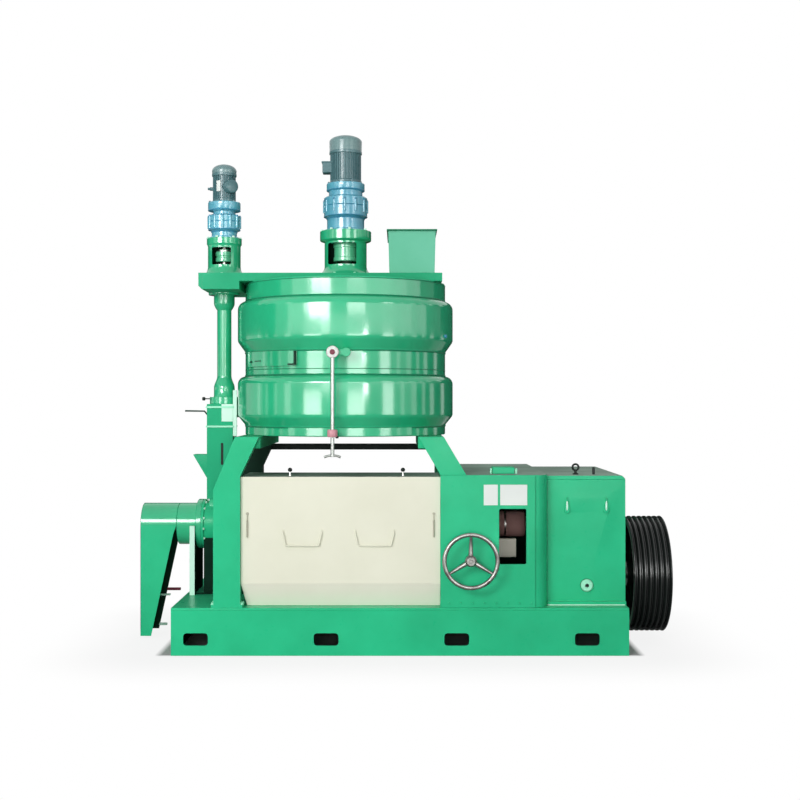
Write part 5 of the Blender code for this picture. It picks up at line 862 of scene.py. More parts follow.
@dataclass
class KettleFrame:
    """Legs and side beams that carry the kettle, and the dark bar between the rear legs."""

    foot_z: float = 0.3403
    rear: float = 0.50
    bolt_x: tuple[float, ...] = (-1.259, -1.063)
    bolt_y: tuple[float, ...] = (-0.71, -0.65, 0.65, 0.71)

    def build(self) -> None:
        """Dresses the legs, darkened behind with painted shade, and bolts their feet down."""
        for node in ("left_frame", "right_frame"):
            tint(worked(node, GREEN, 0.005, 3), BLACKISH_GREEN_AND_SHADE, lambda centre, normal: centre[:, 1] > self.rear)
        worked("rear_tie_bar", DARK, 0.003)
        feet = np.array([(x, y, self.foot_z) for x in self.bolt_x for y in self.bolt_y])
        # The foot bolts are pale: rubbed enamel and a painted highlight.
        fasten("leg_foot_bolts", feet, (0, 0, 1), across=0.018, finish=GREEN_RUBBED_AND_HIGHLIGHT, slot="green_enamel")


@dataclass
class Kettle:
    """Two steam-jacketed pans, one on the other, each with a bulging jacket and a straight neck.

    Attributes:
        neck: radius of the pans' straight parts.
        bulge: radius of the jackets.
        bore: inner radius.
        base: height of the kettle's underside.
        split: height where the pans meet.
        rim: height of the upper pan's top.
        floor: thickness of the lower floor.
        shaft: radius of the hole for the shaft.
        lower_swell: heights where the lower jacket starts, is full, starts to fall and has fallen.
        upper_swell: the same for the upper jacket.
        weld_levels: heights of the jackets' welds.
        outlet: foot and head of the outlet to the feeder.
        door_levels: foot and head of the door.
        door_middle: degrees from the front to the door's middle, to the left.
        hinge: plan of the door's hinge.
        plug_turn: degrees from the front to the test plug, to the right.
        steps: facets in a turn.
    """

    neck: float = 0.724
    bulge: float = 0.779
    bore: float = 0.690
    base: float = 1.4653
    split: float = 1.925
    rim: float = 2.535
    floor: float = 0.030
    shaft: float = KETTLE_SHAFT
    lower_swell: tuple[float, ...] = (1.532, 1.600, 1.826, 1.881)
    upper_swell: tuple[float, ...] = (2.055, 2.132, 2.361, 2.416)
    weld_levels: tuple[float, ...] = (1.526, 1.886, 2.049, 2.421)
    outlet: tuple[float, float] = (1.600, 1.710)
    door_levels: tuple[float, float] = (1.944, 2.048)
    door_middle: float = 44.0
    hinge: Point = (-1.05806, -0.32291, 0.0)
    plug_turn: float = 66.0
    steps: int = 160

    def jacket(self, levels: Sequence[float]) -> list[tuple[float, float]]:
        """Outer profile over one bulge: an eased slope out below, a quarter wave back in above.

        Args:
            levels: heights where the swell starts, is full, starts to fall and has fallen.

        Returns:
            (radius, height) pairs going up.
        """
        start, full, falls, end = levels
        slope = eased([(self.neck, start - 0.03, 0), (self.neck, start, 0), (self.bulge, full, 0),
                       (self.bulge, full + 0.03, 0)], 0.016)[:, :2]
        share = between(0.0, pi / 2, 10)
        fall = np.column_stack([self.neck + (self.bulge - self.neck) * np.cos(share),
                                falls + (end - falls) * np.sin(share)])
        return pairs(*np.vstack([slope, fall]).T)

    def build(self) -> None:
        """Makes both shells, the lid, the door and the small fittings round them."""
        centre = (KETTLE_X, 0.0, 0.0)
        lower = [(self.shaft, self.base), (self.neck - 0.004, self.base), (self.neck, self.base + 0.004)]
        lower += self.jacket(self.lower_swell)
        lower += [(self.neck, self.split - FIT), (self.bore, self.split - FIT), (self.bore, self.base + self.floor),
                  (self.shaft, self.base + self.floor)]
        shell = turned(lower, Axis.Z, centre, self.steps, ring=True).piece("lower_pan")
        cut(shell, box((KETTLE_X - self.bulge - 0.01, -0.08, self.outlet[0]),
                       (KETTLE_X - self.bore + 0.03, 0.08, self.outlet[1])).piece("outlet"))
        dress(shell, GREEN_SHELL, "kettle_lower_shell")

        middle_floor = self.split + 0.015
        upper = [(self.shaft, self.split), (self.neck, self.split)]
        upper += self.jacket(self.upper_swell)
        upper += [(self.neck, self.rim), (self.bore, self.rim), (self.bore, middle_floor), (self.shaft, middle_floor)]
        shell = turned(upper, Axis.Z, centre, self.steps, ring=True).piece("upper_pan")
        gate_x, gate_half = KETTLE_X + 0.250, 0.1
        cut(shell, box((gate_x - gate_half, -gate_half, 1.91), (gate_x + gate_half, gate_half, 1.95)).piece("mid_gate"),
            arc_plate(KETTLE_X, 0.66, 0.74, 1.964, 2.028, self.door_middle, 36.8).piece("door_way"))
        dress(shell, GREEN_SHELL, "kettle_upper_shell")
        self.fittings()

    def fittings(self) -> None:
        """Lid, door with its hinge and latch, the raised foot band, seams and small studs."""
        worked("kettle_lid", GREEN, 0.003)
        low, high = self.door_levels
        leaf = arc_plate(KETTLE_X, self.neck + 0.0013, self.neck + 0.0133, low, high, self.door_middle, 40.0)
        barrel = turned([(0, low), (0.011, low), (0.012, low + 0.002), (0.012, high - 0.002), (0.011, high), (0, high)],
                        Axis.Z, self.hinge, 24)
        door = bevelled((leaf + barrel).piece("door_leaf"), 0.004, 3)
        dress(door, GREEN_SHELL, "kettle_door", body="door")
        # Upright bar and foot of the latch, then the small catch and its pin: how proud, heights, middle, span.
        bars = [arc_plate(KETTLE_X, self.neck + 0.012, self.neck + proud, foot, head, middle, span)
                for proud, foot, head, middle, span in (
                    (0.030, 1.950, 2.046, 24.7, 1.1), (0.024, 1.950, 1.960, 27.0, 4.5),
                    (0.018, 1.980, 1.985, 53.0, 6.0), (0.020, 1.972, 1.984, 60.5, 1.6))]
        dress(joined(bars).piece("door_latch"), BLACKISH_GREEN_AND_SHADE, body="door")
        band = arc_plate(KETTLE_X, self.neck - 0.004, self.neck + 0.0055, 1.470, 1.526, -5.5, 70.8)
        dress(bevelled(band.piece("foot_band"), 0.002), GREEN_SHELL)
        # The shell joints are dark joints; the jacket welds are darkened as painted shade where the bulges shade the
        # neck.
        for name, levels, wire in (("shell_joints", (self.split, self.rim + 0.0015), 0.0032),
                                   ("jacket_weld_painted_shade", self.weld_levels, 0.0060)):
            rings = [wire_ring(self.neck - 0.001, level, wire, Axis.Z, (KETTLE_X, 0, 0), self.steps)
                     for level in levels]
            dress(joined(rings).piece(name), GREEN_SEAM_AND_SHADE)
        stud = turned([(0, -0.004), (0.013, -0.004), (0.013, 0.010), (0.009, 0.014), (0, 0.014)], Axis.Z,
                      (0, 0, 0), 24)
        side = radians(-90.0 + self.plug_turn)
        outward = np.array([cos(side), sin(side), 0.0])
        spot = np.array([KETTLE_X, 0.0, 2.160]) + self.bulge * outward
        dress(scattered(stud, spot[None], outward).piece("shell_test_plug"), BLUE_SHADE)


@dataclass
class Drive:
    """A vertical motor on its reducer, on a windowed stand; built for the kettle and for the feeder.

    Attributes:
        prefix: what the drive's pieces are named for.
        x: place of its axis.
        foot: radius of the stand's foot.
        wall: radius of the stand's wall.
        flange: radius of the stand's flange.
        ring: radius of the reducer's ring.
        body: radius of the reducer's body.
        neck: radius of the reducer's neck.
        motor: radii of the motor's flange, frame and cowl.
        levels: heights of the flange's underside and top, the ring's underside and top, the neck's
            top, the motor's foot, the cowl's foot and the crown.
        window: the stand's window: low, high, left and right of the axis.
        coupling: low, high and radius of the shaft's coupling.
        fins: number of fins on the frame.
        bolts: number of bolts in a ring.
    """

    prefix: str
    x: float
    foot: float
    wall: float
    flange: float
    ring: float
    body: float
    neck: float
    motor: tuple[float, float, float]
    levels: tuple[float, ...]
    window: tuple[float, float, float, float]
    coupling: tuple[float, float, float]
    fins: int = 40
    bolts: int = 8

    def build(self) -> None:
        """Makes the stand, reducer, finned motor, cowl and their bolts."""
        flange_low, flange_top, ring_low, ring_top, neck_top, motor_low, cowl_low, top = self.levels
        centre = (self.x, 0.0, 0.0)
        sheet, base = 0.014, PLATFORM_TOP + FIT
        inner = self.wall - sheet
        shaft = KETTLE_SHAFT if self.prefix == "kettle" else FEEDER_SHAFT
        # The skirt draws in fast at its foot and meets the wall upright.
        share = between(0.0, 1.0, 9)
        skirt = pairs(self.foot + (self.wall - self.foot) * (1 - (1 - share) ** 2.2), base + 0.010 + 0.068 * share)
        stand = turned([(inner, base), (self.foot, base), *skirt, (self.wall, flange_low),
                        (self.flange - 0.004, flange_low + 0.010), (self.flange, flange_low + 0.015),
                        (self.flange, flange_top - 0.003), (self.flange - 0.003, flange_top), (shaft, flange_top),
                        (shaft, flange_top - sheet), (inner, flange_top - sheet)], Axis.Z, centre, 96, ring=True)
        low, high, left, right = self.window
        way = drawn(rounded([(self.x + left, low), (self.x + right, low), (self.x + right, high),
                             (self.x + left, high)], 0.012), Axis.Y, -1.0, 1.0)
        piece = cut(stand.piece(self.prefix + "_stand"), way.piece("window"))
        # A dark sheet inside the stand, behind its window: painted shade.
        shade_sheet = arc_plate(self.x, inner - 0.006, inner - 0.001, low - 0.02, high + 0.02, 180.0, 150.0)
        dress(shade_sheet.piece(self.prefix + "_rear_painted_shade"), PAINTED_SHADE)
        dress(piece, GREEN_SHELL, self.prefix + "_drive_stand")
        # The foot bolts are pale: rubbed enamel and a painted highlight.
        fasten(self.prefix + "_foot_bolts", circle((self.x, 0, base + 0.012), Axis.Z, self.foot - 0.012,
                                                   self.bolts, pi / self.bolts), (0, 0, 1), across=0.016,
               finish=GREEN_RUBBED_AND_HIGHLIGHT, slot="green_enamel")
        self.shaft_coupling(shaft, base, inner)

        seam = (ring_low + ring_top) / 2
        start = flange_top + FIT
        case = [(0, start), (self.body * 1.18, start), (self.body * 1.18, start + 0.008), (self.body, start + 0.016),
                (self.body, ring_low - 0.014), (self.ring, ring_low), (self.ring, seam - 0.004),
                (self.ring - 0.008, seam), (self.ring, seam + 0.004), (self.ring, ring_top - 0.014),
                (self.ring - 0.012, ring_top - 0.004), (self.neck, ring_top), (self.neck, neck_top),
                (self.motor[0] - 0.003, neck_top + 0.004), (self.motor[0], neck_top + 0.010),
                (self.motor[0], motor_low - 0.004), (self.motor[0] - 0.003, motor_low - FIT), (0, motor_low - FIT)]
        dress(turned(case, Axis.Z, centre, 96).piece(self.prefix + "_reducer_case"), BLUE, self.prefix + "_reducer",
              slot="blue_enamel")
        self.reducer_bolts(seam, flange_top, neck_top, motor_low)
        self.build_motor(motor_low, cowl_low, top)

    def shaft_coupling(self, shaft: float, base: float, room: float) -> None:
        """Ringed coupling sleeve on the shaft, and the coned gland where the shaft goes down.

        Args:
            shaft: radius of the shaft.
            base: height of the stand's foot.
            room: inner radius of the stand.
        """
        low, high, radius = self.coupling
        sleeve = [(shaft + 0.002, low), (radius - 0.004, low), (radius, low + 0.004), (radius, low + 0.028),
                  (radius - 0.006, low + 0.032), (radius - 0.006, high - 0.052), (radius, high - 0.048),
                  (radius, high - 0.020), (radius - 0.022, high - 0.014), (radius - 0.026, high),
                  (shaft + 0.002, high)]
        ring = turned(sleeve, Axis.Z, (self.x, 0, 0), 64, ring=True)
        body = "stirrer" if self.prefix == "kettle" else "auger"
        dress(ring.piece(self.prefix + "_shaft_coupling"), COUPLING_GREEN, body=body)
        wide = room * 0.62
        gland = [(shaft + 0.001, base), (wide, base), (wide, base + 0.012), (shaft + 0.012, base + 0.072),
                 (shaft + 0.008, base + 0.080), (shaft + 0.001, base + 0.080)]
        # The gland is pale: rubbed enamel and a painted highlight.
        dress(turned(gland, Axis.Z, (self.x, 0, 0), 64, ring=True).piece(self.prefix + "_shaft_gland"), GREEN_RUBBED_AND_HIGHLIGHT)

    def reducer_bolts(self, seam: float, flange_top: float, neck_top: float, motor_low: float) -> None:
        """Bolts round the reducer's seam, its foot and the motor's flange.

        Args:
            seam: height of the seam.
            flange_top: height of the stand's top.
            neck_top: height of the neck's top.
            motor_low: height of the motor's foot.
        """
        count = 12
        seam_places = circle((self.x, 0, seam - 0.020), Axis.Z, self.ring + 0.001, count)
        outward = seam_places - np.array([self.x, 0.0, seam - 0.020])
        lugs = scattered(turned([(0, -0.028), (0.011, -0.026), (0.011, 0.056), (0, 0.058)], Axis.Z, (0, 0, 0), 12),
                         seam_places - 0.004 * outward / self.ring, (0, 0, 1))
        dress(lugs.piece(self.prefix + "_seam_lugs"), BLUE, slot="blue_enamel")
        fasten(self.prefix + "_seam_bolts", circle((self.x, 0, seam + 0.037), Axis.Z, self.ring - 0.003, count),
               (0, 0, 1), across=0.016, finish=BLUE_SHADE, slot="blue_enamel")
        # Dark rings in the seam's groove, at the motor's flange and under the ring: painted shade lines.
        dark_rings = [wire_ring(self.ring - 0.0075, seam, 0.004, Axis.Z, (self.x, 0, 0), squash=0.875)]
        dark_rings += [wire_ring(radius, level, 0.0045, Axis.Z, (self.x, 0, 0)) for radius, level in (
            (self.motor[0] - 0.003, neck_top + 0.008), (self.ring - 0.002, self.levels[2] - 0.002),
            (self.body + 0.001, self.levels[2] - 0.018))]
        dress(joined(dark_rings).piece(self.prefix + "_seam_painted_shade"), BLUE_SHADE, slot="blue_enamel")
        # The flange bolts are near-white: painted highlights.
        fasten(self.prefix + "_flange_bolts",
               circle((self.x, 0, flange_top), Axis.Z, (self.body * 1.18 + self.flange) / 2, self.bolts, 0.2),
               (0, 0, 1), across=0.018, finish=GREEN_PAINTED_HIGHLIGHT, slot="green_enamel")
        fasten(self.prefix + "_motor_bolts", circle((self.x, 0, motor_low), Axis.Z, self.motor[0] - 0.012,
                                                    self.bolts, 0.3), (0, 0, 1), across=0.014, finish=GREY,
               slot="grey_enamel")

    def build_motor(self, low: float, cowl_low: float, top: float) -> None:
        """Finned frame, fan cowl with its ring grooves, and terminal box.

        Args:
            low: height of the motor's foot.
            cowl_low: height of the cowl's foot.
            top: height of the crown.
        """
        radius, crown = self.motor[1], self.motor[2]
        fin = np.arange(self.fins)[:, None]
        share = np.array([-0.16, -0.12, 0.12, 0.16])
        reach = np.array([radius - 0.008, radius, radius, radius - 0.008])
        angle = (2 * pi * (fin + share) / self.fins).ravel()
        reach = np.tile(reach, self.fins)
        outline = pairs(self.x + reach * np.cos(angle), reach * np.sin(angle))
        fins = drawn(outline, Axis.Z, low + 0.018, cowl_low - 0.004)
        shield = turned([(0, low), (radius - 0.003, low), (radius, low + 0.004), (radius, low + 0.020),
                         (radius - 0.008, low + 0.028), (0, low + 0.028)], Axis.Z, (self.x, 0, 0), 96)
        core = turned([(0, low), (radius - 0.0075, low), (radius - 0.0075, cowl_low), (0, cowl_low)], Axis.Z,
                      (self.x, 0, 0), 96)
        dress((fins + shield + core).piece(self.prefix + "_motor_frame"), GREY, self.prefix + "_motor",
              slot="grey_enamel")
        # The crown is a quarter of an ellipse over the cowl's radius, with a shallow ring groove at every fifth step.
        share = between(0.0, pi / 2, 41)
        sunk = 0.003 * (np.arange(41) % 5 == 3)
        cowl = [(0, cowl_low - 0.004), (crown - 0.002, cowl_low - 0.004),
                *pairs(crown * np.cos(share), top - 0.048 + 0.048 * np.sin(share) - sunk)]
        dress(turned(cowl, Axis.Z, (self.x, 0, 0), 96).piece(self.prefix + "_fan_cowl"), COWL, slot="grey_enamel")
        rim = turned([(radius - 0.004, cowl_low - 0.026), (crown - 0.001, cowl_low - 0.024), (crown, cowl_low - 0.020),
                      (crown, cowl_low - 0.006), (crown - 0.003, cowl_low - 0.003), (radius - 0.004, cowl_low - 0.003)],
                     Axis.Z, (self.x, 0, 0), 96, ring=True)
        dress(rim.piece(self.prefix + "_cowl_rim"), GREY, slot="grey_enamel")
        middle = (low + cowl_low) / 2
        if self.prefix == "kettle":
            reach = radius + 0.054
            shape = box((self.x - reach, -0.050, middle - 0.042), (self.x - radius + 0.03, 0.050, middle + 0.034))
            lid = box((self.x - reach - 0.006, -0.053, middle + 0.028), (self.x - radius + 0.03, 0.053, middle + 0.040))
            piece = bevelled((shape + lid).piece("kettle_terminal_box"), 0.004, 3)
            dress(piece, GREY, slot="grey_enamel")
            return
        facing = np.array([cos(radians(-52.0)), sin(radians(-52.0)), 0.0])
        round_box = turned([(0, 0.05), (0.050, 0.05), (0.050, radius + 0.024), (0.047, radius + 0.030),
                            (0.047, radius + 0.034), (0.038, radius + 0.038), (0, radius + 0.038)], Axis.Z,
                           (0, 0, 0), 48)
        piece = scattered(round_box, np.array([[self.x, 0, middle]]), facing).piece("feeder_terminal_box")
        dress(piece, GREY, slot="grey_enamel")
        gland = turned([(0, radius - 0.01), (0.013, radius - 0.01), (0.013, radius + 0.020), (0.009, radius + 0.024),
                        (0.009, radius + 0.036), (0, radius + 0.036)], Axis.Z, (0, 0, 0), 20)
        dress(scattered(gland, np.array([[self.x, 0, middle - 0.010]]), (-1.0, -0.25, 0)).piece("feeder_cable_gland"),
              GREY, slot="grey_enamel")
        plate = arc_plate(self.x, radius - 0.004, radius + 0.002, middle - 0.034, middle + 0.043, 22.0, 22.0)
        dress(plate.piece("feeder_blank_plate"), WHITE_PLATE, slot="grey_enamel")


@dataclass
class GateRod:
    """Bright rod with a crossbar, the lever it works, and the guide on the kettle's bottom ring.

    Attributes:
        x: place of the rod.
        y: its distance in front.
        radius: its radius.
        eye_z: height of its eye.
        bottom: height of its crossbar.
    """

    x: float = -0.446
    y: float = -0.850
    radius: float = 0.0125
    eye_z: float = 2.030
    bottom: float = 1.337

    def build(self) -> None:
        """Makes the rod with its eye and crossbar, its guide and the lever."""
        eye = 0.042
        stem = turned([(0, self.bottom), (self.radius, self.bottom), (self.radius, self.eye_z - 0.02),
                       (0, self.eye_z - 0.02)], Axis.Z, (self.x, self.y, 0), 24)
        share = between(-1.0, 1.0, 15)
        bar = rod(place(Axis.X, self.y, self.bottom + 0.010 - 0.012 * share ** 2, self.x + 0.055 * share),
                  0.0085 - 0.0015 * (1 - share ** 2))
        disc = turned([(0, -0.014), (eye - 0.003, -0.014), (eye, -0.011), (eye, 0.011), (eye - 0.003, 0.014),
                       (0.016, 0.014), (0.014, 0.010), (0, 0.010)], Axis.Y, (self.x, self.y, self.eye_z), 40)
        dress((stem + bar + disc).piece("gate_pull_rod"), BRIGHT_STEEL, "gate_rod", body="rod", slot="bright_steel")
        stud = turned([(0, -0.0195), (0.014, -0.0195), (0.018, -0.016), (0.018, -0.0135), (0, -0.0135)], Axis.Y,
                      (self.x, self.y, self.eye_z), 32)
        dress(stud.piece("rod_eye_stud"), DARK_RED, body="rod", slot="bright_steel")
        worked("gate_lever", GREEN_SHELL, 0.002)
        guide = turned([(0.0134, 1.468), (0.030, 1.468), (0.034, 1.474), (0.034, 1.512), (0.030, 1.518),
                        (0.0134, 1.518)], Axis.Z, (self.x, self.y, 0), 32, ring=True)
        arm = box((self.x - 0.020, self.y + 0.025, 1.478), (self.x + 0.020, -0.712, 1.508))
        dress(bevelled((guide + arm).piece("rod_guide"), 0.002), PINK_PRIMER)
        nut = scattered(hex_bolt(0.020), np.array([[self.x + 0.030, self.y + 0.010, 1.474]]), (0, 0, -1))
        dress(nut.piece("guide_set_screw", 25.0), DARK)


@dataclass
class Top:
    """Platform plate across the kettle with the seed hopper on it."""

    def build(self) -> None:
        """Dresses the platform and the hopper."""
        worked("platform", GREEN_DULL, 0.005, 3)
        hopper = worked("hopper", GREEN_PALE, 0.0015)
        rim = max(vertex.co.z for vertex in hopper.data.vertices)
        tint(hopper, GREEN_SEAM_AND_SHADE, lambda centre, normal: centre[:, 2] > rim - 0.012)


@dataclass
class Feeder:
    """Vertical force feeder: column under the platform, square casing, its hatch and overflow spout.

    Attributes:
        x: place of the column.
        left: left face of the casing.
        right: its right face.
        half: half its depth.
        top: height of the column's top.
        foot: height of the column's foot.
        panel: foot and head of the painted highlight panel.
        joint: foot and head of the duct's joint strip.
        bands: heights of the casing's bands.
        slot: foot and head of the casing's slot.
        knob: a point on the stop knob's axis.
    """

    x: float = FEEDER_X
    left: float = -1.392
    right: float = -1.205
    half: float = 0.100
    top: float = 2.4897
    foot: float = 1.6843
    panel: tuple[float, float] = (1.558, 1.6835)
    joint: tuple[float, float] = (1.452, 1.785)
    bands: tuple[float, float] = (1.515, 1.655)
    slot: tuple[float, float] = (1.246, 1.404)
    knob: Point = (0.0, -0.02, 1.722)

    def build(self) -> None:
        """Makes the column, and dresses the casing, hatch and their trim."""
        tube, flange, flare, cover, collar = 0.0515, 0.104, 0.075, 0.113, 0.075
        top = self.top
        profile = [(0.036, self.foot), (flange - 0.002, self.foot), (flange, 1.687), (flange, 1.733),
                   (flange - 0.002, 1.735), (flare + 0.004, 1.735), (flare, 1.741), (flare, 1.800)]
        share = between(0.0, 1.0, 12)
        profile += pairs(tube + (flare - tube) * (0.5 + 0.5 * np.cos(pi * share)), 1.800 + 0.088 * share)
        profile += pairs(collar + (tube - collar) * (1 - share) ** 1.6, top - 0.125 + 0.050 * share)
        profile += [(collar, top - 0.015), (cover - 0.002, top - 0.015), (cover, top - 0.012), (cover, top),
                    (FEEDER_SHAFT, top), (FEEDER_SHAFT, top - 0.075), (0.036, top - 0.095)]
        column = turned(profile, Axis.Z, (self.x, 0, 0), 72, ring=True)
        dress(column.piece("column_tube"), GREEN_SHELL, "feeder_column")
        worked("feeder_casing", GREEN_DULL, 0.003)
        worked("feeder_door", BLACKISH_GREEN_AND_SHADE, 0.0015)
        worked("feeder_auger", SHAFT_STEEL, 0.0)
        self.trim()

    def trim(self) -> None:
        """Painted highlight panel on the casing's front, duct joint strip as a painted highlight, bands, slot and stop
        knob.
        """
        face = -self.half
        # The panel and the joint strip are near-white: painted highlights.
        panel = box((-1.286, face - 0.003, self.panel[0]), (self.right + 0.001, face + 0.001, self.panel[1]))
        dress(bevelled(panel.piece("casing_painted_highlight"), 0.001), GREEN_PAINTED_HIGHLIGHT)
        cover = box((self.right + 0.0006, face, self.joint[0]), (self.right + 0.029, face + 0.014, self.joint[1]))
        dress(bevelled(cover.piece("duct_joint_painted_highlight"), 0.002), GREEN_PAINTED_HIGHLIGHT)
        # The bands are pale: rubbed enamel and a painted highlight.
        bands = [box((self.left - 0.0065, face - 0.0075, level), (self.right + 0.0065, face - 0.004, level + 0.014))
                 for level in self.bands]
        dress(bevelled(joined(bands).piece("casing_bands"), 0.001), GREEN_RUBBED_AND_HIGHLIGHT)
        low, high = self.slot
        slot = drawn(rounded([(-1.291, low), (-1.273, low), (-1.273, high), (-1.291, high)], 0.007), Axis.Y,
                     face - 0.0012, face + 0.001)
        dress(slot.piece("casing_slot"), DARK)
        stem = turned([(0, -1.437), (0.0105, -1.437), (0.013, -1.432), (0.013, -1.420), (0.0095, -1.416),
                       (0.004, -1.414), (0.004, -1.382), (0, -1.382)], Axis.X, self.knob, 24)
        dress(stem.piece("column_stop_knob"), DARK)


@dataclass
class FeedEnd:
    """Left end of the press: sheet hood, bearing housing, its stand, and the casing under the feeder.

    Attributes:
        left: the hood's end.
        radius: its outer radius.
        sheet: its sheet's thickness.
        bottom: height of its foot.
        cheek_top: right edge of its cheeks, just under the shaft.
        cheek_foot: the same at the foot.
        right: right edge of its round top.
        tie_lugs: opposite corners of the two lugs.
        tie_bar: opposite corners of the tie bar.
    """

    left: float = -1.860
    radius: float = 0.150
    sheet: float = 0.004
    bottom: float = 0.022
    cheek_top: float = -1.612
    cheek_foot: float = -1.784
    right: float = -1.6033
    tie_lugs: tuple[tuple[Point, Point], ...] = (((-1.776, 0.120, 0.270), (-1.698, 0.147, 0.282)),
                                                 ((-1.780, 0.120, 0.050), (-1.722, 0.147, 0.066)))
    tie_bar: tuple[Point, Point] = ((-1.720, 0.120, 0.308), (-1.622, 0.147, 0.326))

    def build(self) -> None:
        """Makes the hood and the turned casings, and dresses the stand."""
        hood = dress(bevelled(self.hood().piece("end_hood"), 0.0012), GREEN_SHELL, "hood")
        tint(hood, GREEN, lambda centre, normal: centre[:, 2] < WORM_Z - 0.005)
        # The cheeks' inner faces get painted shade.
        near = self.radius - self.sheet * 0.6
        tint(hood, PAINTED_SHADE, lambda centre, normal: (np.abs(centre[:, 1]) < near) & (centre[:, 2] < WORM_Z)
             & (centre[:, 0] > self.left + self.sheet * 0.9))
        # The tie lugs are near-white: painted highlights.
        lugs = joined([box(*corners) for corners in self.tie_lugs])
        dress(bevelled(lugs.piece("hood_tie_lugs"), 0.001), GREEN_PAINTED_HIGHLIGHT)
        dress(bevelled(box(*self.tie_bar).piece("hood_tie_bar"), 0.001), DARK_RED)
        housing = [(0.0923, -1.603), (0.146, -1.603), (0.150, -1.599), (0.150, -1.465), (0.1745, -1.465),
                   (0.1785, -1.461), (0.1785, -1.4283), (0.0513, -1.4283), (0.0513, -1.528), (0.0923, -1.528)]
        dress(turned(housing, Axis.X, (0, 0, WORM_Z), 96, ring=True).piece("bearing_housing"), GREEN_SHELL,
              "feed_end_housing")
        worked("feed_chamber", GREEN, 0.003)
        stand = worked("feed_end_stand", GREEN, 0.004)
        # The stand's front edge gets a painted highlight, and the box behind its plate painted shade.
        tint(stand, GREEN_PAINTED_HIGHLIGHT, lambda centre, normal: (normal[:, 1] < -0.9) & (centre[:, 1] < -0.185))
        tint(stand, PAINTED_SHADE, lambda centre, normal: (centre[:, 0] > -1.466) & (centre[:, 2] > 0.333))
        worked("feed_end_bearing", SHAFT_STEEL, 0.002)
        # The neck bolts are near-white: painted highlights.
        fasten("neck_bolts", circle((-1.408, 0, WORM_Z), Axis.X, 0.1705, 14, 0.13), (1, 0, 0), across=0.014,
               finish=GREEN_PAINTED_HIGHLIGHT, slot="green_enamel")

    def hood(self) -> Surface:
        """Sheet bent over: up the front cheek, half round over the shaft, down the rear cheek.

        The section runs along s; each point is drawn from the left end to a right edge that
        slants in below the shaft. The wall is the section and the same one set in by the sheet.

        Returns:
            The wall and the end sheet.
        """
        turn = between(0.0, pi, 48)
        rise = between(self.bottom, WORM_Z, 14)[:-1]
        y = np.concatenate([-self.radius + 0 * rise, -self.radius * np.cos(turn), self.radius + 0 * rise])
        z = np.concatenate([rise, WORM_Z + self.radius * np.sin(turn), rise[::-1]])
        share = np.clip((z - self.bottom) / (WORM_Z - self.bottom), 0.0, 1.0)
        edge = self.cheek_foot + (self.cheek_top - self.cheek_foot) * share
        edge = np.where(z > WORM_Z - 1e-6, self.right, edge)
        inner = (self.radius - self.sheet) / self.radius
        inner_z = np.where(z > WORM_Z, WORM_Z + (z - WORM_Z) * inner, z)
        start = self.left + 0 * z
        grid = np.stack([np.column_stack([start, y, z]), np.column_stack([edge, y, z]),
                         np.column_stack([edge, y * inner, inner_z]), np.column_stack([start, y * inner, inner_z])],
                        axis=1)
        wall = strip(grid)
        return wall + drawn(pairs(y, z), Axis.X, self.left, self.left + self.sheet)


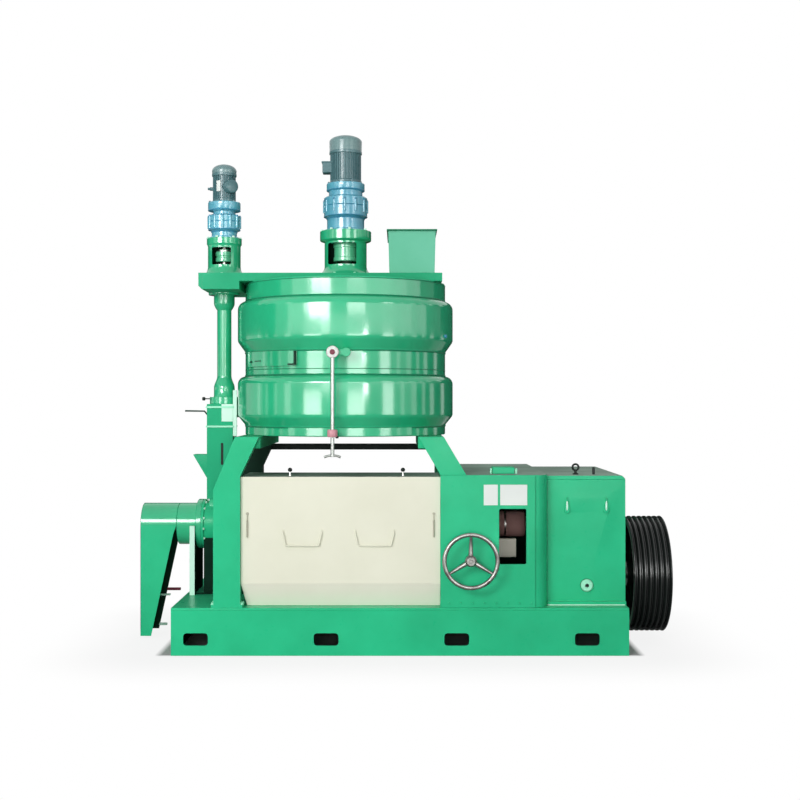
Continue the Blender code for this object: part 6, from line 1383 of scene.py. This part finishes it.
@dataclass
class Covers:
    """Cream sheet covers in front of and behind the drainage cage.

    Attributes:
        left: left edge.
        right: right edge.
        face: distance of the upright face from the middle.
        foot: distance of the sloped foot's end.
        bend: height where the foot starts to slope.
        top: height of the folded top.
        handle_starts: left ends of the handles.
        pin_places: plans of the lifting pins.
        body: the front cover's rigid body.
    """

    left: float = -1.0707
    right: float = 0.2707
    face: float = 0.700
    foot: float = 0.620
    bend: float = 0.480
    top: float = 1.197
    handle_starts: tuple[float, float] = (-0.786, -0.300)
    pin_places: tuple[Point, Point] = ((-0.748, -0.6, 0.0), (0.020, -0.6, 0.0))
    body: str = "front_cover_body"

    def build(self) -> None:
        """Makes the front cover with its handles, latches and ball pins, and dresses the rear one."""
        front = dress(bevelled(self.sheet(), 0.0015), CREAM, "front_cover", body=self.body, slot="cream_enamel")
        rear = worked("rear_cover", CREAM, 0.0)
        for cover in (front, rear):
            # Top faces get painted shade; the sloped foot's down-facing faces get painted light.
            tint(cover, TOP_PAINTED_SHADE, lambda centre, normal: normal[:, 2] > 0.9)
            tint(cover, CREAM_PAINTED_LIGHT_FOOT, lambda centre, normal: (centre[:, 2] < self.bend) & (normal[:, 2] < -0.2))
        bars = [self.handle(start) for start in self.handle_starts]
        dress(joined(bars).piece("cover_handles"), CREAM, body=self.body, slot="cream_enamel")
        for index, x in enumerate((self.left + 0.044, self.right - 0.044)):
            knob = turned([(0, -self.face - 0.014), (0.008, -self.face - 0.014), (0.009, -self.face - 0.010),
                           (0.009, -self.face + 0.001), (0, -self.face + 0.001)], Axis.Y, (x, 0, 0.950), 20)
            hook = rod(place(Axis.Z, x, -self.face - 0.007, between(0.792, 0.905, 12)), 0.0085, 12, 0.7)
            link = rod(place(Axis.Z, x, -self.face - 0.010, between(0.900, 0.948, 8)), 0.0028, 10)
            dress((knob + hook + link).piece(f"cover_latch_{index + 1}"), CREAM_SHADE, body=self.body,
                  slot="cream_enamel")
        self.pins()

    def sheet(self) -> bpy.types.Object:
        """The sheet's section, sloped foot, upright face and folded top, drawn along X, one corner cut.

        Returns:
            The front cover's sheet.
        """
        thick, lip = 0.004, self.face - 0.500
        section = [(self.foot, DECK_Z + FIT), (self.face, self.bend), (self.face, self.top), (lip, self.top),
                   (lip, self.top - thick), (self.face - thick, self.top - thick), (self.face - thick, self.bend),
                   (self.foot - thick, DECK_Z + FIT)]
        piece = drawn([(-y, z) for y, z in section], Axis.X, self.left, self.right).piece("cover_sheet")
        corner = drawn([(self.left - 0.004, DECK_Z - 0.01), (self.left + 0.036, DECK_Z - 0.01), (self.left, self.bend),
                        (self.left - 0.004, self.bend)], Axis.Y, -0.8, -0.5)
        cut(piece, corner.piece("corner"))
        piece.data.set_sharp_from_angle(angle=radians(12.0))
        return piece

    def handle(self, start: float) -> Surface:
        """A round bar bent to a shallow U and welded on at its two upper ends.

        Args:
            start: place of its left end.

        Returns:
            The bar.
        """
        end, low, high = start + 0.260, 0.734, 0.840
        inside, proud = -self.face + 0.002, -self.face - 0.014
        path = eased([(start, inside, high), (start, proud, high - 0.02), (start + 0.02, proud, low),
                      (end - 0.02, proud, low), (end, proud, high - 0.02), (end, inside, high)], 0.010)
        return rod(path, 0.0048, 12)

    def pins(self) -> None:
        """Two lifting pins with ball heads on the folded top."""
        ball = between(-pi / 2, pi / 2, 14)
        head = [(0.015 * cos(turn), 1.238 + 0.015 * sin(turn)) for turn in ball]
        knobs = [turned([(0, 1.2245), *[pair for pair in head if pair[1] > 1.225]], Axis.Z, spot, 24)
                 for spot in self.pin_places]
        dress(joined(knobs).piece("cover_pin_balls"), DARK, body=self.body, slot="cream_enamel")
        shanks = [turned([(0, 1.195), (0.0085, 1.195), (0.0085, 1.206), (0.006, 1.210), (0.006, 1.228), (0, 1.228)],
                         Axis.Z, spot, 24) for spot in self.pin_places]
        dress(joined(shanks).piece("cover_pin_shanks"), BOLT_STEEL, body=self.body, slot="cream_enamel")


@dataclass
class Discharge:
    """Casing round the choke: its window panel, rounded corner, blank plates, cap and the choke inside.

    Attributes:
        front: the panel's face.
        middle: plan of the casing's middle, which its inner faces look at.
        plates: left and right ends of the two blank plates.
        plate_levels: their foot and head.
        breaker: two opposite corners of the block under the shaft.
        sleeve: radius of the coupling sleeve on the worm shaft.
        cap_pins: places of the pins that hold the cap.
    """

    front: float = -0.730
    middle: tuple[float, float] = (0.62, 0.0)
    plates: tuple[tuple[float, float], ...] = ((0.561, 0.655), (0.671, 0.852))
    plate_levels: tuple[float, float] = (1.008, 1.146)
    breaker: tuple[Point, Point] = ((0.5585, -0.166, 0.588), (0.831, -0.122, 0.722))
    sleeve: float = 0.0935
    cap_pins: tuple[Point, Point] = ((0.620, -0.585, 0.0), (0.792, -0.585, 0.0))

    def build(self) -> None:
        """Dresses the casing and panel and puts the plates, bolts, cap pins and cake breaker on."""
        casing = worked("discharge_housing", GREEN, 0.004, 3)
        # Top faces get painted shade.
        tint(casing, TOP_PAINTED_SHADE, lambda centre, normal: (normal[:, 2] > 0.9) & (centre[:, 2] > 1.2))
        # Inner faces, those whose normal leans towards the casing's middle, get painted shade.
        inward = np.array(self.middle)
        tint(casing, PAINTED_SHADE, lambda centre, normal: (((inward - centre[:, :2]) * normal[:, :2]).sum(axis=1) > 0.05)
             & (np.abs(normal[:, 2]) < 0.5))
        worked("discharge_front_panel", GREEN, 0.003, 3)
        worked("inspection_cap", GREEN, 0.003, 3)
        worked("choke_stand", RAW_IRON, 0.004)
        worked("choke_nut_wheel", RAW_IRON, 0.001)
        worked("choke_ring", SHAFT_STEEL, 0.002)
        line = between(0.33, 0.88, 8)
        fasten("panel_foot_bolts", place(Axis.X, self.front, 0.352, line), (0, -1, 0), across=0.011, finish=GREEN,
               slot="green_enamel")
        low, high = self.plate_levels
        for index, (left, right) in enumerate(self.plates):
            plate = box((left, self.front - 0.002, low), (right, self.front + 0.001, high))
            dress(bevelled(plate.piece(f"blank_plate_{index + 1}"), 0.001), WHITE_PLATE)
        dress(bevelled(box(*self.breaker).piece("cake_breaker_block"), 0.006, 3), CAKE_GREY, slot="cast_iron")
        full, bore = self.sleeve, 0.0505
        sleeve = turned([(bore, 0.616), (full - 0.0055, 0.616), (full, 0.622), (full, 0.752), (full - 0.0045, 0.756),
                         (full - 0.0045, 0.764), (full, 0.768), (full, 0.898), (full - 0.0055, 0.904), (bore, 0.904)],
                        Axis.X, (0, 0, WORM_Z), 72, ring=True)
        dress(sleeve.piece("shaft_coupling_sleeve"), RED_BROWN, body="worm", slot="machined_steel")
        edge = 1.2103
        stem = [(0, edge), (0.007, edge), (0.007, edge + 0.034), (0.005, edge + 0.038), (0, edge + 0.038)]
        pins = joined([turned(stem, Axis.Z, spot, 20) for spot in self.cap_pins])
        # The cap pins are pale: rubbed enamel and a painted highlight.
        dress(pins.piece("cap_hold_pins"), GREEN_RUBBED_AND_HIGHLIGHT)


@dataclass
class Handwheel:
    """Three-spoke rim wheel on the spindle that shifts the choke."""

    x: float = 0.469
    y: float = -0.850
    z: float = 0.647
    radius: float = 0.190
    wire: float = 0.0145

    def build(self) -> None:
        """Makes rim, spokes and hub, and dresses the spindle."""
        rim_middle = self.radius - self.wire
        rim = wire_ring(rim_middle, 0.0, self.wire, Axis.Y, (self.x, self.y, self.z), facets=20)
        hub = turned([(0, -0.008), (0.027, -0.008), (0.038, 0.004), (0.038, 0.048), (0, 0.048)], Axis.Y,
                     (self.x, self.y, self.z), 40)
        wheel = rim + hub
        for spoke in range(3):
            angle = pi / 2 + 2 * pi * spoke / 3
            share = between(0.0, 1.0, 16)
            reach = 0.017 + (rim_middle - 0.017) * share
            dish = 0.020 * np.cos(pi / 2 * share ** 1.5)
            path = place(Axis.Y, reach * cos(angle), reach * sin(angle), dish)
            wheel = wheel + rod(path + np.array([self.x, self.y, self.z]), 0.0130 + 0.0035 * np.cos(pi * share), 14)
        boss = turned([(0, -0.020), (0.012, -0.020), (0.014, -0.017), (0.014, -0.007), (0, -0.007)], Axis.Y,
                      (self.x, self.y, self.z), 6)
        dress((wheel + boss).piece("rim_wheel"), WHEEL_STEEL, "handwheel", body="wheel", slot="bright_steel")
        worked("handwheel_spindle", SHAFT_STEEL, 0.001)


@dataclass
class Gearbox:
    """Welded gear case with its lid, eye bolt, breather pin, drain plug, gears and bearings."""

    left: float = 1.0003
    right: float = 1.535
    front: float = -0.590
    rear: float = 0.570
    rim: float = 1.170
    bosses: tuple[float, float] = (1.136, 1.403)
    drain: Point = (1.271, 0.0, 0.452)
    eye: Point = (1.215, -0.45, 0.0)
    breather: Point = (1.340, -0.45, 0.0)

    def build(self) -> None:
        """Makes the lid and its fittings and dresses the case, plug, gears and bearings."""
        worked("gearbox_case", GREEN, 0.005, 3)
        # The bosses get near-white strips down their fronts: painted highlights.
        swell = 0.0085 * np.sqrt(np.sin(between(0.02, pi - 0.02, 14)))
        lit_ridges = [rod(place(Axis.Z, x, self.front - 0.0110, between(0.952, 1.036, 14)), swell, 12)
                  for x in self.bosses]
        dress(joined(lit_ridges).piece("boss_painted_highlights"), GREEN_PAINTED_HIGHLIGHT)
        # A near-black strip in the joint at the case's left: painted shadow in the gap.
        shadow_strip = box((0.9975, self.front - 0.005, 0.346), (1.0025, self.front + 0.001, self.rim))
        dress(shadow_strip.piece("case_joint_painted_shadow"), BLACKISH_GREEN_AND_SHADE)
        # A near-white bead along the case's foot: a painted highlight.
        bead = rod(place(Axis.X, -0.6235, DECK_Z + 0.003, between(self.left, self.right - 0.01, 60)), 0.0035, 8)
        dress(bead.piece("case_foot_painted_highlight"), GREEN_PAINTED_HIGHLIGHT)
        base, top = self.rim + FIT, self.rim + FIT + 0.028
        lid = drawn([(self.left, base), (self.right, base), (self.right, top - 0.022), (self.right - 0.022, top),
                     (self.left, top)], Axis.Y, self.front, self.rear)
        cover = dress(bevelled(lid.piece("case_lid"), 0.003), GREEN, "gearbox_lid")
        # The lid's top gets painted shade.
        tint(cover, TOP_PAINTED_SHADE, lambda centre, normal: normal[:, 2] > 0.6)
        eye = wire_ring(0.021, 0.0, 0.007, Axis.Y, (*self.eye[:2], top + 0.030 + 0.0196), 48, 16)
        stem = turned([(0, top - 0.002), (0.020, top - 0.002), (0.020, top + 0.006), (0.0095, top + 0.012),
                       (0.009, top + 0.031), (0, top + 0.033)], Axis.Z, self.eye, 32)
        dress((eye + stem).piece("lid_eye_bolt"), DARK)
        pin = turned([(0, top - 0.002), (0.009, top - 0.002), (0.009, top + 0.046), (0.007, top + 0.050),
                      (0, top + 0.050)], Axis.Z, self.breather, 24)
        dress(pin.piece("lid_breather_pin"), DARK)
        # The drain plug is pale: rubbed enamel and a painted highlight.
        plug = [(0, -0.600), (0.014, -0.600), (0.014, -0.612), (0.0336, -0.612), (0.040, -0.607), (0.042, -0.603),
                (0.042, -0.5903), (0.022, -0.5903), (0.022, -0.570), (0, -0.570)]
        dress(turned(plug, Axis.Y, self.drain, 40).piece("drain_plug"), GREEN_RUBBED_AND_HIGHLIGHT, "gearbox_drain_plug",
              slot="bright_steel")
        socket = turned([(0, -0.6125), (0.010, -0.6125), (0.012, -0.608), (0.012, -0.599), (0, -0.599)], Axis.Y,
                        self.drain, 24)
        edge = wire_ring(0.0415, -0.5925, 0.003, Axis.Y, self.drain, 40)
        dress((socket + edge).piece("drain_plug_socket"), DARK, slot="bright_steel")
        for node in ("intermediate_gear", "main_gear"):
            worked(node, RAW_IRON, 0.001)
        for node in ("countershaft", "input_shaft", "input_bearing_left", "input_bearing_right",
                     "counter_bearing_left", "counter_bearing_right", "worm_bearing_left", "worm_bearing_right"):
            worked(node, SHAFT_STEEL, 0.001)


@dataclass
class Pulley:
    """Seven-groove belt pulley, blacked: rim, web and hub turned in one piece."""

    left: float = 1.632
    radius: float = 0.415
    grooves: int = 7
    pitch: float = 0.037
    depth: float = 0.027
    edge: float = 0.022

    def build(self) -> None:
        """Turns the grooved rim, web and hub in one profile."""
        right = self.left + (self.grooves - 1) * self.pitch + 2 * self.edge
        rim = self.radius - self.depth - 0.020
        profile = [(self.radius - 0.003, self.left), (self.radius, self.left + 0.003)]
        for count in range(self.grooves):
            middle = self.left + self.edge + count * self.pitch
            profile += [(self.radius - 0.001, middle - 0.0140), (self.radius - 0.003, middle - 0.0125),
                        (self.radius - self.depth, middle - 0.002), (self.radius - self.depth, middle + 0.002),
                        (self.radius - 0.003, middle + 0.0125), (self.radius - 0.001, middle + 0.0140)]
        web = (self.left + right - 0.034) / 2
        profile += [(self.radius, right - 0.003), (self.radius - 0.003, right), (rim + 0.003, right),
                    (rim, right - 0.003), (rim, web + 0.046), (rim - 0.012, web + 0.034), (0.102, web + 0.034),
                    (0.090, web + 0.046), (0.090, right - 0.023), (0.087, right - 0.020), (0.0405, right - 0.020),
                    (0.0405, self.left + 0.010), (0.087, self.left + 0.010), (0.090, self.left + 0.013),
                    (0.090, web - 0.012), (0.102, web), (rim - 0.012, web), (rim, web - 0.012),
                    (rim, self.left + 0.003), (rim + 0.003, self.left)]
        body = turned(profile, Axis.X, (0, 0, INPUT_Z), 160, ring=True)
        dress(body.piece("grooved_pulley", 25.0), BLACK_IRON, "pulley", body="drive", slot="blacked_iron")


@dataclass
class PressLine:
    """What the covers hide: cage, worm, shaft and the kettle's stirrer."""

    def build(self) -> None:
        """Dresses the inner pieces."""
        for node in ("cage_upper", "cage_lower"):
            worked(node, RAW_IRON, 0.002)
        worked("press_worm", WORN_STEEL, 0.001)
        for node in ("worm_shaft", "stirrer_shaft"):
            worked(node, SHAFT_STEEL, 0.001)
        for node in ("upper_sweep", "lower_sweep"):
            worked(node, WORN_STEEL, 0.002)


@dataclass
class Studio:
    """White floor and surround, soft lamps, and the camera square on to the front."""

    camera_y: float = -9.0
    camera_z: float = 1.713
    lens: float = 55.575
    skylight: float = 0.50
    plan: Point = (1.60, 0.70, 0.0)
    # The hall's windows: azimuth in degrees, width for 7 m and glow; each stands in a lower and an upper row.
    hall: tuple[Point, ...] = ((-96.0, 0.5, 1.6), (-84.0, 0.4, 1.6), (-72.0, 0.4, 1.8), (-57.0, 0.9, 3.0),
                               (-31.0, 2.2, 11.0), (13.0, 2.1, 10.0), (45.0, 1.4, 7.5), (61.0, 0.5, 2.0),
                               (75.0, 0.8, 2.4), (88.0, 0.5, 2.0), (101.0, 0.8, 2.0), (122.0, 0.9, 1.4))
    rows: tuple[tuple[float, float], ...] = ((0.8, 2.5), (3.6, 4.8))
    # Windows in front stand far off; past this azimuth they stand inside the dark cloth's radius.
    reaches: tuple[float, float] = (11.0, 7.2)
    cloth_edge: float = 36.0
    cloth: float = 7.5
    # Pale haze between the rows, further haze low on the left and high on the right,
    # the line of light on the hood, and the glint on the pulley: azimuth, width, glow, sill, head.
    haze: tuple[tuple[float, ...], ...] = (
        (-38.0, 4.8, 2.1, 2.5, 3.6), (0.0, 4.8, 2.1, 2.5, 3.6), (38.0, 4.8, 2.1, 2.5, 3.6), (76.0, 4.8, 2.1, 2.5, 3.6),
        (-106.0, 4.2, 0.9, 0.8, 2.5), (106.0, 3.0, 0.3, 2.5, 3.6), (-17.5, 1.1, 5.0, 2.4, 4.8),
        (22.5, 0.6, 34.0, 2.35, 2.85))

    def build(self) -> None:
        """Makes floor, surround, lamps and camera."""
        self.floor()
        self.surround()
        self.lamp("key", (-4.6, -9.4, 4.6), (3.8, 2.6), 530.0)
        self.lamp("fill", (-0.5, -9.5, 1.2), (2.6, 2.2), 210.0).visible_glossy = False
        self.beam((0.745, -2.6, 0.83), (0.745, 0.0, 0.735), 26.0, 8.5)
        self.lamp("back", (1.0, 6.5, 5.0), (4.0, 3.0), 220.0).visible_glossy = False
        for low, high in self.rows:
            for azimuth, width, glow in self.hall:
                self.window(azimuth, width, glow, low, high)
        for panel in self.haze:
            self.window(*panel)
        self.flag()
        scene = bpy.context.scene
        scene.view_settings.view_transform = "Standard"
        eye = bpy.data.cameras.new("front_camera")
        eye.lens, eye.sensor_width = self.lens, 36.0
        holder = bpy.data.objects.new("front_camera", eye)
        holder.location, holder.rotation_euler = (0.0, self.camera_y, self.camera_z), (pi / 2, 0.0, 0.0)
        scene.collection.objects.link(holder)
        scene.camera = holder

    def floor(self) -> None:
        """A wide pale floor that fades into the white surround away from the press."""
        span = between(-30.0, 30.0, 3)
        grid = place(Axis.Z, span[:, None], span[None, :], 0.0 * span[:, None] * span[None, :])
        piece = lattice(grid).piece("studio_floor")
        made = Matte("studio_floor_paint", (0.42, 0.42, 0.42, 1.0), 0.9, 0.1).material()
        tree = made.node_tree
        shader = tree.nodes["Principled BSDF"]
        glow = add(tree, "ShaderNodeEmission", {"Color": (1.0, 1.0, 1.0, 1.0), "Strength": 1.0})
        spot = add(tree, "ShaderNodeTexCoord", {}).outputs["Object"]
        # Distance from the skid's plan, 1.6 by 0.7 m each way from the middle: nothing glows under the deck.
        apart = add(tree, "ShaderNodeVectorMath", {0: spot}, operation="ABSOLUTE").outputs["Vector"]
        past = add(tree, "ShaderNodeVectorMath", {0: apart, 1: self.plan}, operation="SUBTRACT").outputs["Vector"]
        beyond = add(tree, "ShaderNodeVectorMath", {0: past, 1: (0.0, 0.0, 0.0)}, operation="MAXIMUM").outputs["Vector"]
        far = add(tree, "ShaderNodeVectorMath", {0: beyond}, operation="LENGTH").outputs["Value"]
        near = add(tree, "ShaderNodeMapRange", {"Value": far, "From Min": 0.0, "From Max": 0.05,
                                                "To Max": 0.87}).outputs[0]
        wide = add(tree, "ShaderNodeMapRange", {"Value": far, "From Min": 0.1, "From Max": 1.0, "To Max": 0.13},
                   interpolation_type="SMOOTHSTEP").outputs[0]
        fade = add(tree, "ShaderNodeMath", {0: near, 1: wide}, operation="ADD").outputs[0]
        looked_at = add(tree, "ShaderNodeLightPath", {}).outputs["Is Camera Ray"]
        share = add(tree, "ShaderNodeMath", {0: fade, 1: looked_at}, operation="MULTIPLY").outputs[0]
        mixed = add(tree, "ShaderNodeMixShader", {0: share, 1: shader.outputs[0], 2: glow.outputs[0]})
        tree.links.new(mixed.outputs[0], tree.nodes["Material Output"].inputs["Surface"])
        piece.data.materials.append(made)

    def seen(self, tree: bpy.types.NodeTree) -> bpy.types.NodeSocket:
        """1 for rays from the camera, from gloss and through glass, else 0.

        Args:
            tree: the tree it is added to.

        Returns:
            The output that holds it.
        """
        path = add(tree, "ShaderNodeLightPath", {}).outputs
        gloss = add(tree, "ShaderNodeMath", {0: path["Is Camera Ray"], 1: path["Is Glossy Ray"]},
                    operation="MAXIMUM").outputs[0]
        return add(tree, "ShaderNodeMath", {0: gloss, 1: path["Is Transmission Ray"]},
                   operation="MAXIMUM").outputs[0]

    def surround(self) -> None:
        """White where it is seen or reflected, and an even soft light elsewhere."""
        world = bpy.data.worlds.new("studio_surround")
        world.use_nodes = True
        tree = world.node_tree
        ground = tree.nodes["Background"]
        ground.inputs["Color"].default_value = (1.0, 1.0, 1.0, 1.0)
        strength = add(tree, "ShaderNodeMapRange", {"Value": self.seen(tree), "To Min": self.skylight,
                                                    "To Max": 1.0})
        tree.links.new(strength.outputs[0], ground.inputs["Strength"])
        bpy.context.scene.world = world

    def lamp(self, name: str, spot: Point, size: tuple[float, float], power: float,
             aim: Point = (0.0, 0.0, 1.4)) -> bpy.types.Object:
        """A soft oblong lamp at a spot, turned to a point of the press.

        Args:
            name: its name.
            spot: where it hangs.
            size: its width and height.
            power: its power in watts.
            aim: the point it is turned to.

        Returns:
            The lamp's object.
        """
        light = bpy.data.lights.new(name, "AREA")
        light.shape, light.size, light.size_y, light.energy = "RECTANGLE", size[0], size[1], power
        return self.hung(light, spot, aim)

    def hung(self, light: bpy.types.Light, spot: Point, aim: Point) -> bpy.types.Object:
        """Hangs a lamp at a spot, turned to its aim and out of the camera's sight.

        Args:
            light: the lamp's data.
            spot: where it hangs.
            aim: the point it is turned to.

        Returns:
            The lamp's object.
        """
        holder = bpy.data.objects.new(light.name, light)
        holder.location = spot
        holder.rotation_euler = (Vector(aim) - Vector(spot)).to_track_quat("-Z", "Y").to_euler()
        holder.visible_camera = False
        bpy.context.scene.collection.objects.link(holder)
        return holder

    def window(self, azimuth: float, width: float, glow: float, low: float, high: float) -> None:
        """An upright lamp seen only in gloss, as the hall's windows are in the kettle's enamel.

        Args:
            azimuth: degrees from the camera's side of the kettle, to the right.
            width: its width for a distance of 7 m.
            glow: its brightness, with white as 1.
            low: height of its sill.
            high: height of its head.
        """
        reach = self.reaches[0] if abs(azimuth) < self.cloth_edge else self.reaches[1]
        turn, middle = radians(azimuth), (low + high) / 2
        spot = (KETTLE_X + reach * sin(turn), -reach * cos(turn), middle)
        size = (width * reach / 7.0, high - low)
        lamp = self.lamp("window", spot, size, glow * pi * size[0] * size[1], (KETTLE_X, 0.0, middle))
        lamp.visible_diffuse = False

    def beam(self, spot: Point, aim: Point, power: float, spread: float) -> None:
        """A narrow lamp that lights what stands behind the discharge window.

        Args:
            spot: where it hangs.
            aim: the point it is turned to.
            power: its power in watts.
            spread: angle of its cone in degrees.
        """
        light = bpy.data.lights.new("window_beam", "SPOT")
        light.energy, light.spot_size, light.spot_blend, light.shadow_soft_size = power, radians(spread), 0.4, 0.03
        self.hung(light, spot, aim).visible_glossy = False

    def flag(self) -> None:
        """A dark cloth behind and beside the press, seen only in gloss, that keeps its far edges dark."""
        angle = radians(1.0) * between(-18.0, 198.0, 60)[:, None]
        grid = place(Axis.Z, KETTLE_X + self.cloth * np.cos(angle), self.cloth * np.sin(angle),
                     np.array([0.0, 4.6]) + 0 * angle)
        cloth = lattice(grid).piece("black_flag")
        cloth.data.materials.append(Matte("black_flag_cloth", (0.03, 0.04, 0.035, 1.0), 1.0, 0.0).material())
        cloth.visible_camera = cloth.visible_diffuse = cloth.visible_shadow = cloth.visible_transmission = False


KETTLE_DRIVE = Drive(
    prefix="kettle", x=KETTLE_X, foot=0.200, wall=0.153, flange=0.186, ring=0.157, body=0.135, neck=0.122,
    motor=(0.138, 0.113, 0.119), levels=(2.857, 2.937, 3.047, 3.192, 3.228, 3.285, 3.524, 3.637),
    window=(2.690, 2.845, -0.123, 0.083), coupling=(2.719, 2.869, 0.090))
FEEDER_DRIVE = Drive(
    prefix="feeder", x=FEEDER_X, foot=0.148, wall=0.118, flange=0.126, ring=0.115, body=0.091, neck=0.080,
    motor=(0.117, 0.083, 0.089), levels=(2.828, 2.886, 2.952, 3.061, 3.083, 3.149, 3.364, 3.427),
    window=(2.690, 2.815, -0.077, 0.062), coupling=(2.716, 2.808, 0.064), fins=34, bolts=6)


def main() -> None:
    """Builds every sub-assembly in order and logs the nodes left without a finish."""
    parts = (Studio(), Skid(), KettleFrame(), Kettle(), KETTLE_DRIVE, FEEDER_DRIVE, GateRod(), Top(), Feeder(),
             FeedEnd(), Covers(), Discharge(), Handwheel(), Gearbox(), Pulley(), PressLine())
    for part in parts:
        part.build()
        log.info("%s done", type(part).__name__)
    bare = [name for name, solid in NODES.items() if not solid.material_slots]
    log.info("nodes without a finish: %s", bare)


if __name__ == "__main__":
    main()
